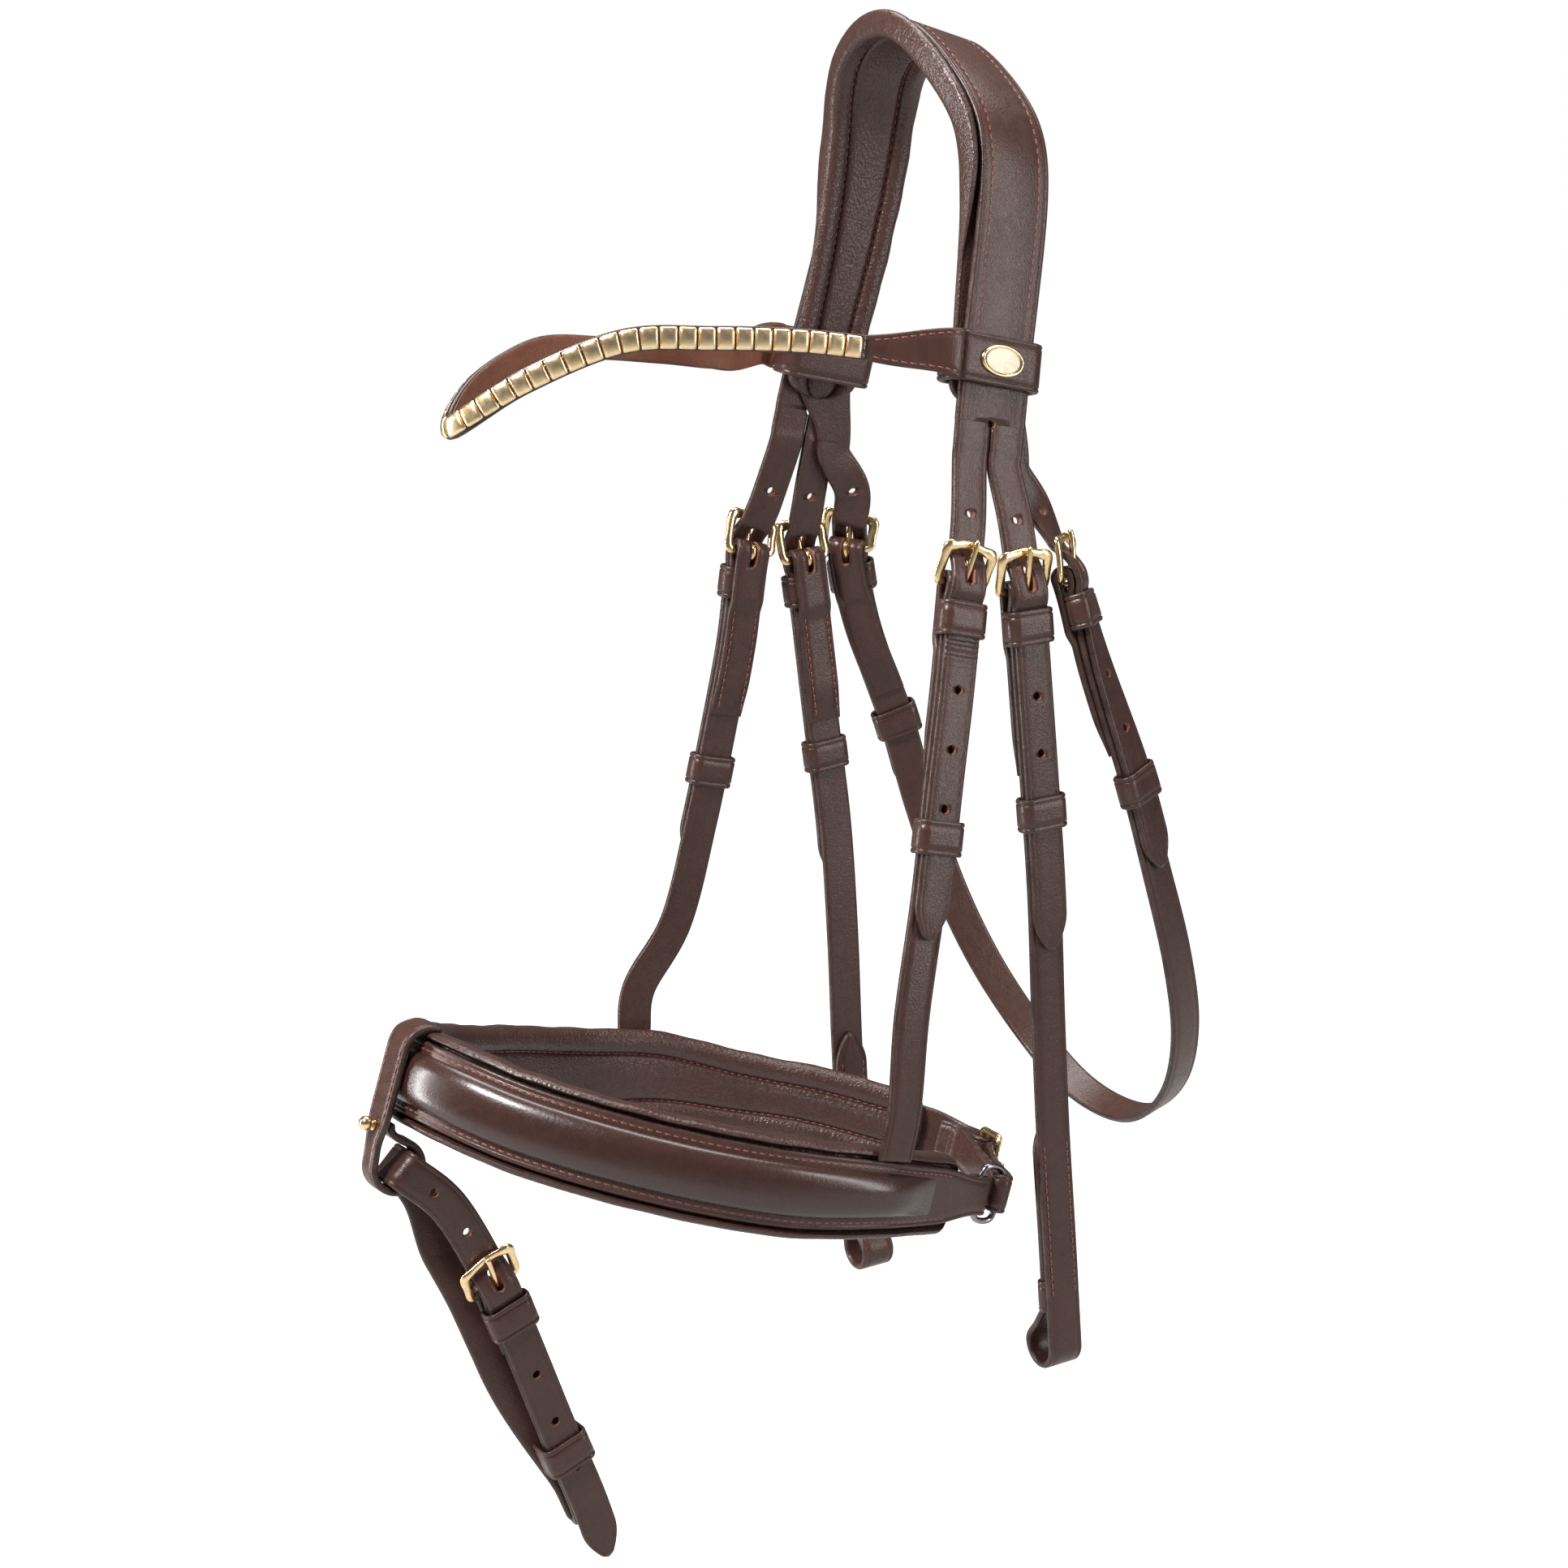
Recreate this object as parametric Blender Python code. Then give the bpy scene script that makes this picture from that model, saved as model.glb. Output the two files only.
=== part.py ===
"""Horse bridle: padded headpiece, clincher browband, cheekpieces with bit loops, throatlatch,
and a padded noseband that carries a flash strap.

Metres, +Z up. The origin is the underside of the padding at the poll. The near side of the
horse is +X and its nose points along -Y. Every strap is built in its own strap space: s runs
along the strap, w across it and n outwards from the horse.
"""

import math
from dataclasses import dataclass

import bmesh
import bpy
from mathutils import Vector

# Overall sizes that the routes of the straps are shares of
FRAME_WIDTH = 0.200
FACE_DEPTH = 0.200
CHEEK_DROP = 0.500

# Leather and clearances
STRAP_WIDTH = 0.0142
STRAP_THICKNESS = 0.0026
GAP = 0.0003
ROUTE_STEPS = 24
RING_STEP = 0.012
FINE_STEP = 0.006

# How a bent four-sided face splits into triangles
SPLIT_TIE = 0.0002
SPLIT_HINT = Vector((0.3, 0.5, 0.8))

# Headpiece
CROWN_TILT = math.radians(14)
POLL_BACK = 0.0041
POLL_FLAT = 0.010
CROWN_WIDTH = 0.0295
CROWN_SHIFT = 0.0035
CROWN_STRAP_SPACING = 0.0149
SPLIT_LENGTH = 0.0165
SPLIT_HOLE_RADIUS = 0.0019
SPLIT_SLOT_WIDTH = 0.0007
INNER_STRAP_WIDTH = 0.0270
INNER_STRAP_THICKNESS = 0.0016
FLEX_ROOM = 0.0012
THROAT_FLEX_ROOM = 0.0035
THROAT_LEAN = -0.64
THROAT_BACK = 0.0128
THROAT_INSET = 0.0006
TURN_LENGTH = 0.034

# Headpiece padding
PADDING_THICKNESS = 0.0028
PADDING_WIDTH = 0.0360
PADDING_END_WIDTH = 0.0300
PADDING_END = 0.0200
PADDING_FULL_SHARE = 0.2
PADDING_RIM = 0.0082
PADDING_RIM_DROP = 0.0014
PADDING_CHANNEL = 0.0014
PADDING_BEAD = 0.0010
BEAD_GROOVE = 0.0016
BEAD_FULL_SHARE = 0.42
BEAD_END_SHARE = 0.68

# Buckles
BUCKLE_INNER_WIDTH = 0.0166
BUCKLE_HEIGHT = 0.0128
BUCKLE_ARCH = 0.0016
BUCKLE_CORNER = 0.0026
BUCKLE_BAR_RADIUS = 0.00135
BUCKLE_TILT = math.radians(22)
TONGUE_RADIUS = 0.0011
TONGUE_OVERHANG = 0.0026
TONGUE_EYE_TURN = math.radians(255)
TONGUE_SLOT_SIDE = 0.0005
TUBE_SIDES = 6

# Billets, their holes and the folded strap ends
HOLE_PITCH = 0.0208
HOLE_RADIUS = 0.0016
HOLE_SIDES = 6
TONGUE_HOLE_LENGTH = 0.0092
TONGUE_HOLE_REACH = 0.0044
CHAPE_LENGTH = 0.066
CHAPE_EASE = 0.006
BILLET_RISE = 0.020
BILLET_MIDDLE_SHARE = 0.62
POINT_LENGTH = 0.013
POINT_BLUNT_SHARE = 0.22
POINT_RING_SHARES = (1.0, 0.62, 0.3, 0.1, 0.0)
LAYER = STRAP_THICKNESS + GAP

# Keepers
KEEPER_LENGTH = 0.0122
KEEPER_THICKNESS = 0.0011
KEEPER_SIDE_ROOM = 0.0013
KEEPER_CORNER = 0.0010
KEEPER_OFFSET = 0.0064
FINGER_ROOM = 0.00036

# Places of the buckles and runners along their straps, and the length of billet past each bar
CHEEK_BUCKLE_AT = 0.0445
CHEEK_TAIL = 0.126
CHEEK_RUNNER_AT = 0.1245
HANGER_BUCKLE_AT = 0.0440
HANGER_TAIL = 0.125
HANGER_RUNNER_AT = 0.1330
THROAT_BUCKLE_AT = 0.0440
THROAT_TAIL = 0.106
THROAT_RUNNER_AT = 0.1240

# Bit loop at the foot of a cheekpiece
LOOP_RADIUS = 0.0060
LOOP_RETURN = 0.090
LOOP_EASE = 0.014
LOOP_KEEPER_AT = 0.0285
STUD_AT = 0.058
STUD_RADIUS = 0.0016
STUD_HEAD_RADIUS = 0.0030
STUD_HEAD = 0.0020
STUD_SIDES = 10

# Browband
NEAR_BROWBAND_AT = 0.0410
OFF_BROWBAND_AT = 0.0360
BROWBAND_THICKNESS = 0.0024
BROWBAND_LOOP_HEIGHT = 0.0205
BROWBAND_LOOP_CORNER = 0.0020
BROWBAND_LOOP_ROOM = 0.0006
BROWBAND_NARROW = 0.0098
BROWBAND_SEAM = 0.0060
BROWBAND_TAPER = 0.050
CLINCHER_HEIGHT = 0.0086
CLINCHER_RISE = 0.0021
CLINCHER_GROOVE = 0.0009
CLINCHER_PITCH = 0.0083
CLINCHER_START = 0.062
BADGE_LENGTH = 0.0165
BADGE_HEIGHT = 0.0112
BADGE_THICKNESS = 0.0012
BADGE_SIDES = 20

# Noseband
RING_TILT = math.radians(17)
NOSEBAND_HEIGHT = 0.0330
NOSEBAND_END_HEIGHT = 0.0200
NOSEBAND_TAPER = 0.105
NOSEBAND_RIM = 0.0030
NOSEBAND_RAISE = 0.0042
NOSEBAND_EDGE = 0.0034
NOSEBAND_SLOPE = 0.0018
NOSEBAND_RAISE_AT = 0.020
NOSEBAND_RAISE_RUN = 0.030
NOSE_PADDING_THICKNESS = 0.0062
NOSE_PADDING_AT = 0.024
NOSE_RIM_DEPTH = 0.0082
NOSE_CHANNEL = 0.0014
NOSE_ROLL = 0.0018
NOSE_RIM_OUT = 0.0006
NOSE_TIP_SHARE = 0.9
HANGER_NEAR_SHARE = 0.0905
HANGER_OFF_SHARE = 0.6576
NOSEBAND_OFF_END_SHARE = 0.75
NOSEBAND_FRONT_ROW = 8
END_RING_HEIGHT = 0.0230
END_RING_RADIUS = 0.0012
BAND_FOLD_WIDTH = 0.0142
BAND_FOLD_RETURN = 0.016
BAND_CHAPE = 0.0240
CHIN_LENGTH = 0.0880
CHIN_TAIL = 0.0520
CHIN_START = 0.0180

# Flash strap and its tab
TAB_WIDTH = 0.0150
TAB_LOOP_WIDTH = 0.0100
TAB_LOOP_DROP = 0.0323
TAB_LOOP_SET_BACK = 0.0028
FLASH_HALF_SPREAD = 0.0078
FLASH_TOP_RADIUS = 0.0030
FLASH_BUCKLE_AT = 0.0610
FLASH_TAIL = 0.1130
FLASH_RUNNER_AT = 0.1340
FLASH_FOLD_AT = 0.1640
FLASH_CHAPE = 0.0270
FLASH_FOLD_RADIUS = 0.0022
FLASH_SPREAD_END = 0.1200
FLASH_STUD_RADIUS = 0.0012
FLASH_STUD_HEAD = 0.0026
FLASH_STUD_AT = 0.0195

# Room across the face between straps whose buckles lie side by side
HANGER_SPREAD = 0.0250
THROAT_SPREAD = 0.0200

# Places along each route as shares of FRAME_WIDTH, FACE_DEPTH and CHEEK_DROP, chosen by hand
OFF_CROWN_SHARES = (
    (-0.2925, -0.0375, -0.3050),
    (-0.2790, -0.0225, -0.2610),
    (-0.2640, -0.0075, -0.2250),
    (-0.2490, 0.0150, -0.1850),
    (-0.2390, 0.0375, -0.1450),
    (-0.2315, 0.0510, -0.1100),
    (-0.2215, 0.0570, -0.0780),
    (-0.2055, 0.0545, -0.0540),
    (-0.1850, 0.0445, -0.0350),
    (-0.1525, 0.0280, -0.0190),
    (-0.1095, 0.0200, -0.0090),
    (-0.0500, 0.0190, -0.0026),
)
NEAR_CROWN_SHARES = (
    (0.0440, 0.0190, -0.0050),
    (0.0845, 0.0220, -0.0180),
    (0.1455, 0.0345, -0.0390),
    (0.1820, 0.0470, -0.0550),
    (0.2080, 0.0520, -0.0690),
    (0.2280, 0.0520, -0.0850),
    (0.2415, 0.0410, -0.1100),
    (0.2485, 0.0325, -0.1410),
    (0.2560, 0.0170, -0.1790),
    (0.2690, -0.0050, -0.2230),
    (0.2790, -0.0225, -0.2610),
    (0.2925, -0.0375, -0.3050),
)
NEAR_HANGER_SHARES = (
    (0.355, 0.030, -0.344),
    (0.375, 0.005, -0.384),
    (0.400, -0.030, -0.456),
    (0.420, -0.065, -0.524),
    (0.438, -0.100, -0.600),
    (0.458, -0.145, -0.680),
)
OFF_HANGER_SHARES = (
    (0.355, 0.028, -0.344),
    (0.375, -0.002, -0.384),
    (0.400, -0.015, -0.456),
    (0.420, -0.040, -0.524),
    (0.438, -0.075, -0.600),
    (0.456, -0.123, -0.680),
)
NEAR_CHEEK_SHARES = (
    (0.355, 0.005, -0.344),
    (0.375, 0.008, -0.384),
    (0.380, 0.020, -0.444),
    (0.380, 0.040, -0.524),
    (0.380, 0.060, -0.610),
    (0.376, 0.075, -0.700),
    (0.375, 0.090, -0.790),
    (0.374, 0.110, -0.880),
    (0.372, 0.130, -0.974),
)
OFF_CHEEK_SHARES = (
    (0.355, -0.001, -0.344),
    (0.375, -0.002, -0.384),
    (0.380, 0.020, -0.444),
    (0.380, 0.047, -0.524),
    (0.380, 0.077, -0.610),
    (0.376, 0.092, -0.700),
    (0.375, 0.102, -0.790),
    (0.374, 0.115, -0.880),
    (0.372, 0.135, -0.974),
)
THROAT_SHARES = (
    (0.325, -0.020, -0.340),
    (0.370, 0.012, -0.384),
    (0.400, 0.050, -0.448),
    (0.420, 0.120, -0.528),
    (0.420, 0.180, -0.600),
    (0.395, 0.250, -0.670),
    (0.340, 0.315, -0.732),
    (0.250, 0.365, -0.784),
    (0.130, 0.395, -0.820),
    (0.000, 0.410, -0.832),
)
THROAT_OUTWARD_SHARES = (
    (0.91, 0.42, 0.00),
    (0.71, 0.71, 0.00),
    (0.82, 0.57, 0.00),
    (0.94, 0.34, 0.00),
    (0.97, 0.26, 0.00),
    (0.95, 0.25, -0.20),
    (0.80, 0.30, -0.50),
    (0.55, 0.33, -0.76),
    (0.25, 0.33, -0.90),
    (0.00, 0.33, -0.94),
)
OFF_THROAT_BACK_SHARES = (0.0, -0.015, 0.0, 0.025, 0.025, 0.010, 0.0, 0.0, 0.0, 0.0)
NEAR_BROWBAND_SHARES = (
    (0.280, -0.225, -0.222),
    (0.250, -0.375, -0.216),
    (0.215, -0.525, -0.214),
    (0.165, -0.675, -0.216),
    (0.090, -0.825, -0.243),
    (0.000, -0.920, -0.274),
)
OFF_BROWBAND_SHARES = (
    (0.090, -0.825, -0.243),
    (0.165, -0.675, -0.217),
    (0.215, -0.525, -0.217),
    (0.250, -0.375, -0.224),
    (0.280, -0.225, -0.232),
)
NOSEBAND_SHARES = (
    (0.350, -0.0445, -0.8350),
    (0.400, -0.1670, -0.8220),
    (0.445, -0.3100, -0.8080),
    (0.440, -0.4890, -0.7940),
    (0.395, -0.6490, -0.7780),
    (0.320, -0.7990, -0.7600),
    (0.225, -0.9140, -0.7440),
    (0.120, -0.9890, -0.7300),
    (0.000, -1.0190, -0.7240),
    (-0.120, -0.9890, -0.7300),
    (-0.225, -0.9140, -0.7440),
    (-0.320, -0.7990, -0.7600),
    (-0.395, -0.6490, -0.7740),
    (-0.440, -0.4890, -0.7880),
    (-0.440, -0.3100, -0.7980),
    (-0.395, -0.1570, -0.8140),
    (-0.320, -0.0250, -0.8250),
    (-0.250, 0.0755, -0.8370),
    (-0.175, 0.1655, -0.8490),
    (-0.100, 0.2200, -0.8560),
    (0.000, 0.1900, -0.8560),
    (0.150, 0.1050, -0.8480),
    (0.260, 0.0400, -0.8400),
    (0.3325, 0.0000, -0.8364),
)
FLASH_SHARES = (
    (0.036, -0.965, -0.820),
    (0.033, -0.888, -0.874),
    (0.030, -0.838, -0.920),
    (0.023, -0.758, -1.000),
    (0.017, -0.695, -1.060),
    (0.013, -0.650, -1.112),
)


def place_of(share, side=1, back=0.0):
    """Returns the place in metres of one row of a share table, set back by a length."""
    depth = share[1] * FACE_DEPTH + back
    return Vector((side * share[0] * FRAME_WIDTH, depth, share[2] * CHEEK_DROP))


def curve_through(points, t):
    """Returns the point at t, counted in points, of the smooth curve through the points."""
    first = min(int(t), len(points) - 2)
    part = t - first
    b = points[first]
    c = points[first + 1]
    a = points[first - 1] if first > 0 else b * 2 - c
    d = points[first + 2] if first + 2 < len(points) else c * 2 - b
    bend = (a * 2 - b * 5 + c * 4 - d) * part**2 + (b * 3 - a - c * 3 + d) * part**3
    return 0.5 * (b * 2 + (c - a) * part + bend)


def runs_of(points):
    """Returns the direction of the line at each of its points."""
    last = len(points) - 1
    return [(points[min(i + 1, last)] - points[max(i - 1, 0)]).normalized() for i in range(last + 1)]


def arch_outward(points, tilt):
    """Returns the outward direction at each point of a line that arches over the poll."""
    return [Vector((-run.z, math.tan(tilt) * abs(run.x), run.x)).normalized() for run in runs_of(points)]


def side_outward(points, axis):
    """Returns the outward direction at each point of a band that lies round an axis."""
    return [axis.cross(run).normalized() for run in runs_of(points)]


class Route:
    """A strap's line, with the direction outwards at each of its points."""

    def __init__(self, points, outward):
        self.places = []
        self.hints = []
        count = (len(points) - 1) * ROUTE_STEPS
        for step in range(count + 1):
            t = step / ROUTE_STEPS
            self.places.append(curve_through(points, t))
            self.hints.append(curve_through(outward, t).normalized())
        self.lengths = [0.0]
        for before, after in zip(self.places, self.places[1:]):
            self.lengths.append(self.lengths[-1] + (after - before).length)
        self.length = self.lengths[-1]

    def index(self, s):
        """Returns the sample before s and the share of the way to the next one."""
        low = 0
        high = len(self.lengths) - 2
        while low < high:
            middle = (low + high + 1) // 2
            if self.lengths[middle] <= s:
                low = middle
            else:
                high = middle - 1
        span = self.lengths[low + 1] - self.lengths[low]
        return low, (s - self.lengths[low]) / span

    def tangent_at(self, sample):
        """Returns the direction of the line at one sample."""
        before = max(sample - 1, 0)
        after = min(sample + 1, len(self.places) - 1)
        return (self.places[after] - self.places[before]).normalized()

    def frame(self, s):
        """Returns the place at s and the directions along, across and outwards."""
        low, part = self.index(s)
        centre = self.places[low].lerp(self.places[low + 1], part)
        along = self.tangent_at(low).lerp(self.tangent_at(low + 1), part).normalized()
        hint = self.hints[low].lerp(self.hints[low + 1], part)
        outward = (hint - along * hint.dot(along)).normalized()
        return centre, along, along.cross(outward), outward

    def place(self, s, w=0.0, n=0.0):
        """Returns the world place of a point of strap space."""
        centre, _, across, outward = self.frame(s)
        return centre + across * w + outward * n

    def nearest(self, point):
        """Returns s of the sample that is nearest to a place."""
        best = min(range(len(self.places)), key=lambda i: (self.places[i] - point).length)
        return self.lengths[best]


class CrownRoute(Route):
    """The line over the poll, which is exactly flat for a short way at the poll itself."""

    def __init__(self, points, outward, poll_space):
        super().__init__(points, outward)
        self.poll_space = poll_space
        self.poll = self.nearest(poll_space.centre)

    def place(self, s, w=0.0, n=0.0):
        """Returns the world place of a point of strap space."""
        if abs(s - self.poll) < POLL_FLAT * 0.6:
            return self.poll_space.place(s - self.poll, w, n)
        return super().place(s, w, n)


class Mirrored:
    """The same strap space on the other side of the horse."""

    def __init__(self, route):
        self.route = route
        self.length = route.length

    def place(self, s, w=0.0, n=0.0):
        """Returns the world place of a point of strap space."""
        found = self.route.place(s, w, n)
        return Vector((-found.x, found.y, found.z))


class Reversed:
    """A strap space that runs the other way along the same line."""

    def __init__(self, route):
        self.route = route
        self.length = route.length

    def place(self, s, w=0.0, n=0.0):
        """Returns the world place of a point of strap space."""
        return self.route.place(self.length - s, -w, n)


@dataclass
class Body:
    """What moves together: an empty on the joint's axis and the pieces on it."""

    empty: object
    pivot: Vector


def clear_scene():
    """Removes every object of the scene."""
    for obj in list(bpy.data.objects):
        bpy.data.objects.remove(obj, do_unlink=True)


def make_body(name, pivot, parent=None):
    """Returns a body whose empty stands at its joint."""
    empty = bpy.data.objects.new(name, None)
    empty.empty_display_size = STRAP_WIDTH
    bpy.context.scene.collection.objects.link(empty)
    empty.location = pivot - parent.pivot if parent else pivot
    empty.parent = parent.empty if parent else None
    return Body(empty, pivot)


def make_material(name, colour, roughness, metallic=0.0):
    """Returns a plain surface of one colour."""
    material = bpy.data.materials.new(name)
    material.use_nodes = True
    shader = material.node_tree.nodes["Principled BSDF"]
    shader.inputs["Base Color"].default_value = (*colour, 1.0)
    shader.inputs["Roughness"].default_value = roughness
    shader.inputs["Metallic"].default_value = metallic
    return material


def add_quad(bm, a, b, c, d):
    """Adds two triangles, split the same way in every layer of a bent stack of straps."""
    first = c.co - a.co
    second = d.co - b.co
    longer = first.length - second.length
    if abs(longer) < SPLIT_TIE:
        longer = abs(second.dot(SPLIT_HINT)) - abs(first.dot(SPLIT_HINT))
    if longer > 0:
        bm.faces.new((a, b, d))
        bm.faces.new((b, c, d))
    else:
        bm.faces.new((a, b, c))
        bm.faces.new((a, c, d))


def loft_mesh(bm, rings, closed=False):
    """Adds the faces that join the rings, with a cap on each open end."""
    loops = [[bm.verts.new(point) for point in ring] for ring in rings]
    count = len(loops[0])
    pairs = list(zip(loops, loops[1:]))
    if closed:
        pairs.append((loops[-1], loops[0]))
    for one, two in pairs:
        for i in range(count):
            j = (i + 1) % count
            add_quad(bm, one[i], one[j], two[j], two[i])
    if not closed:
        bm.faces.new(loops[0])
        bm.faces.new(loops[-1])


def add_part(name, body, shapes, material, cutter=False):
    """Adds one object made of (rings, closed) shapes, placed from its body's joint."""
    bm = bmesh.new()
    for rings, closed in shapes:
        local = [[point - body.pivot for point in ring] for ring in rings]
        loft_mesh(bm, local, closed)
    bmesh.ops.recalc_face_normals(bm, faces=bm.faces[:])
    mesh = bpy.data.meshes.new(name)
    bm.to_mesh(mesh)
    bm.free()
    mesh.shade_smooth()
    mesh.set_sharp_from_angle(angle=math.radians(40))
    obj = bpy.data.objects.new(name, mesh)
    bpy.context.scene.collection.objects.link(obj)
    obj.parent = body.empty
    if cutter:
        obj.hide_render = True
        obj.display_type = "WIRE"
    else:
        mesh.materials.append(material)
    return obj


def cut(obj, body, shapes):
    """Cuts the shapes out of an object with one Boolean."""
    cutter = add_part(obj.name + "_cutter", body, shapes, None, cutter=True)
    modifier = obj.modifiers.new("cut", "BOOLEAN")
    modifier.operation = "DIFFERENCE"
    modifier.solver = "EXACT"
    modifier.object = cutter


def ribbon(route, path, width=STRAP_WIDTH, thickness=STRAP_THICKNESS, shift=None):
    """Returns the rings of a flat strap that follows a path of (s, n) points.

    width is a length or a function of the point's number; shift moves the ring across.
    """
    rings = []
    for i, (s, n) in enumerate(path):
        before = path[max(i - 1, 0)]
        after = path[min(i + 1, len(path) - 1)]
        run = Vector((after[0] - before[0], after[1] - before[1])).normalized()
        half = (width(i) if callable(width) else width) / 2
        aside = shift(i) if shift else 0.0
        up = (s - run.y * thickness / 2, n + run.x * thickness / 2)
        down = (s + run.y * thickness / 2, n - run.x * thickness / 2)
        rings.append(
            [
                route.place(up[0], aside - half, up[1]),
                route.place(up[0], aside + half, up[1]),
                route.place(down[0], aside + half, down[1]),
                route.place(down[0], aside - half, down[1]),
            ]
        )
    return rings


def arc(centre_s, centre_n, radius, start, turn, steps):
    """Returns (s, n) points on an arc; an angle of zero points outwards and grows towards -s."""
    points = []
    for i in range(steps + 1):
        angle = start + turn * i / steps
        points.append(
            (centre_s - radius * math.sin(angle), centre_n + radius * math.cos(angle))
        )
    return points


def spaced(start, end, step, n=0.0):
    """Returns points from start to end, no further apart than step, at one n."""
    count = max(1, math.ceil(abs(end - start) / step))
    return [(start + (end - start) * i / count, n) for i in range(count + 1)]


def point_width(path, width=STRAP_WIDTH):
    """Returns a width for each point of a path whose last stretch narrows to a point."""
    length = [0.0]
    for before, after in zip(path, path[1:]):
        length.append(length[-1] + math.dist(before, after))

    def at(i):
        left = (length[-1] - length[i]) / POINT_LENGTH
        if left >= 1:
            return width
        return width * (POINT_BLUNT_SHARE + (1 - POINT_BLUNT_SHARE) * math.sqrt(1 - (1 - left) ** 2))

    return at


def tipped(path):
    """Returns a path with more points along the stretch that narrows to the tip."""
    end_s, end_n = path[-1]
    sign = 1 if end_s > path[-2][0] else -1
    kept = [p for p in path[:-1] if sign * (end_s - p[0]) > POINT_LENGTH + GAP]
    tip = [(end_s - sign * share * POINT_LENGTH, end_n) for share in POINT_RING_SHARES]
    return kept + tip


def tube(route, points, radius, side, closed=False, sides=TUBE_SIDES):
    """Returns the rings of a round bar through (s, w, n) points; side is its plane's normal."""
    rings = []
    count = len(points)
    for i, point in enumerate(points):
        before = points[i - 1] if closed or i else point
        after = points[(i + 1) % count] if closed or i < count - 1 else point
        run = (after - before).normalized()
        out = run.cross(side).normalized()
        ring = []
        for k in range(sides):
            angle = math.tau * (k + 0.5) / sides
            spot = point + out * (radius * math.cos(angle)) + side * (radius * math.sin(angle))
            ring.append(route.place(*spot))
        rings.append(ring)
    return rings


def prism(route, outline, n_low, n_high):
    """Returns the two rings of a cutter with an (s, w) outline between two n values."""
    return [[route.place(s, w, n) for s, w in outline] for n in (n_low, n_high)]


def round_outline(s, radius, stretch=0.0, sides=HOLE_SIDES, w=0.0):
    """Returns the (s, w) outline of a round or long hole."""
    outline = []
    for k in range(sides):
        angle = math.tau * (k + 0.5) / sides
        along = math.cos(angle)
        extra = math.copysign(stretch / 2, along)
        outline.append((s + along * radius + extra, w + math.sin(angle) * radius))
    return outline


@dataclass
class BuckleSeat:
    """Places in strap space round a buckle whose bar is at s."""

    s: float

    @property
    def bar_n(self):
        """Returns n of the pivot bar, midway between the strap and its folded end."""
        return -LAYER / 2

    def in_frame(self, up, w, off=0.0):
        """Returns the strap-space point that lies up the frame and off its plane."""
        s = self.s - up * math.cos(BUCKLE_TILT) + off * math.sin(BUCKLE_TILT)
        n = self.bar_n + up * math.sin(BUCKLE_TILT) + off * math.cos(BUCKLE_TILT)
        return Vector((s, w, n))


def fold_radius():
    """Returns the radius of a strap's middle where it turns round a buckle's bar."""
    return BUCKLE_BAR_RADIUS + GAP + STRAP_THICKNESS / 2


def strap_grid(seat, end):
    """Returns s of the rings that stacked straps share beyond a buckle, the last one at end."""
    first = seat.s + KEEPER_OFFSET + KEEPER_LENGTH
    count = max(0, math.floor((end - first) / RING_STEP))
    grid = [first, first + CHAPE_EASE] + [first + i * RING_STEP for i in range(1, count + 1)]
    return [s for s in grid if s < end - FINE_STEP / 2] + [end]


def billet_path(seat, start, tail):
    """Returns the path of a billet from start, behind the top bar, over the fold and on to its tip."""
    top = seat.in_frame(BUCKLE_HEIGHT, 0.0)
    under = top.z - BUCKLE_BAR_RADIUS - GAP - STRAP_THICKNESS / 2 - GAP
    over = seat.bar_n + fold_radius() + LAYER
    path = spaced(start, seat.s - BILLET_RISE, RING_STEP)
    middle = under + (over - under) * BILLET_MIDDLE_SHARE
    path += [(top.x, under), (seat.s - BUCKLE_HEIGHT / 2, middle), (seat.s, over)]
    path += [(seat.s + fold_radius(), over - GAP), (seat.s + KEEPER_OFFSET, LAYER)]
    path += [(s, LAYER) for s in strap_grid(seat, seat.s + tail)]
    return tipped(path)


def billet_holes(route, seat, start, tail):
    """Returns the cutters of a billet's holes and of the long hole that its tongue stands in."""
    above = (-STRAP_THICKNESS, 3 * STRAP_THICKNESS)
    below = (LAYER / 2, 2.5 * LAYER)
    shapes = []
    first = seat.s - TONGUE_HOLE_REACH
    for k in range(-2, 8):
        s = first + k * HOLE_PITCH
        if s < start + HOLE_PITCH / 2 or s > seat.s + tail - POINT_LENGTH - HOLE_PITCH / 2:
            continue
        if k == 0:
            outline = round_outline(s, HOLE_RADIUS, TONGUE_HOLE_LENGTH - 2 * HOLE_RADIUS, 8)
        else:
            outline = round_outline(s, HOLE_RADIUS)
        shapes.append((prism(route, outline, *(above if k <= 0 else below)), False))
    return shapes


def folded_end(seat, chape):
    """Returns the path of a strap's end: the sewn end, the fold round the bar, and the strap."""
    radius = fold_radius()
    keeper_layer = seat.bar_n - radius
    low = seat.s + KEEPER_OFFSET + KEEPER_LENGTH
    path = [(s, -LAYER) for s in reversed(strap_grid(seat, seat.s + chape)) if s > low + CHAPE_EASE / 2]
    path += [(low + 4 * GAP, keeper_layer), (low, keeper_layer)]
    path.append((seat.s + KEEPER_OFFSET, keeper_layer))
    path += arc(seat.s, seat.bar_n, radius, math.pi, -math.pi, 6)
    path += [(seat.s + radius, radius / 3), (seat.s + KEEPER_OFFSET, 0.0)]
    return path


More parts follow.
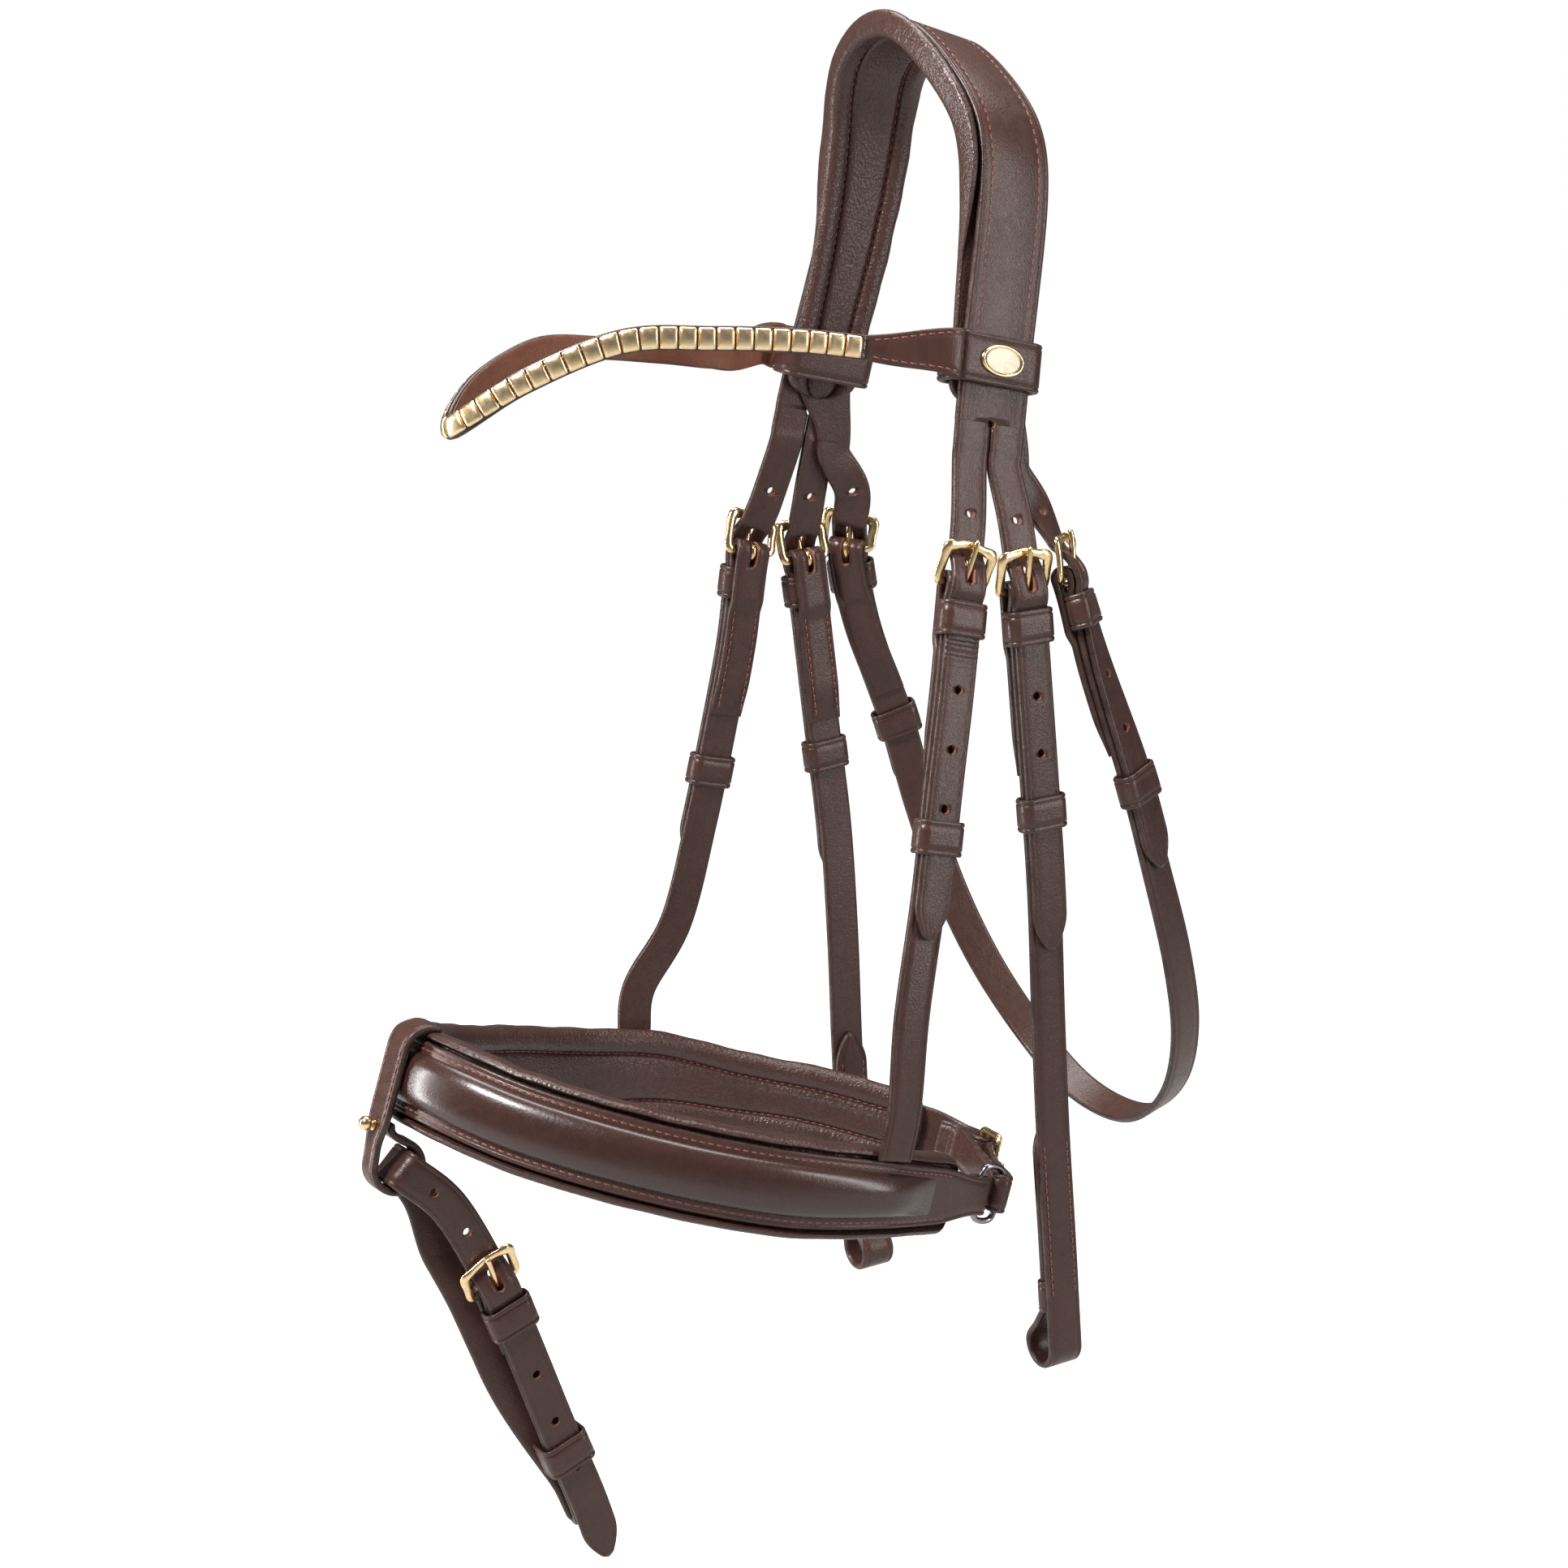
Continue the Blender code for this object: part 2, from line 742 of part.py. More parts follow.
def fold_slot(route, seat):
    """Returns the cutter of the slot that lets the tongue's eye round the bar."""
    half = TONGUE_RADIUS + TONGUE_SLOT_SIDE
    reach = fold_radius() + STRAP_THICKNESS
    outline = [
        (seat.s - reach, -half),
        (seat.s - reach, half),
        (seat.s + reach + GAP, half),
        (seat.s + reach + GAP, -half),
    ]
    return (prism(route, outline, seat.bar_n - reach, seat.bar_n + reach), False)


def buckle_frame(route, seat):
    """Returns the closed bar of a buckle's frame: straight pivot bar, arched top."""
    half = BUCKLE_INNER_WIDTH / 2 + BUCKLE_BAR_RADIUS
    c = BUCKLE_CORNER
    high = BUCKLE_HEIGHT
    outline = [
        (0.0, -half + c / 2),
        (0.0, half - c / 2),
        (c / 2, half),
        (high / 2, half),
        (high - c, half),
        (high, half - c),
        (high + BUCKLE_ARCH * 0.8, half / 2),
        (high + BUCKLE_ARCH, 0.0),
        (high + BUCKLE_ARCH * 0.8, -half / 2),
        (high, -half + c),
        (high - c, -half),
        (high / 2, -half),
        (c / 2, -half),
    ]
    points = [seat.in_frame(up, w) for up, w in outline]
    side = seat.in_frame(0.0, 0.0, 1.0) - seat.in_frame(0.0, 0.0)
    return [(tube(route, points, BUCKLE_BAR_RADIUS, side, closed=True), True)]


def tongue_bar(route, seat):
    """Returns the tongue: an eye round the pivot bar and a bar that rests on the frame's top."""
    radius = BUCKLE_BAR_RADIUS + GAP + TONGUE_RADIUS
    steps = 6
    points = []
    for i in range(steps, 0, -1):
        angle = TONGUE_EYE_TURN * i / steps
        points.append(seat.in_frame(-radius * math.sin(angle), 0.0, radius * math.cos(angle)))
    end = BUCKLE_HEIGHT + BUCKLE_ARCH + TONGUE_OVERHANG
    points.append(seat.in_frame(0.0, 0.0, radius))
    points.append(seat.in_frame(end / 2, 0.0, radius))
    points.append(seat.in_frame(end, 0.0, radius))
    return [(tube(route, points, TONGUE_RADIUS, Vector((0.0, 1.0, 0.0))), False)]


def keeper_ring(
    route,
    s,
    n_low,
    n_high,
    length=KEEPER_LENGTH,
    width=STRAP_WIDTH,
    thickness=KEEPER_THICKNESS,
    c=KEEPER_CORNER,
):
    """Returns a leather loop round the layers between two n values."""
    half = width / 2 + KEEPER_SIDE_ROOM + thickness / 2
    low = n_low - FINGER_ROOM - thickness / 2
    high = n_high + FINGER_ROOM + thickness / 2
    outline = [
        (-half + c, low),
        (half - c, low),
        (half, low + c),
        (half, high - c),
        (half - c, high),
        (-half + c, high),
        (-half, high - c),
        (-half, low + c),
    ]
    middle = (low + high) / 2
    rings = []
    for w, n in outline:
        out_w = math.copysign(min(1.0, abs(w) / half), w)
        out_n = 1.0 if n > middle else -1.0
        along_w = thickness / 2 * out_w
        along_n = thickness / 2 * out_n
        rings.append(
            [
                route.place(s - length / 2, w - along_w, n - along_n),
                route.place(s + length / 2, w - along_w, n - along_n),
                route.place(s + length / 2, w + along_w, n + along_n),
                route.place(s - length / 2, w + along_w, n + along_n),
            ]
        )
    return [(rings, True)]


class Fixed:
    """A flat space with its own place and directions."""

    def __init__(self, centre, along, outward):
        self.centre = centre
        self.along = along.normalized()
        self.outward = (outward - self.along * outward.dot(self.along)).normalized()
        self.across = self.along.cross(self.outward)

    def place(self, s, w=0.0, n=0.0):
        """Returns the world place of a point of this space."""
        return self.centre + self.along * s + self.across * w + self.outward * n


def flip(point):
    """Returns the place on the other side of the horse."""
    return Vector((-point.x, point.y, point.z))


def faded(value, start, end):
    """Returns 0 before start, 1 after end and a smooth share between them."""
    part = min(1.0, max(0.0, (value - start) / (end - start)))
    return part * part * (3 - 2 * part)


def stud_shape(route, s, n_low, n_high, head, shank_radius, head_radius):
    """Returns a stud whose shank stands along n and whose rounded head is beyond n_high."""
    sign = 1 if n_high > n_low else -1
    steps = (
        (n_low, shank_radius),
        (n_high, shank_radius),
        (n_high, head_radius * 0.8),
        (n_high + sign * head * 0.35, head_radius),
        (n_high + sign * head * 0.7, head_radius * 0.85),
        (n_high + sign * head, head_radius * 0.4),
    )
    rings = []
    for n, radius in steps:
        outline = round_outline(s, radius, sides=STUD_SIDES)
        rings.append([route.place(spot_s, w, n) for spot_s, w in outline])
    return [(rings, False)]


@dataclass
class Finishes:
    """The surfaces of the bridle."""

    leather: object
    lining: object
    padding: object
    thread: object
    brass: object
    steel: object


def make_finishes():
    """Returns the surfaces in the colours of the photographed bridle."""
    return Finishes(
        leather=make_material("leather", (0.050, 0.030, 0.025), 0.42),
        lining=make_material("tan_lining", (0.190, 0.060, 0.028), 0.60),
        padding=make_material("padding_leather", (0.062, 0.036, 0.032), 0.58),
        thread=make_material("stitched_leather", (0.056, 0.032, 0.027), 0.45),
        brass=make_material("brass", (0.780, 0.520, 0.210), 0.25, 1.0),
        steel=make_material("dark_ring", (0.160, 0.150, 0.150), 0.30, 1.0),
    )


def leather_level():
    """Returns the height of the outer leather's middle over the underside of the padding."""
    return inner_strap_level() + INNER_STRAP_THICKNESS / 2 + GAP + STRAP_THICKNESS / 2


def inner_strap_level():
    """Returns the height of the inner strap's middle over the underside of the padding."""
    return PADDING_THICKNESS + GAP + INNER_STRAP_THICKNESS / 2


def crown_route():
    """Returns the route over the poll, from the off side to the near side."""
    poll = Vector((0.0, math.cos(CROWN_TILT), -math.sin(CROWN_TILT))) * POLL_BACK
    points = [place_of(share) for share in OFF_CROWN_SHARES]
    points.append(poll)
    points += [place_of(share) for share in NEAR_CROWN_SHARES]
    up = Vector((0.0, math.sin(CROWN_TILT), math.cos(CROWN_TILT)))
    poll_space = Fixed(poll, Vector((1.0, 0.0, 0.0)), up)
    return CrownRoute(points, arch_outward(points, CROWN_TILT), poll_space)


def stations(route, start, end):
    """Returns s of the rings that all layers of the headpiece share, from start to end."""
    low = spaced(0.0, TURN_LENGTH, FINE_STEP)
    high = spaced(route.length - TURN_LENGTH, route.length, FINE_STEP)
    grid = low + spaced(TURN_LENGTH, route.poll - POLL_FLAT, RING_STEP)[1:]
    grid += [(route.poll - POLL_FLAT / 2, 0.0), (route.poll + POLL_FLAT / 2, 0.0)]
    grid += spaced(route.poll + POLL_FLAT, route.length - TURN_LENGTH, RING_STEP)[:-1] + high
    inside = [s for s, _ in grid if start + FINE_STEP / 3 < s < end - FINE_STEP / 3]
    return [start] + inside + [end]


def crown_shift(route, s):
    """Returns how far forward the leather's middle lies of the padding's; it is behind it."""
    reach = abs(s - route.poll) / (route.length / 2)
    return -CROWN_SHIFT * (1 - faded(reach, 0.0, 1.0))


def headpiece_leather(route, root, finish):
    """Adds the outer leather: one strap that a hole and a slit begin to divide at each end."""
    stand = STRAP_THICKNESS / 2 + FLEX_ROOM
    path = [(s, leather_level()) for s in stations(route, stand, route.length - stand)]
    rings = ribbon(route, path, CROWN_WIDTH, shift=lambda i: crown_shift(route, path[i][0]))
    leather = add_part("headpiece_leather", root, [(rings, False)], finish.thread)
    reach = STRAP_THICKNESS * 2
    levels = (leather_level() - reach, leather_level() + reach)
    half = SPLIT_SLOT_WIDTH / 2
    shapes = []
    for end, inward in ((0.0, 1), (route.length, -1)):
        hole = round_outline(end + inward * SPLIT_LENGTH, SPLIT_HOLE_RADIUS, sides=8)
        shapes.append((prism(route, hole, *levels), False))
        inner = end + inward * (SPLIT_LENGTH - SPLIT_HOLE_RADIUS / 2)
        outer = end - inward * stand
        slit = [(outer, -half), (outer, half), (inner, half), (inner, -half)]
        shapes.append((prism(route, slit, *levels), False))
    cut_union(leather, root, shapes)


def cut_union(obj, body, shapes):
    """Cuts overlapping shapes out of an object, each with a Boolean of its own."""
    for i, shape in enumerate(shapes):
        cutter = add_part(f"{obj.name}_cutter_{i}", body, [shape], None, cutter=True)
        modifier = obj.modifiers.new(f"cut_{i}", "BOOLEAN")
        modifier.operation = "DIFFERENCE"
        modifier.solver = "EXACT"
        modifier.object = cutter


def headpiece_inner_strap(route, root, finish):
    """Adds the layer under the leather, which narrows behind it into the throatlatch straps."""
    start = THROAT_FLEX_ROOM
    path = [(s, inner_strap_level()) for s in stations(route, start, route.length - start)]

    def narrowing(i):
        s = path[i][0]
        left = min(s, route.length - s)
        return 1 - faded(left, 0.0, TURN_LENGTH)

    def width(i):
        return INNER_STRAP_WIDTH + (STRAP_WIDTH - INNER_STRAP_WIDTH) * narrowing(i)

    def shift(i):
        return crown_shift(route, path[i][0]) - THROAT_BACK * narrowing(i)

    rings = ribbon(route, path, width, INNER_STRAP_THICKNESS, shift)
    add_part("headpiece_inner_strap", root, [(rings, False)], finish.leather)


def padding_profile(half, bead, edge):
    """Returns the (w, n) section of the headpiece padding, with its rims and sewn channels.

    edge is the width of the bead along its front.
    """
    top = PADDING_THICKNESS
    drop = PADDING_RIM_DROP
    rim = PADDING_RIM
    return [
        (-half + rim / 6, top),
        (-half, top - drop),
        (-half, drop / 2),
        (-half + rim * 0.22, -drop * 0.85),
        (-half + rim * 0.66, -drop),
        (-half + rim, PADDING_CHANNEL),
        (-half + rim * 1.16, 0.0),
        (half - rim * 1.16, 0.0),
        (half - rim, PADDING_CHANNEL),
        (half - rim * 0.66, -drop),
        (half - rim * 0.22, -drop * 0.85),
        (half, drop / 2),
        (half, bead - edge * 0.3),
        (half - edge * 0.45, bead),
        (half - edge * 0.88, bead - edge * 0.3),
        (half - edge, top),
    ]


def headpiece_padding(route, root, finish):
    """Adds the padded lining, whose front rim stands up beside the leather."""
    start = PADDING_END
    end = route.length - PADDING_END
    full_bead = leather_level() + STRAP_THICKNESS / 2 + PADDING_BEAD

    def section(s):
        reach = abs(s - route.poll) / (route.length / 2 - PADDING_END)
        tip = faded(min(s - start, end - s), 0.0, PADDING_RIM * 0.7)
        narrow = faded(reach, PADDING_FULL_SHARE, 1.0)
        width = PADDING_WIDTH + (PADDING_END_WIDTH - PADDING_WIDTH) * narrow
        half = width / 2 * (0.72 + 0.28 * tip)
        rise = full_bead - PADDING_THICKNESS
        bead = PADDING_THICKNESS + rise * (1 - faded(reach, BEAD_FULL_SHARE, BEAD_END_SHARE))
        front = CROWN_WIDTH / 2 + crown_shift(route, s) + BEAD_GROOVE
        foot = min(front, half - 2 * PADDING_BEAD)
        return [route.place(s, w, n) for w, n in padding_profile(half, bead, half - foot)]

    grid = stations(route, start, end)
    grid.insert(1, start + PADDING_RIM * 0.3)
    grid.insert(-1, end - PADDING_RIM * 0.3)
    rings = [section(s) for s in grid]
    add_part("headpiece_padding", root, [(rings, False)], finish.padding)


def browband_levels():
    """Returns the inner and outer n of the loops that hold the headpiece's layers."""
    low = -PADDING_RIM_DROP - BROWBAND_LOOP_ROOM
    high = leather_level() + STRAP_THICKNESS / 2 + BROWBAND_LOOP_ROOM
    return low, high


def browband_loop(name, route, s, root, finish):
    """Adds the loop at one end of the browband, round the headpiece and its padding."""
    low, high = browband_levels()
    width = PADDING_END_WIDTH + 4 * BROWBAND_LOOP_ROOM
    shapes = keeper_ring(
        route,
        s,
        low + FINGER_ROOM,
        high - FINGER_ROOM,
        BROWBAND_LOOP_HEIGHT,
        width,
        BROWBAND_THICKNESS,
        BROWBAND_LOOP_CORNER,
    )
    add_part(name, root, shapes, finish.leather)


def browband_route(crown):
    """Returns the browband's line from the near loop round the forehead to the off loop."""
    _, high = browband_levels()
    level = high + BROWBAND_THICKNESS * 1.5 + GAP
    near_s = crown.length - NEAR_BROWBAND_AT
    seam = PADDING_END_WIDTH / 2 - BROWBAND_SEAM / 2
    points = [crown.place(near_s, seam, level)]
    points += [crown.place(near_s, seam + 2 * BROWBAND_SEAM, level)]
    points += [place_of(share) for share in NEAR_BROWBAND_SHARES]
    points += [place_of(share, -1) for share in OFF_BROWBAND_SHARES]
    points += [crown.place(OFF_BROWBAND_AT, seam + 2 * BROWBAND_SEAM, level)]
    points += [crown.place(OFF_BROWBAND_AT, seam, level)]
    outward = side_outward(points, Vector((0.0, 0.0, 1.0)))
    outward[:2] = [crown.frame(near_s)[3]] * 2
    outward[-2:] = [crown.frame(OFF_BROWBAND_AT)[3]] * 2
    return Route(points, outward)


def plate_ends(route):
    """Returns s of each end of each plate along the browband."""
    room = route.length - 2 * CLINCHER_START
    count = round(room / CLINCHER_PITCH)
    return [CLINCHER_START + room * i / count for i in range(count + 1)]


def browband_strap(route, root, finish):
    """Adds the browband, narrow under its plates and as tall as its loops at the ends."""
    ends = plate_ends(route)
    path = spaced(0.0, ends[0], FINE_STEP) + [(s, 0.0) for s in ends[1:-1]]
    path += spaced(ends[-1], route.length, FINE_STEP)

    def width(i):
        left = min(path[i][0], route.length - path[i][0])
        narrow = faded(left, BROWBAND_SEAM, BROWBAND_TAPER)
        return BROWBAND_LOOP_HEIGHT + (BROWBAND_NARROW - BROWBAND_LOOP_HEIGHT) * narrow

    rings = ribbon(route, path, width, BROWBAND_THICKNESS)
    add_part("browband_strap", root, [(rings, False)], finish.lining)


def browband_clinchers(route, root, finish):
    """Adds the row of domed plates on their backing strip, with a groove between plates."""
    base = BROWBAND_THICKNESS / 2 + GAP
    half = CLINCHER_HEIGHT / 2
    ends = plate_ends(route)

    def section(s, rise, tall):
        outline = (
            (-tall, base),
            (-tall, base + rise * 0.6),
            (-tall * 0.6, base + rise),
            (tall * 0.6, base + rise),
            (tall, base + rise * 0.6),
            (tall, base),
        )
        return [route.place(s, w, n) for w, n in outline]

    rings = []
    for start, end in zip(ends, ends[1:]):
        if rings:
            rings.append(section(start, CLINCHER_RISE - CLINCHER_GROOVE, half - CLINCHER_GROOVE / 2))
        rings.append(section(start + CLINCHER_GROOVE / 2, CLINCHER_RISE, half))
        rings.append(section(end - CLINCHER_GROOVE / 2, CLINCHER_RISE, half))
    add_part("browband_clinchers", root, [(rings, False)], finish.brass)


def browband_badge(crown, root, finish):
    """Adds the bare oval plate on the near loop."""
    _, high = browband_levels()
    base = high + BROWBAND_THICKNESS + GAP
    s = crown.length - NEAR_BROWBAND_AT
    rings = []
    for n, share in ((base, 1.0), (base + BADGE_THICKNESS * 0.6, 1.0), (base + BADGE_THICKNESS, 0.86)):
        ring = []
        for k in range(BADGE_SIDES):
            angle = math.tau * k / BADGE_SIDES
            w = BADGE_LENGTH / 2 * share * math.cos(angle)
            ring.append(crown.place(s + BADGE_HEIGHT / 2 * share * math.sin(angle), w, n))
        rings.append(ring)
    add_part("browband_badge", root, [(rings, False)], finish.brass)


@dataclass
class Buckled:
    """A strap that a buckle hangs from a billet: its space, its seat and what carries it."""

    name: str
    route: object
    seat: BuckleSeat
    body: Body
    runner_at: float
    tail: float

    def fittings(self, finish, layers_low):
        """Adds the buckle, its tongue, the fixed keeper and the runner."""
        add_part(f"{self.name}_buckle", self.body, buckle_frame(self.route, self.seat), finish.brass)
        self.tongue(finish)
        half = STRAP_THICKNESS / 2
        at = self.seat.s + KEEPER_OFFSET + KEEPER_LENGTH / 2
        ring = keeper_ring(self.route, at, -half, LAYER + half)
        add_part(f"{self.name}_keeper", self.body, ring, finish.leather)
        runner = make_body(f"{self.name}_runner_slide", self.route.place(self.runner_at), self.body)
        ring = keeper_ring(self.route, self.runner_at, layers_low - half, LAYER + half)
        add_part(f"{self.name}_runner", runner, ring, finish.leather)

    def tongue(self, finish):
        """Adds the tongue on a body that turns about the pivot bar."""
        bar = self.seat.in_frame(0.0, 0.0)
        pivot = make_body(f"{self.name}_tongue_pivot", self.route.place(*bar), self.body)
        add_part(f"{self.name}_tongue", pivot, tongue_bar(self.route, self.seat), finish.brass)

    def billet(self, name, start, finish, lean=0.0):
        """Adds the billet that comes down to the buckle and runs on through the keepers.

        lean is the slope of its upper end across the strap.
        """
        path = billet_path(self.seat, start, self.tail)
        rings = ribbon(self.route, path, point_width(path))
        half = STRAP_WIDTH / 2
        skin = STRAP_THICKNESS / 2
        corners = ((-half, skin), (half, skin), (half, -skin), (-half, -skin))
        rings[0] = [self.route.place(start + lean * w, w, n) for w, n in corners]
        billet = add_part(name, self.body, [(rings, False)], finish.leather)
        cut(billet, self.body, billet_holes(self.route, self.seat, start, self.tail))


def side_route(crown, side, across, level, shares, back=0.0, ending=()):
    """Returns the line of a strap that hangs from one end of the headpiece."""
    end = crown.length if side > 0 else 0.0
    top = crown.place(end, across, level)
    points = [top if side > 0 else flip(top)]
    points += [place_of(share, back=back) for share in shares]
    points += [spot if side > 0 else flip(spot) for spot in ending]
    outward = [Vector((1.0, 0.0, 0.0))] * len(points)
    route = Route(points, outward)
    return route if side > 0 else Mirrored(route)


def add_cheek(crown, side, root, finish):
    """Adds one cheekpiece, from its billet down to the loop that holds the bit."""
    name = "near" if side > 0 else "off"
    shares = NEAR_CHEEK_SHARES if side > 0 else OFF_CHEEK_SHARES
    across = -CROWN_STRAP_SPACING / 2
    route = side_route(crown, side, across, leather_level(), shares)
    body = make_body(f"{name}_cheek_swing", route.place(0.0), root)
    seat = BuckleSeat(CHEEK_BUCKLE_AT)
    buckled = Buckled(f"{name}_cheek", route, seat, body, CHEEK_RUNNER_AT, CHEEK_TAIL)
    path = billet_path(seat, 0.0, CHEEK_TAIL)
    rings = ribbon(route, path, point_width(path))
    half = STRAP_THICKNESS / 2
    rounded = []
    for angle in (math.radians(75), math.radians(40)):
        ring_path = [(-half * math.sin(angle), 0.0), (0.0, 0.0)]
        rounded.append(ribbon(route, ring_path, STRAP_WIDTH, 2 * half * math.cos(angle))[0])
    billet = add_part(f"{name}_cheek_billet", body, [(rounded + rings, False)], finish.leather)
    cut(billet, body, billet_holes(route, seat, 0.0, CHEEK_TAIL))
    buckled.fittings(finish, 0.0)
    cheek_strap(name, route, seat, body, finish)


def cheek_strap(name, route, seat, body, finish):
    """Adds the cheekpiece strap, its folded foot, the keeper there and the stud inside it."""
    foot = route.length - LOOP_RADIUS
    path = folded_end(seat, CHAPE_LENGTH)
    path += [(s, 0.0) for s in strap_grid(seat, foot)]
    path += arc(foot, -LOOP_RADIUS, LOOP_RADIUS, 0.0, -math.pi, 8)[1:]
    path.append((foot - LOOP_EASE / 2, -LOOP_RADIUS - LAYER / 2))
    back = [s for s in strap_grid(seat, foot - LOOP_EASE) if s > foot - LOOP_RETURN]
    path += tipped([(s, -LAYER) for s in reversed(back)] + [(foot - LOOP_RETURN, -LAYER)])
    rings = ribbon(route, path, point_width(path))
    strap = add_part(f"{name}_cheek_strap", body, [(rings, False)], finish.thread)
    stud_s = route.length - STUD_AT
    hole = round_outline(stud_s, STUD_RADIUS + GAP, sides=8)
    shank_end = -STRAP_THICKNESS / 4
    stud_hole = (prism(route, hole, -2 * LAYER, shank_end + GAP), False)
    cut(strap, body, [fold_slot(route, seat), stud_hole])
    top = -LAYER - STRAP_THICKNESS / 2 - GAP
    stud = stud_shape(route, stud_s, shank_end, top, STUD_HEAD, STUD_RADIUS, STUD_HEAD_RADIUS)
    add_part(f"{name}_cheek_hook_stud", body, stud, finish.brass)
    half = STRAP_THICKNESS / 2
    ring = keeper_ring(route, route.length - LOOP_KEEPER_AT, -LAYER - half, half)
    add_part(f"{name}_cheek_loop_keeper", body, ring, finish.leather)


def add_hanger(crown, side, band, body, finish):
    """Adds one of the two straps that hold the noseband up."""
    name = "near" if side > 0 else "off"
    shares = NEAR_HANGER_SHARES if side > 0 else OFF_HANGER_SHARES
    at = band.length * (HANGER_NEAR_SHARE if side > 0 else HANGER_OFF_SHARE)
    half = noseband_height(band, at) / 2
    level = NOSE_RIM_OUT + 3 * GAP + STRAP_THICKNESS / 2
    ending = [band.place(at, half + NOSEBAND_END_HEIGHT, level), band.place(at, half + 2 * GAP, level)]
    across = CROWN_STRAP_SPACING / 2
    route = side_route(crown, side, across, leather_level(), shares, -HANGER_SPREAD, ending)
    seat = BuckleSeat(HANGER_BUCKLE_AT)
    buckled = Buckled(f"{name}_hanger", route, seat, body, HANGER_RUNNER_AT, HANGER_TAIL)
    buckled.billet(f"{name}_hanger_billet", -STRAP_THICKNESS / 4, finish)
    buckled.fittings(finish, 0.0)
    path = folded_end(seat, CHAPE_LENGTH)
    path += [(s, 0.0) for s in strap_grid(seat, route.length)]
    strap = add_part(f"{name}_hanger_strap", body, [(ribbon(route, path), False)], finish.leather)
    cut(strap, body, [fold_slot(route, seat)])


def ring_axis():
    """Returns the direction across the noseband, square to the plane that it lies in."""
    return Vector((0.0, math.sin(RING_TILT), math.cos(RING_TILT)))


def noseband_route():
    """Returns the line along the noseband from its near end round the nose, then under the chin."""
    points = [place_of(share) for share in NOSEBAND_SHARES]
    return Route(points, side_outward(points, ring_axis()))


def noseband_height(route, s):
    """Returns the height of the noseband's leather at s."""
    reach = min(s, route.length * NOSEBAND_OFF_END_SHARE - s)
    full = NOSEBAND_HEIGHT - 2 * NOSEBAND_RIM
    return NOSEBAND_END_HEIGHT + (full - NOSEBAND_END_HEIGHT) * faded(reach, 0.0, NOSEBAND_TAPER)


def band_fold_radius():
    """Returns the radius of a strap's middle where it turns round the end ring's bar."""
    return END_RING_RADIUS + GAP + STRAP_THICKNESS / 2


def nose_padding_ends(route):
    """Returns s of both ends of the noseband padding and of the rings where its tips begin."""
    start = NOSE_PADDING_AT
    end = route.length - CHIN_LENGTH - BAND_CHAPE - KEEPER_OFFSET
    return [start, start + NOSEBAND_RIM, end - NOSEBAND_RIM, end]


def noseband_stations(route):
    """Returns s of the rings that the noseband's leather and its padding share."""
    grid = strap_grid(BuckleSeat(CHIN_LENGTH), route.length - 2 * band_fold_radius())
    ends = nose_padding_ends(route)
    kept = [route.length - s for s in grid]
    kept = [s for s in kept if min(abs(s - end) for end in ends) > FINE_STEP / 2]
    return sorted(kept + ends)


def noseband_path(route):
    """Returns the band's path, with the width and the raise of its middle at each point."""
    radius = band_fold_radius()
    fold = fold_radius()
    bar = route.length - CHIN_LENGTH
    off_end = route.length * NOSEBAND_OFF_END_SHARE
    rows = [(BAND_FOLD_RETURN, -LAYER, BAND_FOLD_WIDTH, 0.0)]
    rows.append((BAND_FOLD_RETURN / 2, -LAYER - GAP, BAND_FOLD_WIDTH, 0.0))
    rows += [(s, n, BAND_FOLD_WIDTH, 0.0) for s, n in arc(0.0, -radius, radius, math.pi, -math.pi, 6)]
    for s in noseband_stations(route):
        height = noseband_height(route, s)
        widening = faded(s, radius, NOSEBAND_RAISE_AT)
        narrowing = faded(bar - s, 3 * fold, NOSEBAND_RAISE_RUN)
        width = BAND_FOLD_WIDTH + (height - BAND_FOLD_WIDTH) * widening * narrowing
        reach = min(s - NOSEBAND_RAISE_AT, off_end - s)
        rows.append((s, 0.0, width, NOSEBAND_RAISE * faded(reach, 0.0, NOSEBAND_RAISE_RUN)))
    bar_n = -LAYER / 2
    rows.append((bar - 2 * fold, GAP / 2, BAND_FOLD_WIDTH, 0.0))
    rows.append((bar - fold, fold / 3, BAND_FOLD_WIDTH, 0.0))
    for s, n in arc(bar, bar_n, fold, 0.0, -math.pi, 6):
        rows.append((s, n, BAND_FOLD_WIDTH, 0.0))
    for s, n in spaced(bar, bar - BAND_CHAPE, FINE_STEP, bar_n - fold)[1:]:
        rows.append((s, n, BAND_FOLD_WIDTH, 0.0))
    return rows


def band_section(half, rise):
    """Returns the (w, h) section of the noseband's leather, raised between its stitch rows."""
    skin = STRAP_THICKNESS / 2
    edge = min(NOSEBAND_EDGE, half * 0.3)
    slope = min(NOSEBAND_SLOPE, half * 0.15)
    right = [
        (half, -skin),
        (half, skin),
        (half - edge, skin),
        (half - edge - slope, skin + rise * 0.7),
        (half * 0.45, skin + rise),
    ]
    return right + [(-w, h) for w, h in reversed(right)]


def sweep(route, path, section):
    """Returns rings along an (s, n) path; section gives each ring's (w, h) outline."""
    rings = []
    for i, (s, n) in enumerate(path):
        before = path[max(i - 1, 0)]
        after = path[min(i + 1, len(path) - 1)]
        run = Vector((after[0] - before[0], after[1] - before[1])).normalized()
        rings.append([route.place(s - run.y * h, w, n + run.x * h) for w, h in section(i)])
    return rings


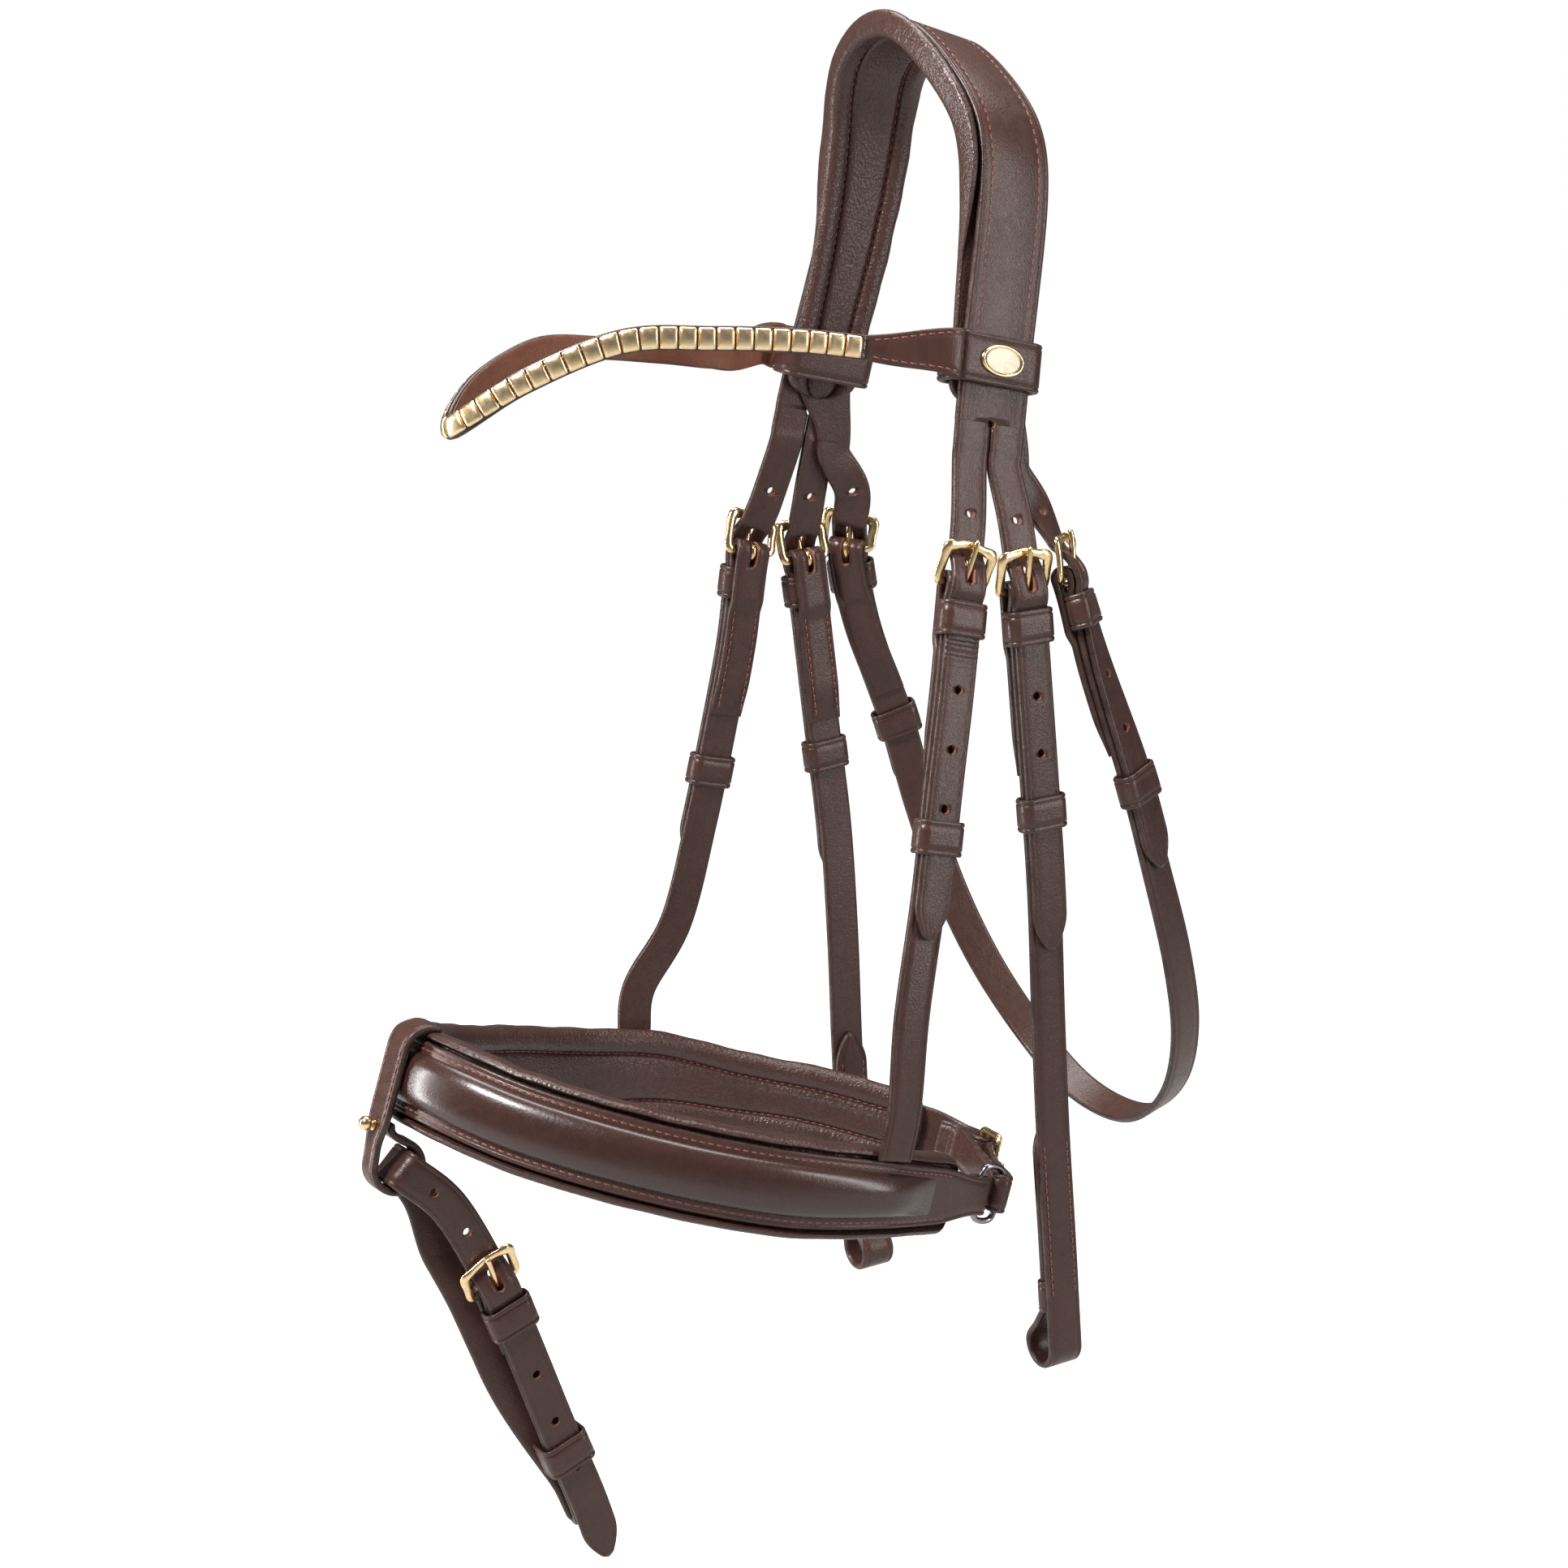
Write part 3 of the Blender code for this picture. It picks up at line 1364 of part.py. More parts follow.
def noseband_band(route, body, finish):
    """Adds the noseband's leather, folded round the end ring and round the chin buckle's bar."""
    rows = noseband_path(route)
    path = [(row[0], row[1]) for row in rows]
    rings = sweep(route, path, lambda i: band_section(rows[i][2] / 2, rows[i][3]))
    band = add_part("noseband_band", body, [(rings, False)], finish.thread)
    back = Reversed(route)
    cut(band, body, [fold_slot(back, BuckleSeat(CHIN_LENGTH))])


def nose_padding_section(half_leather, ending):
    """Returns the (w, n) section of the noseband padding, with rolled rims and two channels.

    ending is true at its two ends, which are a little smaller all round.
    """
    under = -STRAP_THICKNESS / 2 - 2 * GAP
    out = under - GAP if ending else NOSE_RIM_OUT
    size = NOSE_TIP_SHARE if ending else 1.0
    inner = under - NOSE_PADDING_THICKNESS
    half = half_leather + NOSEBAND_RIM
    lip = half_leather + 3 * GAP
    depth = NOSE_RIM_DEPTH
    right = [
        (lip, under),
        (lip + GAP, out - GAP / 2),
        (lip + NOSEBAND_RIM * 0.45, out),
        (half, under + NOSE_ROLL * 0.4),
        (half, inner + NOSE_ROLL),
        (half - depth * 0.22, inner - NOSE_RIM_OUT * 0.4),
        (half - depth * 0.68, inner - NOSE_RIM_OUT * 0.5),
        (half - depth, inner + NOSE_CHANNEL),
        (half - depth * 1.15, inner + NOSE_CHANNEL * 0.15),
    ]
    return [(w * size, n) for w, n in right] + [(-w * size, n) for w, n in reversed(right)]


def noseband_padding(route, body, finish):
    """Adds the padding inside the noseband."""
    start, _, _, end = nose_padding_ends(route)
    rings = []
    for s in [s for s in noseband_stations(route) if start <= s <= end]:
        section = nose_padding_section(noseband_height(route, s) / 2, s in (start, end))
        rings.append([route.place(s, w, n) for w, n in section])
    add_part("noseband_padding", body, [(rings, False)], finish.padding)


def noseband_end_ring(route, body, finish):
    """Adds the oval ring that joins the noseband's near end to the chin strap."""
    band_bar = route.place(0.0, 0.0, -band_fold_radius())
    chin_bar = route.place(route.length, 0.0, 0.0)
    across = (route.frame(0.0)[2] + route.frame(route.length)[2]).normalized()
    along = chin_bar - band_bar
    along -= across * along.dot(across)
    space = Fixed((band_bar + chin_bar) / 2, along, across.cross(along))
    half = along.length / 2
    high = END_RING_HEIGHT / 2 - END_RING_RADIUS
    corner = BUCKLE_CORNER
    quarter = [(half, high - corner), (half - corner * 0.3, high - corner * 0.3), (half - corner, high)]
    outline = quarter + [(-s, w) for s, w in reversed(quarter)]
    outline += [(-s, -w) for s, w in quarter] + [(s, -w) for s, w in reversed(quarter)]
    points = [Vector((s, w, 0.0)) for s, w in outline]
    shape = tube(space, points, END_RING_RADIUS, Vector((0.0, 0.0, 1.0)), closed=True)
    add_part("noseband_end_ring", body, [(shape, True)], finish.steel)


def add_chin(route, body, finish):
    """Adds the chin strap, its buckle and the buckle's tongue."""
    back = Reversed(route)
    seat = BuckleSeat(CHIN_LENGTH)
    radius = band_fold_radius()
    inner = seat.bar_n - fold_radius() - LAYER
    path = spaced(seat.s + CHIN_START, seat.s, FINE_STEP, inner)
    for s, _ in spaced(seat.s, 2 * radius, FINE_STEP)[1:]:
        path.append((s, inner + (-radius - inner) * faded(seat.s - s, 0.0, seat.s - CHIN_START)))
    path += arc(0.0, 0.0, radius, math.pi, -math.pi, 6)
    path += [(2 * radius, radius * 0.95), (CHIN_START, radius * 0.5)]
    path += billet_path(seat, 2 * CHIN_START, CHIN_TAIL)
    rings = ribbon(back, path, point_width(path))
    strap = add_part("chin_strap", body, [(rings, False)], finish.leather)
    cut(strap, body, billet_holes(back, seat, 2 * CHIN_START, CHIN_TAIL))
    add_part("chin_buckle", body, buckle_frame(back, seat), finish.brass)
    Buckled("chin", back, seat, body, 0.0, CHIN_TAIL).tongue(finish)


def flash_front(route):
    """Returns the flat space at the noseband's front: s down, n forwards."""
    shares = NOSEBAND_SHARES[NOSEBAND_FRONT_ROW]
    forward = ring_axis().cross(Vector((-1.0, 0.0, 0.0)))
    return Fixed(place_of(shares), -ring_axis(), forward)


def tab_level():
    """Returns the height of the tab's middle over the middle of the noseband's leather."""
    return STRAP_THICKNESS + NOSEBAND_RAISE + GAP


def tab_loop_radius():
    """Returns the radius of the tab's loop, in which the flash strap can turn."""
    return math.hypot(STRAP_WIDTH / 2, STRAP_THICKNESS / 2) + 2 * GAP + STRAP_THICKNESS / 2


def flash_tab(space, body, finish):
    """Adds the tab that hooks over the noseband and loops round the flash strap."""
    top = NOSEBAND_HEIGHT / 2 + GAP + STRAP_THICKNESS / 2
    level = tab_level()
    radius = tab_loop_radius()
    front = [(-top, -level * 0.6), (-top, -level * 0.15), (-top * 0.94, level * 0.3)]
    front += [(-top * 0.76, level * 0.85), (-top * 0.5, level), (0.0, level), (top * 0.5, level)]
    front += [(top, level), (TAB_LOOP_DROP - radius, level)]
    path = front + arc(TAB_LOOP_DROP, -TAB_LOOP_SET_BACK, radius, 0.0, -math.pi * 1.5, 14)
    path += [(TAB_LOOP_DROP - radius * 1.1, 0.0), (TAB_LOOP_DROP - radius * 1.3, level * 0.42)]
    path += [(top * 0.96, level - LAYER - GAP / 2)]

    def width(i):
        return TAB_WIDTH if i < len(front) - 1 else TAB_LOOP_WIDTH

    tab = add_part("flash_tab", body, [(ribbon(space, path, width), False)], finish.leather)
    hole = round_outline(FLASH_STUD_AT, FLASH_STUD_RADIUS + GAP, sides=8)
    cut(tab, body, [(prism(space, hole, 0.0, 2 * level), False)])
    low = level - 2 * LAYER
    high = level + STRAP_THICKNESS / 2 + GAP
    stud = stud_shape(space, FLASH_STUD_AT, low, high, FLASH_STUD_HEAD * 1.6, FLASH_STUD_RADIUS, FLASH_STUD_HEAD)
    add_part("flash_stud", body, stud, finish.brass)


def flash_path(seat):
    """Returns the path of the flash strap: one strap that crosses itself at its buckle."""
    fold = FLASH_FOLD_RADIUS
    turn = FLASH_TOP_RADIUS
    spread = 2 * FLASH_HALF_SPREAD
    path = folded_end(seat, FLASH_CHAPE)
    run = strap_grid(seat, FLASH_FOLD_AT - fold)
    path += [(s, 0.0) for s in run]
    path += arc(FLASH_FOLD_AT - fold, -fold, fold, 0.0, -math.pi, 6)[1:]
    rising = [s for s, _ in spaced(seat.s, turn, RING_STEP)[:-1]]
    for s in list(reversed(run[:-1])) + rising:
        leaving = max(0.0, (FLASH_SPREAD_END - s) / (FLASH_SPREAD_END - turn))
        path.append((s, -2 * fold - (spread - 2 * fold) * leaving))
    path += arc(turn, -spread + turn, turn, math.pi, -math.pi / 2, 3)
    path += arc(turn, -turn, turn, math.pi / 2, -math.pi / 2, 3)
    path += billet_path(seat, 4 * turn, FLASH_TAIL)
    return path


def add_flash(band_route, noseband, finish):
    """Adds the flash strap's tab and stud, and the strap that hangs in the tab's loop."""
    space = flash_front(band_route)
    flash_tab(space, noseband, finish)
    crossing = space.place(TAB_LOOP_DROP, 0.0, -TAB_LOOP_SET_BACK)
    points = [crossing + Vector((FLASH_HALF_SPREAD, 0.0, 0.0))]
    points += [place_of(share) for share in FLASH_SHARES]
    route = Route(points, [Vector((1.0, 0.0, 0.0))] * len(points))
    body = make_body("flash_swing", crossing, noseband)
    seat = BuckleSeat(FLASH_BUCKLE_AT)
    path = flash_path(seat)
    rings = ribbon(route, path, point_width(path))
    strap = add_part("flash_strap", body, [(rings, False)], finish.leather)
    cut_union(strap, body, [fold_slot(route, seat)])
    cut(strap, body, billet_holes(route, seat, 4 * FLASH_TOP_RADIUS, FLASH_TAIL))
    buckled = Buckled("flash", route, seat, body, FLASH_RUNNER_AT, FLASH_TAIL)
    buckled.fittings(finish, -2 * FLASH_FOLD_RADIUS)


def throat_route(crown):
    """Returns the throatlatch's line, from the near side under the throat to the off side."""
    level = inner_strap_level() - THROAT_INSET
    near = crown.place(crown.length, -THROAT_BACK, level)
    off = crown.place(0.0, -THROAT_BACK, level)
    points = [near] + [place_of(share, back=THROAT_SPREAD) for share in THROAT_SHARES]
    outward = [Vector((1.0, 0.0, 0.0))] + [Vector(share) for share in THROAT_OUTWARD_SHARES]
    for row in range(len(THROAT_SHARES) - 2, -1, -1):
        back = OFF_THROAT_BACK_SHARES[row] * FACE_DEPTH + THROAT_SPREAD
        points.append(place_of(THROAT_SHARES[row], -1, back))
        outward.append(flip(Vector(THROAT_OUTWARD_SHARES[row])))
    points.append(off)
    outward.append(Vector((-1.0, 0.0, 0.0)))
    return Route(points, outward)


def add_throatlatch(crown, root, finish):
    """Adds the throatlatch: a billet, buckle and keepers each side of one strap."""
    route = throat_route(crown)
    middle = (route.place(0.0) + route.place(route.length)) / 2
    body = make_body("throatlatch_swing", middle, root)
    seat = BuckleSeat(THROAT_BUCKLE_AT)
    back = Reversed(route)
    for name, space, lean in (("near", route, THROAT_LEAN), ("off", back, -THROAT_LEAN)):
        buckled = Buckled(f"{name}_throat", space, seat, body, THROAT_RUNNER_AT, THROAT_TAIL)
        buckled.billet(f"{name}_throat_billet", 0.0, finish, lean)
        buckled.fittings(finish, 0.0)
    run = [(s, 0.0) for s in strap_grid(seat, route.length / 2)]
    path = folded_end(seat, CHAPE_LENGTH) + run
    path += [(route.length - s, n) for s, n in reversed(path[:-1])]
    strap = add_part("throatlatch_strap", body, [(ribbon(route, path), False)], finish.leather)
    cut(strap, body, [fold_slot(route, seat), fold_slot(back, seat)])


def build():
    """Builds the whole bridle."""
    clear_scene()
    finish = make_finishes()
    root = make_body("bridle", Vector((0.0, 0.0, 0.0)))
    crown = crown_route()
    headpiece_leather(crown, root, finish)
    headpiece_inner_strap(crown, root, finish)
    headpiece_padding(crown, root, finish)
    browband_loop("near_browband_loop", crown, crown.length - NEAR_BROWBAND_AT, root, finish)
    browband_loop("off_browband_loop", crown, OFF_BROWBAND_AT, root, finish)
    browband = browband_route(crown)
    browband_strap(browband, root, finish)
    browband_clinchers(browband, root, finish)
    browband_badge(crown, root, finish)
    add_cheek(crown, 1, root, finish)
    add_cheek(crown, -1, root, finish)
    band = noseband_route()
    near_top = crown.place(crown.length, CROWN_STRAP_SPACING / 2, leather_level())
    noseband = make_body("noseband_swing", Vector((0.0, near_top.y, near_top.z)), root)
    noseband_band(band, noseband, finish)
    noseband_padding(band, noseband, finish)
    noseband_end_ring(band, noseband, finish)
    add_hanger(crown, 1, band, noseband, finish)
    add_hanger(crown, -1, band, noseband, finish)
    add_chin(band, noseband, finish)
    add_flash(band, noseband, finish)
    add_throatlatch(crown, root, finish)


build()
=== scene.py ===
"""The finished look of a horse bridle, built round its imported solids.

Lengths are in metres, +Z up, the near side of the horse is +X and its nose points along -Y.
Each strap is built in its own strap space: s runs along it, w across it and n outwards.
"""

import logging
import math
from dataclasses import dataclass, replace
from enum import Enum
from typing import Callable, Optional, Sequence

import bpy
import numpy as np
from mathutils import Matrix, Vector


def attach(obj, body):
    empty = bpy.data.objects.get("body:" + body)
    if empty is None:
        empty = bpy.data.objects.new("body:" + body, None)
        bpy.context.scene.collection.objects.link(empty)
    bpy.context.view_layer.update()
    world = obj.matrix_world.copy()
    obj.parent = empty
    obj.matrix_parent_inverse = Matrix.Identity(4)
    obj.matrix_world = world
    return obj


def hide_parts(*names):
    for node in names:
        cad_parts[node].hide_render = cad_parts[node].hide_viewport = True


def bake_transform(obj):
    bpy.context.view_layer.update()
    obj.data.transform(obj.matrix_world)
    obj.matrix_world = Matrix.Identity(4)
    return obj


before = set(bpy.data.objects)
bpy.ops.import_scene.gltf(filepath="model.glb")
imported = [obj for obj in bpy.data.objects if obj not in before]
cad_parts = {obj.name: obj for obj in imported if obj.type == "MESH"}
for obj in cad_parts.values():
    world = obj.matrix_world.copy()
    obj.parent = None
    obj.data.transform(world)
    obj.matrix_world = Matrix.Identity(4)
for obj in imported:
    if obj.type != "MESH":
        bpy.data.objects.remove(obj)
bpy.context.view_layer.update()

log = logging.getLogger("bridle")
Array = np.ndarray
Socket = bpy.types.NodeSocket

# Overall sizes that the routes of the straps are shares of
FRAME_WIDTH = 0.200
FACE_DEPTH = 0.200
CHEEK_DROP = 0.500
ROUTE_STEPS = 24

# Leather and clearances that every strap shares
STRAP_WIDTH = 0.0142
STRAP_THICKNESS = 0.0026
GAP = 0.0003
LAYER = STRAP_THICKNESS + GAP
FINGER_ROOM = 0.00036
SMOOTH_STEP = 0.0015

# Where stitches and points lie on a strap, and the length it takes to lie down on another
STITCH_INSET = 0.0021
SEWN_FROM = 0.004
SEWN_TO = 0.003
POINT = 0.013
LIE_DOWN = 0.012

# Angles in degrees over which an edge stays sharp
LEATHER_CREASE = 50.0
PLATE_CREASE = 60.0
RAISED_CREASE = 70.0
SMOOTH_CREASE = 80.0

# The routes of the straps, as rows of shares of the overall width, depth and drop
OFF_CROWN_SHARES = (
    (-0.2925, -0.0375, -0.3050),
    (-0.2790, -0.0225, -0.2610),
    (-0.2640, -0.0075, -0.2250),
    (-0.2490, 0.0150, -0.1850),
    (-0.2390, 0.0375, -0.1450),
    (-0.2315, 0.0510, -0.1100),
    (-0.2215, 0.0570, -0.0780),
    (-0.2055, 0.0545, -0.0540),
    (-0.1850, 0.0445, -0.0350),
    (-0.1525, 0.0280, -0.0190),
    (-0.1095, 0.0200, -0.0090),
    (-0.0500, 0.0190, -0.0026),
)
NEAR_CROWN_SHARES = (
    (0.0440, 0.0190, -0.0050),
    (0.0845, 0.0220, -0.0180),
    (0.1455, 0.0345, -0.0390),
    (0.1820, 0.0470, -0.0550),
    (0.2080, 0.0520, -0.0690),
    (0.2280, 0.0520, -0.0850),
    (0.2415, 0.0410, -0.1100),
    (0.2485, 0.0325, -0.1410),
    (0.2560, 0.0170, -0.1790),
    (0.2690, -0.0050, -0.2230),
    (0.2790, -0.0225, -0.2610),
    (0.2925, -0.0375, -0.3050),
)
NEAR_HANGER_SHARES = (
    (0.355, 0.030, -0.344),
    (0.375, 0.005, -0.384),
    (0.400, -0.030, -0.456),
    (0.420, -0.065, -0.524),
    (0.438, -0.100, -0.600),
    (0.458, -0.145, -0.680),
)
OFF_HANGER_SHARES = (
    (0.355, 0.028, -0.344),
    (0.375, -0.002, -0.384),
    (0.400, -0.015, -0.456),
    (0.420, -0.040, -0.524),
    (0.438, -0.075, -0.600),
    (0.456, -0.123, -0.680),
)
NEAR_CHEEK_SHARES = (
    (0.355, 0.005, -0.344),
    (0.375, 0.008, -0.384),
    (0.380, 0.020, -0.444),
    (0.380, 0.040, -0.524),
    (0.380, 0.060, -0.610),
    (0.376, 0.075, -0.700),
    (0.375, 0.090, -0.790),
    (0.374, 0.110, -0.880),
    (0.372, 0.130, -0.974),
)
OFF_CHEEK_SHARES = (
    (0.355, -0.001, -0.344),
    (0.375, -0.002, -0.384),
    (0.380, 0.020, -0.444),
    (0.380, 0.047, -0.524),
    (0.380, 0.077, -0.610),
    (0.376, 0.092, -0.700),
    (0.375, 0.102, -0.790),
    (0.374, 0.115, -0.880),
    (0.372, 0.135, -0.974),
)
THROAT_SHARES = (
    (0.325, -0.020, -0.340),
    (0.370, 0.012, -0.384),
    (0.400, 0.050, -0.448),
    (0.420, 0.120, -0.528),
    (0.420, 0.180, -0.600),
    (0.395, 0.250, -0.670),
    (0.340, 0.315, -0.732),
    (0.250, 0.365, -0.784),
    (0.130, 0.395, -0.820),
    (0.000, 0.410, -0.832),
)
THROAT_OUTWARD_SHARES = (
    (0.91, 0.42, 0.00),
    (0.71, 0.71, 0.00),
    (0.82, 0.57, 0.00),
    (0.94, 0.34, 0.00),
    (0.97, 0.26, 0.00),
    (0.95, 0.25, -0.20),
    (0.80, 0.30, -0.50),
    (0.55, 0.33, -0.76),
    (0.25, 0.33, -0.90),
    (0.00, 0.33, -0.94),
)
OFF_THROAT_BACK_SHARES = (0.0, -0.015, 0.0, 0.025, 0.025, 0.010, 0.0, 0.0, 0.0, 0.0)
NEAR_BROWBAND_SHARES = (
    (0.280, -0.225, -0.222),
    (0.250, -0.375, -0.216),
    (0.215, -0.525, -0.214),
    (0.165, -0.675, -0.216),
    (0.090, -0.825, -0.243),
    (0.000, -0.920, -0.274),
)
OFF_BROWBAND_SHARES = (
    (0.090, -0.825, -0.243),
    (0.165, -0.675, -0.217),
    (0.215, -0.525, -0.217),
    (0.250, -0.375, -0.224),
    (0.280, -0.225, -0.232),
)
NOSEBAND_SHARES = (
    (0.350, -0.0445, -0.8350),
    (0.400, -0.1670, -0.8220),
    (0.445, -0.3100, -0.8080),
    (0.440, -0.4890, -0.7940),
    (0.395, -0.6490, -0.7780),
    (0.320, -0.7990, -0.7600),
    (0.225, -0.9140, -0.7440),
    (0.120, -0.9890, -0.7300),
    (0.000, -1.0190, -0.7240),
    (-0.120, -0.9890, -0.7300),
    (-0.225, -0.9140, -0.7440),
    (-0.320, -0.7990, -0.7600),
    (-0.395, -0.6490, -0.7740),
    (-0.440, -0.4890, -0.7880),
    (-0.440, -0.3100, -0.7980),
    (-0.395, -0.1570, -0.8140),
    (-0.320, -0.0250, -0.8250),
    (-0.250, 0.0755, -0.8370),
    (-0.175, 0.1655, -0.8490),
    (-0.100, 0.2200, -0.8560),
    (0.000, 0.1900, -0.8560),
    (0.150, 0.1050, -0.8480),
    (0.260, 0.0400, -0.8400),
    (0.3325, 0.0000, -0.8364),
)
FLASH_SHARES = (
    (0.036, -0.965, -0.820),
    (0.033, -0.888, -0.874),
    (0.030, -0.838, -0.920),
    (0.023, -0.758, -1.000),
    (0.017, -0.695, -1.060),
    (0.013, -0.650, -1.112),
)


def smooth_share(value: Array, start: float, end: float) -> Array:
    """Returns 0 before start, 1 after end and a smooth share between them."""
    part = np.clip((np.asarray(value, float) - start) / (end - start), 0.0, 1.0)
    return part * part * (3.0 - 2.0 * part)


def unit(vectors: Array) -> Array:
    """Returns the vectors with length one."""
    return vectors / np.maximum(np.linalg.norm(vectors, axis=-1, keepdims=True), 1e-12)


def places_of(shares: Sequence, side: int = 1, back: float = 0.0) -> Array:
    """Returns the places in metres of the rows of a share table.

    Args:
        shares: rows of shares of the overall width, depth and drop.
        side: 1 for the near side, -1 for the off side.
        back: a length that every row is set back by.

    Returns:
        One place for each row.
    """
    rows = np.array(shares, float) * (side * FRAME_WIDTH, FACE_DEPTH, CHEEK_DROP)
    return rows + (0.0, back, 0.0)


def between(a: Array, b: Array, c: Array, d: Array, part: Array) -> Array:
    """Returns places on the smooth curve from b to c, with a before it and d after it."""
    bend = (2 * a - 5 * b + 4 * c - d) * part**2 + (3 * b - a - 3 * c + d) * part**3
    return 0.5 * (2 * b + (c - a) * part + bend)


def curve_through(points: Array, t: Array) -> Array:
    """Returns the points at t, counted in points, of the smooth curve through the points."""
    first = np.minimum(t.astype(int), len(points) - 2)
    ends = np.concatenate([[2 * points[0] - points[1]], points, [2 * points[-1] - points[-2]]])
    return between(*(ends[first + k] for k in range(4)), (t - first)[:, None])


def runs_of(points: Array) -> Array:
    """Returns the direction of a line at each of its points."""
    rows = np.arange(len(points))
    return unit(points[np.minimum(rows + 1, rows[-1])] - points[np.maximum(rows - 1, 0)])


def lengths_along(points: Array) -> Array:
    """Returns the length of a line up to each of its points."""
    return np.concatenate([[0.0], np.cumsum(np.linalg.norm(np.diff(points, axis=0), axis=1))])


def monotone_curve(x: Array, y: Array, at: Array) -> Array:
    """Returns a smooth curve through (x, y) that never swings past its points."""
    step = np.diff(x)
    slope = np.diff(y) / step
    lean = np.zeros_like(y)
    lean[0], lean[-1] = slope[0], slope[-1]
    before, after = slope[:-1], slope[1:]
    alike = before * after > 0
    one = (2 * step[1:] + step[:-1])[alike]
    two = (step[1:] + 2 * step[:-1])[alike]
    lean[1:-1][alike] = (one + two) / (one / before[alike] + two / after[alike])
    low = np.clip(np.searchsorted(x, at, side="right") - 1, 0, len(x) - 2)
    part = (at - x[low]) / step[low]
    rise = y[low] * (1 + 2 * part) * (1 - part) ** 2 + y[low + 1] * part**2 * (3 - 2 * part)
    bend = lean[low] * part * (1 - part) ** 2 - lean[low + 1] * part**2 * (1 - part)
    return rise + step[low] * bend


def smooth_path(points: Sequence, step: float = SMOOTH_STEP) -> Array:
    """Returns a path of (s, n) points with its corners rounded and its points close together."""
    rows = np.array(points, float)
    kept = np.concatenate([[True], np.linalg.norm(np.diff(rows, axis=0), axis=1) > 1e-6])
    rows = rows[kept]
    length = lengths_along(rows)
    spots = [0.0]
    for start, end in zip(length, length[1:]):
        count = max(2, math.ceil((end - start) / step))
        spots += [start + (end - start) * (k + 1) / count for k in range(count)]
    at = np.array(spots)
    return np.column_stack([monotone_curve(length, rows[:, k], at) for k in (0, 1)])


def level_path(s: Array, n: float) -> Array:
    """Returns a path of (s, n) points that all lie at one height."""
    return np.column_stack([s, np.full_like(s, n)])


def arc(s: float, n: float, radius: float, start: float, turn: float, steps: int = 10) -> list:
    """Returns (s, n) points on an arc; an angle of zero points outwards and grows towards -s."""
    angles = start + turn * np.arange(steps + 1) / steps
    return [(s - radius * math.sin(a), n + radius * math.cos(a)) for a in angles]


class Space:
    """A strap space. Each one turns points of (s, w, n) into places."""

    length: float = 0.0

    def place(self, s: Array, w: Array = 0.0, n: Array = 0.0) -> Array:
        """Returns the world places of points of strap space."""
        raise NotImplementedError

    def spot(self, s: float, w: float = 0.0, n: float = 0.0) -> Array:
        """Returns the world place of one point of strap space."""
        return self.place(np.array([s]), np.array([w]), np.array([n]))[0]


class Flat(Space):
    """A flat space with its own place and directions."""

    def __init__(self, centre: Array, along: Array, outward: Array) -> None:
        """Takes the middle and two directions; the second is squared to the first."""
        self.centre = np.asarray(centre, float)
        self.along = unit(np.asarray(along, float))
        outward = np.asarray(outward, float)
        self.outward = unit(outward - self.along * outward.dot(self.along))
        self.across = np.cross(self.along, self.outward)

    def place(self, s: Array, w: Array = 0.0, n: Array = 0.0) -> Array:
        """Returns the world places of points of this space."""
        s, w, n = np.broadcast_arrays(s, w, n)
        reach = s[..., None] * self.along + w[..., None] * self.across
        return self.centre + reach + n[..., None] * self.outward


class Route(Space):
    """A strap's line, with the direction outwards at each of its points."""

    def __init__(self, points: Array, outward: Array, first: int = 0) -> None:
        """Takes the points, their outward directions and the number of the point at s of zero."""
        t = np.arange((len(points) - 1) * ROUTE_STEPS + 1) / ROUTE_STEPS
        self.places = curve_through(np.asarray(points, float), t)
        self.hints = unit(curve_through(np.asarray(outward, float), t))
        self.tangents = runs_of(self.places)
        self.lengths = lengths_along(self.places)
        self.lengths = self.lengths - self.lengths[first * ROUTE_STEPS]
        self.length = float(self.lengths[-1])

    def frames(self, s: Array) -> tuple:
        """Returns the places at s and the directions along, across and outwards."""
        low = np.clip(np.searchsorted(self.lengths, s, side="right") - 1, 0, len(self.lengths) - 2)
        part = ((s - self.lengths[low]) / (self.lengths[low + 1] - self.lengths[low]))[..., None]
        centre = self.places[low] + (self.places[low + 1] - self.places[low]) * part
        along = unit(self.tangents[low] + (self.tangents[low + 1] - self.tangents[low]) * part)
        hint = self.hints[low] + (self.hints[low + 1] - self.hints[low]) * part
        outward = unit(hint - along * (hint * along).sum(-1, keepdims=True))
        return centre, along, np.cross(along, outward), outward

    def place(self, s: Array, w: Array = 0.0, n: Array = 0.0) -> Array:
        """Returns the world places of points of strap space."""
        s, w, n = np.broadcast_arrays(s, w, n)
        centre, _, across, outward = self.frames(s)
        return centre + across * w[..., None] + outward * n[..., None]

    def nearest(self, point: Array) -> float:
        """Returns s of the sample that is nearest to a place."""
        return float(self.lengths[np.argmin(np.linalg.norm(self.places - point, axis=1))])


class Remade(Space):
    """A strap space made from another one."""

    def __init__(self, route: Route) -> None:
        """Takes the space that this one is made from."""
        self.route = route
        self.length = route.length


class Mirrored(Remade):
    """The same strap space on the other side of the horse."""

    def place(self, s: Array, w: Array = 0.0, n: Array = 0.0) -> Array:
        """Returns the world places of points of strap space."""
        return self.route.place(s, w, n) * (-1.0, 1.0, 1.0)


class Reversed(Remade):
    """A strap space that runs the other way along the same line."""

    def place(self, s: Array, w: Array = 0.0, n: Array = 0.0) -> Array:
        """Returns the world places of points of strap space."""
        return self.route.place(self.length - np.asarray(s), -np.asarray(w), n)


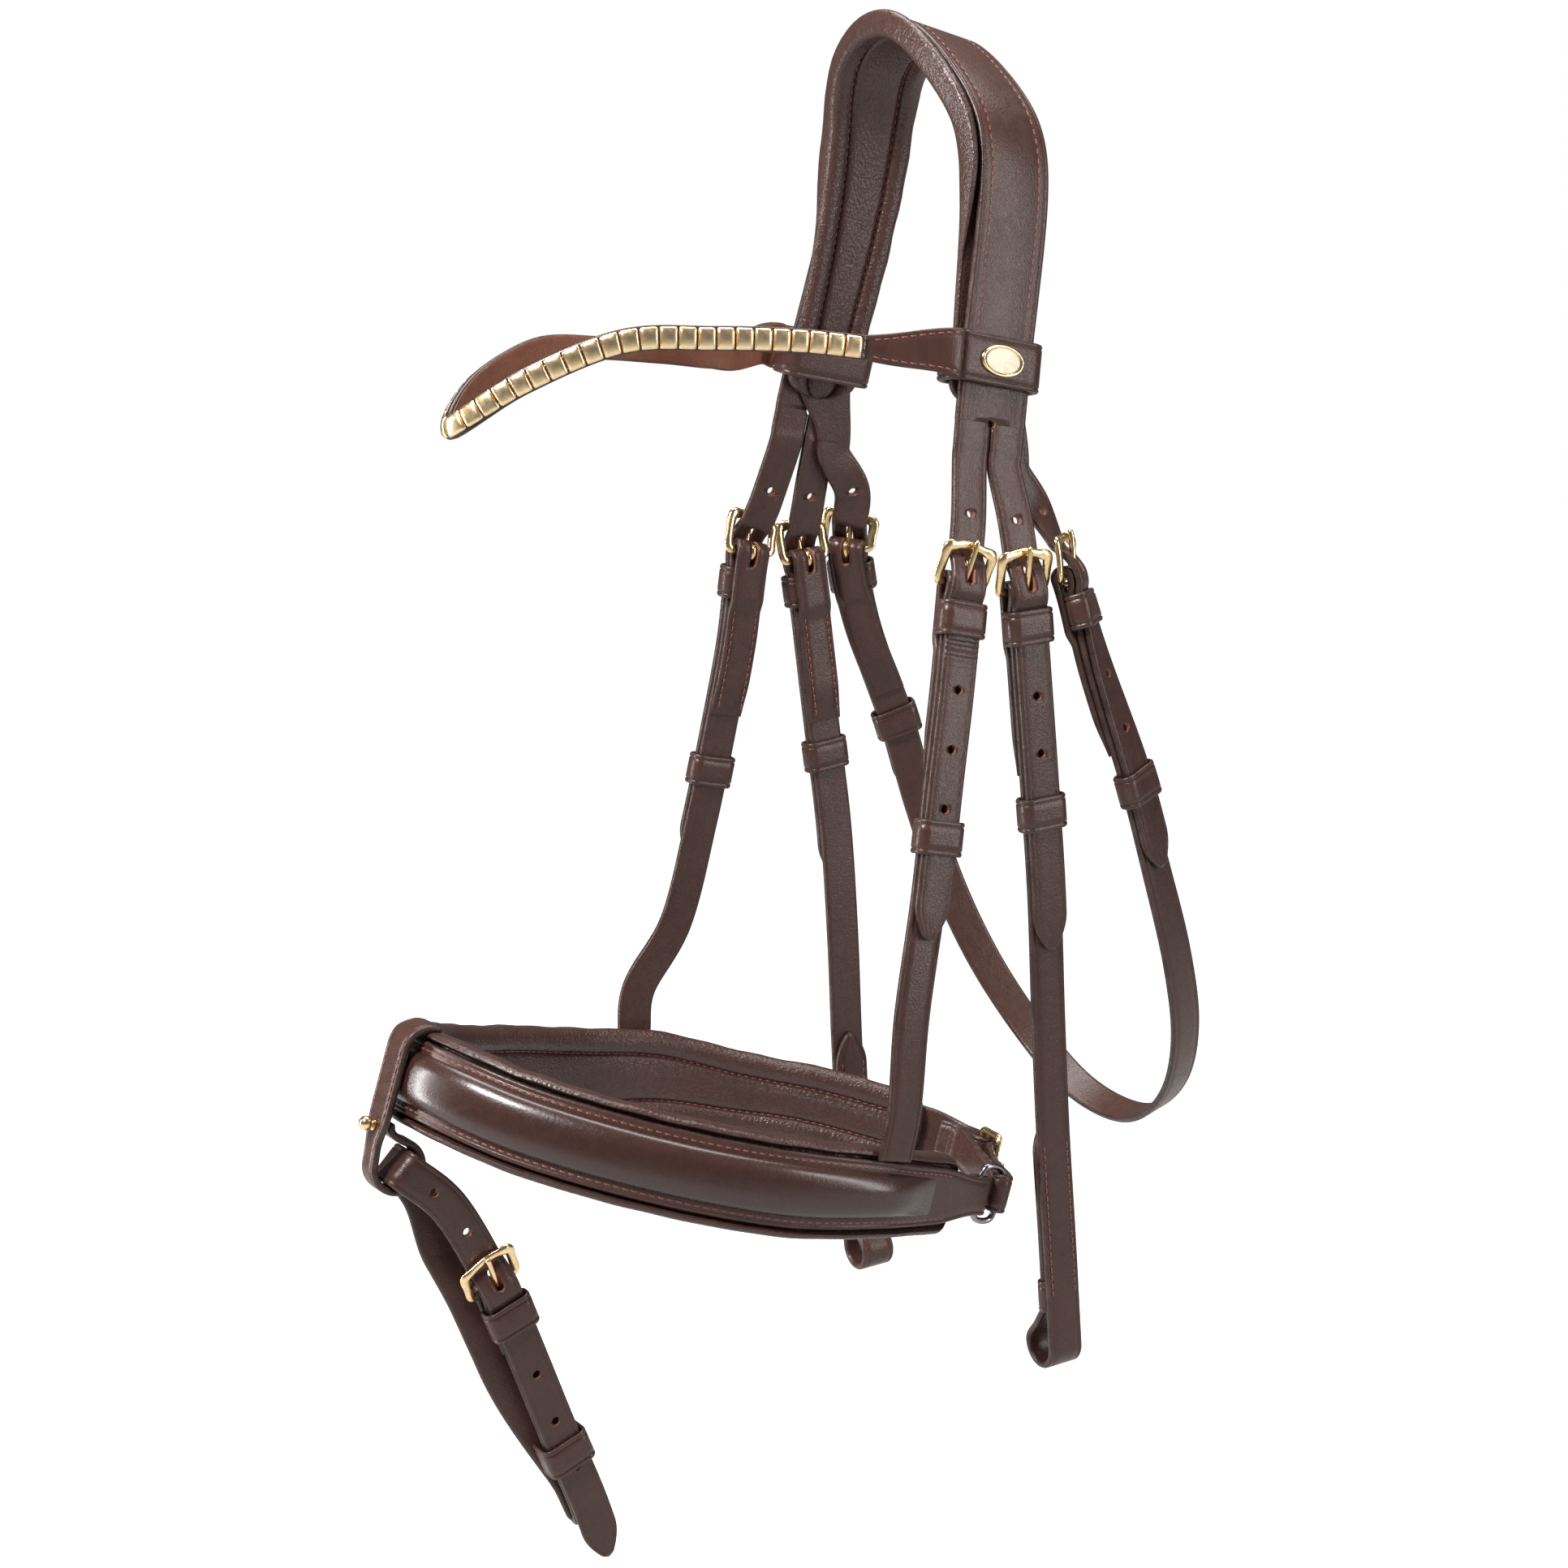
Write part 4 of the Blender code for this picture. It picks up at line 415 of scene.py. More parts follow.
@dataclass
class Skin:
    """One closed surface: rings of points, with what the materials read at each of them."""

    rings: Array
    along: Array
    around: Array
    edge: Array
    closed: bool = False

    def cells(self) -> tuple:
        """Returns the corners of each four-sided face as (ring, point) pairs."""
        count, sides = self.rings.shape[:2]
        rows = np.arange(count if self.closed else count - 1)
        ring, point = (grid.ravel() for grid in np.meshgrid(rows, np.arange(sides), indexing="ij"))
        return (ring, point), (ring, point + 1), (ring + 1, point + 1), (ring + 1, point)


def skin_of(rings: Array, edge: Array, closed: bool = False) -> Skin:
    """Returns a surface whose texture lengths are measured on it.

    Args:
        rings: places as (ring, point, 3).
        edge: closeness to the strap's edge for each point of a ring.
        closed: whether the last ring joins the first.

    Returns:
        The surface.
    """
    loop = np.concatenate([rings, rings[:1]]) if closed else rings
    along = lengths_along(loop.mean(axis=1))
    middle = rings[len(rings) // 2]
    around = lengths_along(np.concatenate([middle, middle[:1]]))
    return Skin(rings, along, around, np.broadcast_to(edge, rings.shape[:2]), closed)


def outward_faces(mesh: bpy.types.Mesh) -> None:
    """Turns a closed mesh's faces outwards where its volume is negative."""
    mesh.calc_loop_triangles()
    corners = np.empty(len(mesh.loop_triangles) * 3, np.int32)
    mesh.loop_triangles.foreach_get("vertices", corners)
    places = np.empty(len(mesh.vertices) * 3)
    mesh.vertices.foreach_get("co", places)
    a, b, c = places.reshape(-1, 3)[corners.reshape(-1, 3)].transpose(1, 0, 2)
    if np.einsum("ij,ij->", a - a.mean(0), np.cross(b - a, c - a)) < 0:
        mesh.flip_normals()


def add_mesh(
    name: str, skins: Sequence[Skin], material: bpy.types.Material, crease: float = LEATHER_CREASE
) -> bpy.types.Object:
    """Adds one object made of closed surfaces.

    Args:
        name: the piece's name.
        skins: its surfaces.
        material: its finish.
        crease: the angle in degrees over which an edge stays sharp.

    Returns:
        The new object.
    """
    places, faces, uv, edges = [], [], [], []
    base = 0
    for skin in skins:
        count, sides = skin.rings.shape[:2]
        places.append(skin.rings.reshape(-1, 3))
        edges.append(skin.edge.ravel())
        corners = skin.cells()
        index = [base + (ring % count) * sides + point % sides for ring, point in corners]
        faces += np.stack(index, axis=1).tolist()
        spots = [np.column_stack([skin.along[ring], skin.around[point]]) for ring, point in corners]
        uv.append(np.stack(spots, axis=1).reshape(-1, 2))
        if not skin.closed:
            for row, order in ((0, slice(None, None, -1)), (count - 1, slice(None))):
                faces.append([base + row * sides + k for k in range(sides)][order])
                uv.append(np.full((sides, 2), skin.along[row]))
        base += count * sides
    mesh = bpy.data.meshes.new(name)
    mesh.from_pydata(np.concatenate(places), [], faces)
    layer = mesh.uv_layers.new(name="strap")
    layer.data.foreach_set("uv", np.concatenate(uv).ravel())
    mesh.attributes.new("edge", "FLOAT", "POINT").data.foreach_set("value", np.concatenate(edges))
    outward_faces(mesh)
    mesh.shade_smooth()
    mesh.set_sharp_from_angle(angle=math.radians(crease))
    mesh.materials.append(material)
    piece = bpy.data.objects.new(name, mesh)
    bpy.context.scene.collection.objects.link(piece)
    return piece


def punch(piece: bpy.types.Object, skins: Sequence[Skin], material: bpy.types.Material) -> None:
    """Cuts shapes out of a piece and leaves the cut leather in its own finish."""
    if not skins:
        return
    cutter = add_mesh(piece.name + "_cutter", skins, material)
    cut = piece.modifiers.new("punch", "BOOLEAN")
    cut.operation = "DIFFERENCE"
    cut.solver = "EXACT"
    cut.material_mode = "TRANSFER"
    cut.object = cutter
    bpy.context.view_layer.update()
    graph = bpy.context.evaluated_depsgraph_get()
    old = piece.data
    made = bpy.data.meshes.new_from_object(piece.evaluated_get(graph), depsgraph=graph)
    piece.modifiers.clear()
    piece.data = made
    made.name = old.name + "_cut"
    bpy.data.meshes.remove(old)
    bpy.data.objects.remove(cutter, do_unlink=True)


# The right half of a flat strap's section, from its underside over the edge to its top, as
# (inset from the edge, share of the half thickness, drop); the mirror gives the left half
STRAP_HALF = (
    (0.00160, -1.00, 0.0),
    (0.00070, -0.97, 0.0),
    (0.00022, -0.74, 0.0),
    (0.00000, -0.30, 0.0),
    (0.00000, 0.30, 0.0),
    (0.00022, 0.72, 0.0),
    (0.00070, 0.96, 0.0),
    (0.00135, 1.00, 0.0),
    (0.00160, 1.00, 0.00016),
    (0.00180, 1.00, 0.00022),
    (0.00200, 1.00, 0.00016),
    (0.00225, 1.00, 0.0),
    (0.00420, 1.00, 0.0),
)
EDGE_FADE = 0.0011

# How a strap's cut end is rounded: its depth as a share of half the thickness, and its rings
END_DEPTH = 0.8
END_SHARE = 0.25
END_ANGLES = (25.0, 50.0, 70.0, 84.0)
HOLE_SIDES = 20


def section_of(half: Array, skin: Array, rows: Sequence = STRAP_HALF, crease: float = 1.0) -> tuple:
    """Returns the section of a flat strap at each ring.

    Args:
        half: half the width at each ring.
        skin: half the thickness at each ring.
        rows: the right half of the section.
        crease: how deep the line along each edge is, as a share.

    Returns:
        The w and n of the section's points, and how close to the edge each point is.
    """
    half = np.asarray(half, float)[:, None]
    skin = np.asarray(skin, float)[:, None]
    table = np.array(rows, float)
    inset = np.minimum(table[:, 0], half * (0.12 + 0.8 * table[:, 0] / table[-1, 0]))
    right = half - inset
    height = table[:, 1] * skin - table[:, 2] * crease
    flat = np.zeros_like(half)
    w = np.concatenate([flat, right, flat, -right[:, ::-1]], axis=1)
    n = np.concatenate([-skin, height, skin, height[:, ::-1]], axis=1)
    close = np.exp(-table[:, 0] / EDGE_FADE)
    edge = np.concatenate([[0.0], close, [0.0], close[::-1]])
    return w, n, edge


def swept(space: Space, path: Array, w: Array, n: Array, aside: Array = 0.0) -> Array:
    """Returns rings along an (s, n) path whose sections are given by w and n.

    Args:
        space: the strap space.
        path: the (s, n) of the middle of each ring.
        w: the sections' places across, as (ring, point).
        n: the sections' heights over the path, as (ring, point).
        aside: how far each ring is moved across.

    Returns:
        Places as (ring, point, 3).
    """
    run = runs_of(path)
    s = path[:, :1] - run[:, 1:] * n
    high = path[:, 1:] + run[:, :1] * n
    moved = w + np.broadcast_to(np.asarray(aside, float), len(path))[:, None]
    return space.place(s, moved, high)


@dataclass
class Strip:
    """A flat strap along a path, from its own widths and thicknesses."""

    space: Space
    path: Array
    width: Array
    thickness: Array
    aside: Array = 0.0
    crease: float = 1.0
    ends: tuple = (True, True)

    def skin(self) -> Skin:
        """Returns the strap's surface, with its open ends rounded off."""
        half, thick = np.asarray(self.width, float) / 2, np.asarray(self.thickness, float) / 2
        sizes, count = (half, thick, self.aside), len(self.path)
        rows = np.column_stack([self.path, *(np.broadcast_to(size, count) for size in sizes)])
        for order, wanted in zip((-1, 1), self.ends):
            if wanted:
                rows = self.rounded(rows[::order])[::order]
        w, n, edge = section_of(rows[:, 2], rows[:, 3], crease=self.crease)
        return skin_of(swept(self.space, rows[:, :2], w, n, rows[:, 4]), edge)

    @staticmethod
    def rounded(rows: Array) -> Array:
        """Returns (s, n, half width, half thickness, aside) rows with their last end rounded."""
        tip = rows[-1]
        run = unit(tip[:2] - rows[-2, :2])
        depth = END_DEPTH * tip[3]
        added = []
        for angle in END_ANGLES:
            turn = math.radians(angle)
            s, n = tip[:2] - run * depth * (1.0 - math.sin(turn))
            half = tip[2] - END_SHARE * depth * (1.0 - math.cos(turn))
            added.append((s, n, half, tip[3] * math.cos(turn), tip[4]))
        far = np.linalg.norm(rows[:, :2] - tip[:2], axis=1) > depth
        far[-1] = False
        return np.concatenate([rows[far], added])


def round_bar(
    space: Space, points: Array, side: Array, radius: Array, flat: float = 1.0,
    closed: bool = False, sides: int = 14,
) -> Skin:
    """Returns a round or flattened bar through (s, w, n) points.

    Args:
        space: the space of the points.
        points: the middle of the bar.
        side: the normal of the plane that the bar bends in.
        radius: the radius in that plane at each point.
        flat: the share of the radius along the normal.
        closed: whether the bar is a ring.
        sides: the number of points round it.

    Returns:
        The bar's surface.
    """
    if closed:
        run = unit(np.roll(points, -1, axis=0) - np.roll(points, 1, axis=0))
    else:
        run = runs_of(points)
    out = unit(np.cross(run, side))
    angle = math.tau * (np.arange(sides) + 0.5) / sides
    reach = np.broadcast_to(np.asarray(radius, float), len(points))[:, None, None]
    spots = points[:, None] + out[:, None] * (reach * np.cos(angle)[None, :, None])
    spots = spots + np.asarray(side)[None, None] * (reach * flat * np.sin(angle)[None, :, None])
    return skin_of(space.place(*np.moveaxis(spots, -1, 0)), np.zeros(sides), closed)


def smooth_loop(points: Array, per: int) -> Array:
    """Returns a closed smooth curve through the points, with some more between each two."""
    count = len(points)
    ring = np.concatenate([points[-1:], points, points[:2]])
    t = np.arange(count * per) / per + 1.0
    return curve_through(ring, t)


def turned(
    space: Space, s: float, profile: Sequence, stretch: float = 1.0, sides: int = 28
) -> Skin:
    """Returns a body turned about n, from (n, radius) rows; stretch widens it across."""
    angle = math.tau * np.arange(sides) / sides
    rows = np.array(profile, float)
    along = s + rows[:, 1:] * np.cos(angle)
    across = rows[:, 1:] * stretch * np.sin(angle)
    return skin_of(space.place(along, across, rows[:, :1]), np.zeros(sides))


def hole_cutter(space: Space, s: float, radius: float, levels: tuple, stretch: float = 0.0) -> Skin:
    """Returns the cutter of a round or long hole between two levels."""
    angle = math.tau * (np.arange(HOLE_SIDES) + 0.5) / HOLE_SIDES
    along = s + radius * np.cos(angle) + np.copysign(stretch / 2, np.cos(angle))
    across = radius * np.sin(angle)
    rings = [space.place(along, across, np.full(HOLE_SIDES, level)) for level in levels]
    return skin_of(np.stack(rings), np.ones(HOLE_SIDES))


@dataclass
class Stitches:
    """A row of saddle stitches that lie half sunk in the leather."""

    pitch: float = 0.0031
    share: float = 0.80
    width: float = 0.00062
    height: float = 0.00030
    sink: float = 0.00004
    slant: float = 0.10

    def row(self, space: Space, path: Array, w: Array, lift: float) -> list:
        """Returns the surfaces of one row.

        Args:
            space: the strap space.
            path: the (s, n) of the leather's middle along the row.
            w: the row's place across at each point of the path.
            lift: the height of the leather's face over its middle, below zero on its inside.

        Returns:
            One surface for each stitch.
        """
        across = np.broadcast_to(np.asarray(w, float), len(path))
        length = lengths_along(np.column_stack([path, across]))
        count = int(length[-1] / self.pitch)
        if count < 1:
            return []
        middle = (np.arange(count) + 0.5) * (length[-1] / count)
        t = np.linspace(-1.0, 1.0, 5)
        at = middle[:, None] + t * self.pitch * self.share / 2
        s, n = (np.interp(at, length, path[:, k]) for k in (0, 1))
        aside = np.interp(at, length, across) + t * self.slant * self.width
        face = math.copysign(1.0, lift)
        bow = (1.0 - t**2) * self.height - self.sink
        swell = np.sqrt(np.clip(1.0 - t**4, 0.12, 1.0))
        angle = math.tau * np.arange(8) / 8
        wide = aside[..., None] + self.width / 2 * swell[:, None] * np.cos(angle)
        tall = (lift + face * (bow - self.height / 2))[None, :, None]
        high = n[..., None] + tall + self.height / 2 * swell[:, None] * np.sin(angle)
        places = space.place(np.broadcast_to(s[..., None], wide.shape), wide, high)
        along = lengths_along(np.stack([at[0] - at[0][0], np.zeros(5)], axis=1))
        around = np.arange(9) * self.width * 0.4
        edge = np.broadcast_to(0.0, places.shape[1:3])
        return [Skin(rings, along, around, edge) for rings in places]

    def pair(
        self, space: Space, path: Array, half: Array, lift: float, middle: Array = 0.0
    ) -> list:
        """Returns two rows, half on each side of the middle."""
        rows = []
        for sign in (-1.0, 1.0):
            rows += self.row(space, path, middle + sign * half, lift)
        return rows


class Finish(Enum):
    """The finishes of the bridle, each with the record's slot that it belongs to."""

    STRAP = "leather"
    SEWN = "stitched_leather"
    POLISHED = "polished stitched_leather"
    PADDING = "padding_leather"
    LINING = "tan_lining"
    CUT = "cut tan_lining"
    THREAD = "thread stitched_leather"
    BRASS = "brass"
    PLATE = "plate brass"
    CLINCHER = "clincher brass"
    STEEL = "dark_ring"

    @property
    def slot(self) -> str:
        """Returns the name of the record's slot."""
        return self.value.split()[-1]


class Graph:
    """Adds nodes to one node tree and joins them."""

    def __init__(self, tree: bpy.types.NodeTree) -> None:
        """Takes the tree."""
        self.tree = tree

    def fill(self, node: bpy.types.Node, sockets: dict) -> None:
        """Sets each named input of a node, or joins it to another node's output."""
        for key, value in sockets.items():
            if isinstance(value, Socket):
                self.tree.links.new(value, node.inputs[key])
            else:
                node.inputs[key].default_value = value

    def node(self, kind: str, inputs: Optional[dict] = None, **settings: object) -> bpy.types.Node:
        """Adds a node.

        Args:
            kind: the node's type.
            inputs: what each of its sockets holds or is joined to.
            settings: the node's own settings.

        Returns:
            The node.
        """
        made = self.tree.nodes.new(kind)
        for key, value in settings.items():
            setattr(made, key, value)
        self.fill(made, inputs or {})
        return made

    def group(self, tree: bpy.types.NodeTree, inputs: dict) -> bpy.types.Node:
        """Returns a node group placed in the tree."""
        return self.node("ShaderNodeGroup", inputs, node_tree=tree)

    def maths(self, operation: str, a: object, b: object, clamp: bool = False) -> Socket:
        """Returns the result of one sum."""
        sockets = {0: a, 1: b}
        return self.node("ShaderNodeMath", sockets, operation=operation, use_clamp=clamp).outputs[0]

    def times(self, a: object, b: object, clamp: bool = False) -> Socket:
        """Returns the product of two values."""
        return self.maths("MULTIPLY", a, b, clamp)

    def stretched(self, vector: Socket, by: tuple) -> Socket:
        """Returns a place stretched by its own amount along each direction."""
        sockets = {0: vector, 1: by}
        return self.node("ShaderNodeVectorMath", sockets, operation="MULTIPLY").outputs[0]

    def mix(self, share: object, a: object, b: object) -> Socket:
        """Returns a colour between two."""
        return self.node("ShaderNodeMix", {0: share, 6: a, 7: b}, data_type="RGBA").outputs[2]

    def spread(
        self, value: object, low: float, high: float, to_low: float = 0.0, to_high: float = 1.0
    ) -> Socket:
        """Returns a value moved from one range to another."""
        sockets = {0: value, 1: low, 2: high, 3: to_low, 4: to_high}
        return self.node("ShaderNodeMapRange", sockets).outputs[0]

    def noise(
        self, vector: Socket, scale: object, detail: float = 3.0, rough: float = 0.55
    ) -> Socket:
        """Returns a noise over the surface."""
        sockets = {"Vector": vector, "Scale": scale, "Detail": detail, "Roughness": rough}
        return self.node("ShaderNodeTexNoise", sockets).outputs[0]

    def bump(self, height: Socket, distance: float) -> Socket:
        """Returns the normal of a surface with a relief of this depth."""
        sockets = {"Height": height, "Distance": distance, "Strength": 1.0}
        return self.node("ShaderNodeBump", sockets).outputs[0]


def new_group(name: str, inputs: Sequence[tuple], outputs: Sequence[tuple]) -> tuple:
    """Adds a shader node group.

    Args:
        name: the group's name.
        inputs: the name, socket type and default of each input.
        outputs: the name and socket type of each output.

    Returns:
        The group's tree, its graph, its input node and its output node.
    """
    tree = bpy.data.node_groups.new(name, "ShaderNodeTree")
    for label, kind, value in inputs:
        socket = tree.interface.new_socket(label, in_out="INPUT", socket_type=kind)
        if value is not None:
            socket.default_value = value
    for label, kind in outputs:
        tree.interface.new_socket(label, in_out="OUTPUT", socket_type=kind)
    graph = Graph(tree)
    return tree, graph, graph.node("NodeGroupInput"), graph.node("NodeGroupOutput")


FLOAT, VECTOR, COLOUR = "NodeSocketFloat", "NodeSocketVector", "NodeSocketColor"
GREY = (0.5, 0.5, 0.5, 1.0)
WHITE = (1.0, 1.0, 1.0, 1.0)
PLACE = ("Vector", VECTOR, None)


class Effects:
    """The effects that more than one finish uses, each built once as a node group."""

    def __init__(self) -> None:
        """Builds every group."""
        self.grain = self.build_grain()
        self.dye = self.build_dye()
        self.wear = self.build_wear()
        self.polish = self.build_polish()

    @staticmethod
    def build_grain() -> bpy.types.NodeTree:
        """Returns the group that gives leather its pebbles, pores and creases."""
        inputs = (PLACE, ("Size", FLOAT, 900.0), ("Pebble", FLOAT, 0.5), ("Crease", FLOAT, 0.3))
        outputs = (("Height", FLOAT), ("Pores", FLOAT))
        tree, graph, given, result = new_group("leather_grain", inputs, outputs)
        vector, size = given.outputs["Vector"], given.outputs["Size"]
        bent = graph.stretched(vector, (1.0, 1.35, 1.0))
        sockets = {"Vector": bent, "Scale": size, "Smoothness": 0.35}
        cells = graph.node("ShaderNodeTexVoronoi", sockets, feature="SMOOTH_F1").outputs["Distance"]
        pebble = graph.spread(cells, 0.05, 0.75, 1.0, 0.0)
        fine = graph.noise(vector, graph.times(size, 2.6), 4.0, 0.6)
        long = graph.stretched(vector, (1.0, 0.22, 1.0))
        folds = graph.noise(long, graph.times(size, 0.34), 3.0, 0.5)
        folds = graph.maths("ABSOLUTE", graph.maths("SUBTRACT", folds, 0.5), 0.0)
        folds = graph.times(graph.spread(folds, 0.0, 0.09, -1.0, 0.0), given.outputs["Crease"])
        pebbles = graph.times(pebble, given.outputs["Pebble"])
        height = graph.maths("ADD", pebbles, graph.times(fine, 0.35))
        pores = graph.spread(pebble, 0.0, 0.5, 1.0, 0.0)
        graph.fill(result, {"Height": graph.maths("ADD", height, folds), "Pores": pores})
        return tree

    @staticmethod
    def build_dye() -> bpy.types.NodeTree:
        """Returns the group that spreads the dye unevenly over the leather."""
        inputs = (PLACE, ("Base", COLOUR, GREY), ("Deep", COLOUR, GREY), ("Warm", COLOUR, GREY))
        outputs = (("Colour", COLOUR), ("Blotch", FLOAT))
        tree, graph, given, result = new_group("leather_dye", inputs, outputs)
        vector = given.outputs["Vector"]
        broad = graph.spread(graph.noise(vector, 38.0, 3.0), 0.32, 0.68)
        small = graph.spread(graph.noise(vector, 260.0, 4.0, 0.65), 0.35, 0.7)
        colour = graph.mix(graph.times(broad, 0.55), given.outputs["Base"], given.outputs["Deep"])
        colour = graph.mix(graph.times(small, 0.35), colour, given.outputs["Warm"])
        graph.fill(result, {"Colour": colour, "Blotch": graph.times(broad, small)})
        return tree

    @staticmethod
    def build_wear() -> bpy.types.NodeTree:
        """Returns the group that says where an edge is rubbed and where it is burnished dark."""
        inputs = (PLACE, ("Edge", FLOAT, 0.0), ("Amount", FLOAT, 0.5))
        outputs = (("Mask", FLOAT), ("Dark", FLOAT))
        tree, graph, given, result = new_group("edge_wear", inputs, outputs)
        patches = graph.noise(given.outputs["Vector"], 120.0, 4.0, 0.6)
        rubbed = graph.times(
            graph.spread(given.outputs["Edge"], 0.45, 0.90), graph.spread(patches, 0.38, 0.66)
        )
        mask = graph.times(rubbed, given.outputs["Amount"], clamp=True)
        graph.fill(result, {"Mask": mask, "Dark": graph.spread(given.outputs["Edge"], 0.60, 0.97)})
        return tree

    @staticmethod
    def build_polish() -> bpy.types.NodeTree:
        """Returns the group that gives metal its fine scratches and smears."""
        inputs, outputs = (PLACE, ("Size", FLOAT, 900.0)), (("Height", FLOAT), ("Smear", FLOAT))
        tree, graph, given, result = new_group("metal_polish", inputs, outputs)
        vector, size = given.outputs["Vector"], given.outputs["Size"]
        scratches = graph.noise(graph.stretched(vector, (0.25, 2.4, 1.0)), size, 5.0, 0.7)
        smears = graph.spread(graph.noise(vector, graph.times(size, 0.25), 3.0), 0.35, 0.7)
        graph.fill(result, {"Height": scratches, "Smear": smears})
        return tree


def start_material(name: str) -> tuple:
    """Returns a new material, its graph, its shader and the strap's own texture place."""
    material = bpy.data.materials.new(name)
    material.use_nodes = True
    graph = Graph(material.node_tree)
    shader = material.node_tree.nodes["Principled BSDF"]
    place = graph.node("ShaderNodeUVMap", uv_map="strap").outputs[0]
    return material, graph, shader, place


# How much darker a burnished edge and a pore are, and how much rougher a pore is
EDGE_TONE, EDGE_STRENGTH = 0.40, 0.85
PORE_TONE, PORE_ROUGH = 0.22, 0.10


@dataclass(frozen=True)
class LeatherFinish:
    """One kind of leather: its dye, grain and polish."""

    name: str
    base: tuple
    deep: tuple
    warm: tuple
    worn: tuple
    rough: tuple = (0.36, 0.50)
    size: float = 950.0
    pebble: float = 0.5
    crease: float = 0.3
    depth: float = 0.00010
    wear: float = 0.22
    coat: float = 0.0
    coat_rough: float = 0.2
    specular: float = 0.5

    def material(self, effects: Effects) -> bpy.types.Material:
        """Returns the material."""
        material, graph, shader, place = start_material(self.name)
        sockets = {"Vector": place, "Size": self.size, "Pebble": self.pebble, "Crease": self.crease}
        grain = graph.group(effects.grain, sockets).outputs
        deep = (*self.deep, 1.0)
        colours = {"Base": (*self.base, 1.0), "Deep": deep, "Warm": (*self.warm, 1.0)}
        dye = graph.group(effects.dye, {"Vector": place, **colours}).outputs
        edge = graph.node("ShaderNodeAttribute", attribute_name="edge").outputs["Fac"]
        sockets = {"Vector": place, "Edge": edge, "Amount": self.wear}
        wear = graph.group(effects.wear, sockets).outputs
        burnished = tuple(EDGE_TONE * part for part in self.deep)
        colour = graph.mix(graph.times(grain["Pores"], PORE_TONE), dye["Colour"], deep)
        colour = graph.mix(graph.times(wear["Dark"], EDGE_STRENGTH), colour, (*burnished, 1.0))
        colour = graph.mix(wear["Mask"], colour, (*self.worn, 1.0))
        rough = graph.spread(dye["Blotch"], 0.0, 0.6, *self.rough)
        graph.fill(shader, {
            "Base Color": colour,
            "Roughness": graph.maths("ADD", rough, graph.times(grain["Pores"], PORE_ROUGH)),
            "Normal": graph.bump(grain["Height"], self.depth),
            "Specular IOR Level": self.specular,
            "Coat Weight": self.coat,
            "Coat Roughness": self.coat_rough,
        })
        return material


@dataclass(frozen=True)
class MetalFinish:
    """One kind of metal: its colours and polish."""

    name: str
    base: tuple
    dull: tuple
    rough: tuple = (0.16, 0.30)
    depth: float = 0.000015
    metallic: float = 1.0
    size: float = 1400.0

    def material(self, effects: Effects) -> bpy.types.Material:
        """Returns the material."""
        material, graph, shader, place = start_material(self.name)
        polish = graph.group(effects.polish, {"Vector": place, "Size": self.size}).outputs
        graph.fill(shader, {
            "Base Color": graph.mix(polish["Smear"], (*self.base, 1.0), (*self.dull, 1.0)),
            "Roughness": graph.spread(polish["Smear"], 0.0, 1.0, *self.rough),
            "Normal": graph.bump(polish["Height"], self.depth),
            "Metallic": self.metallic,
        })
        return material


@dataclass(frozen=True)
class ThreadFinish:
    """The waxed thread of the stitches."""

    name: str
    base: tuple
    light: tuple
    rough: float = 0.55
    depth: float = 0.00008
    twists: float = 420.0

    def material(self, effects: Effects) -> bpy.types.Material:
        """Returns the material, twisted like a laid thread."""
        material, graph, shader, place = start_material(self.name)
        sockets = {"Vector": place, "Scale": self.twists, "Distortion": 0.6}
        twist = graph.node("ShaderNodeTexWave", sockets, bands_direction="DIAGONAL").outputs["Fac"]
        graph.fill(shader, {
            "Base Color": graph.mix(twist, (*self.base, 1.0), (*self.light, 1.0)),
            "Normal": graph.bump(twist, self.depth),
            "Roughness": self.rough,
        })
        return material


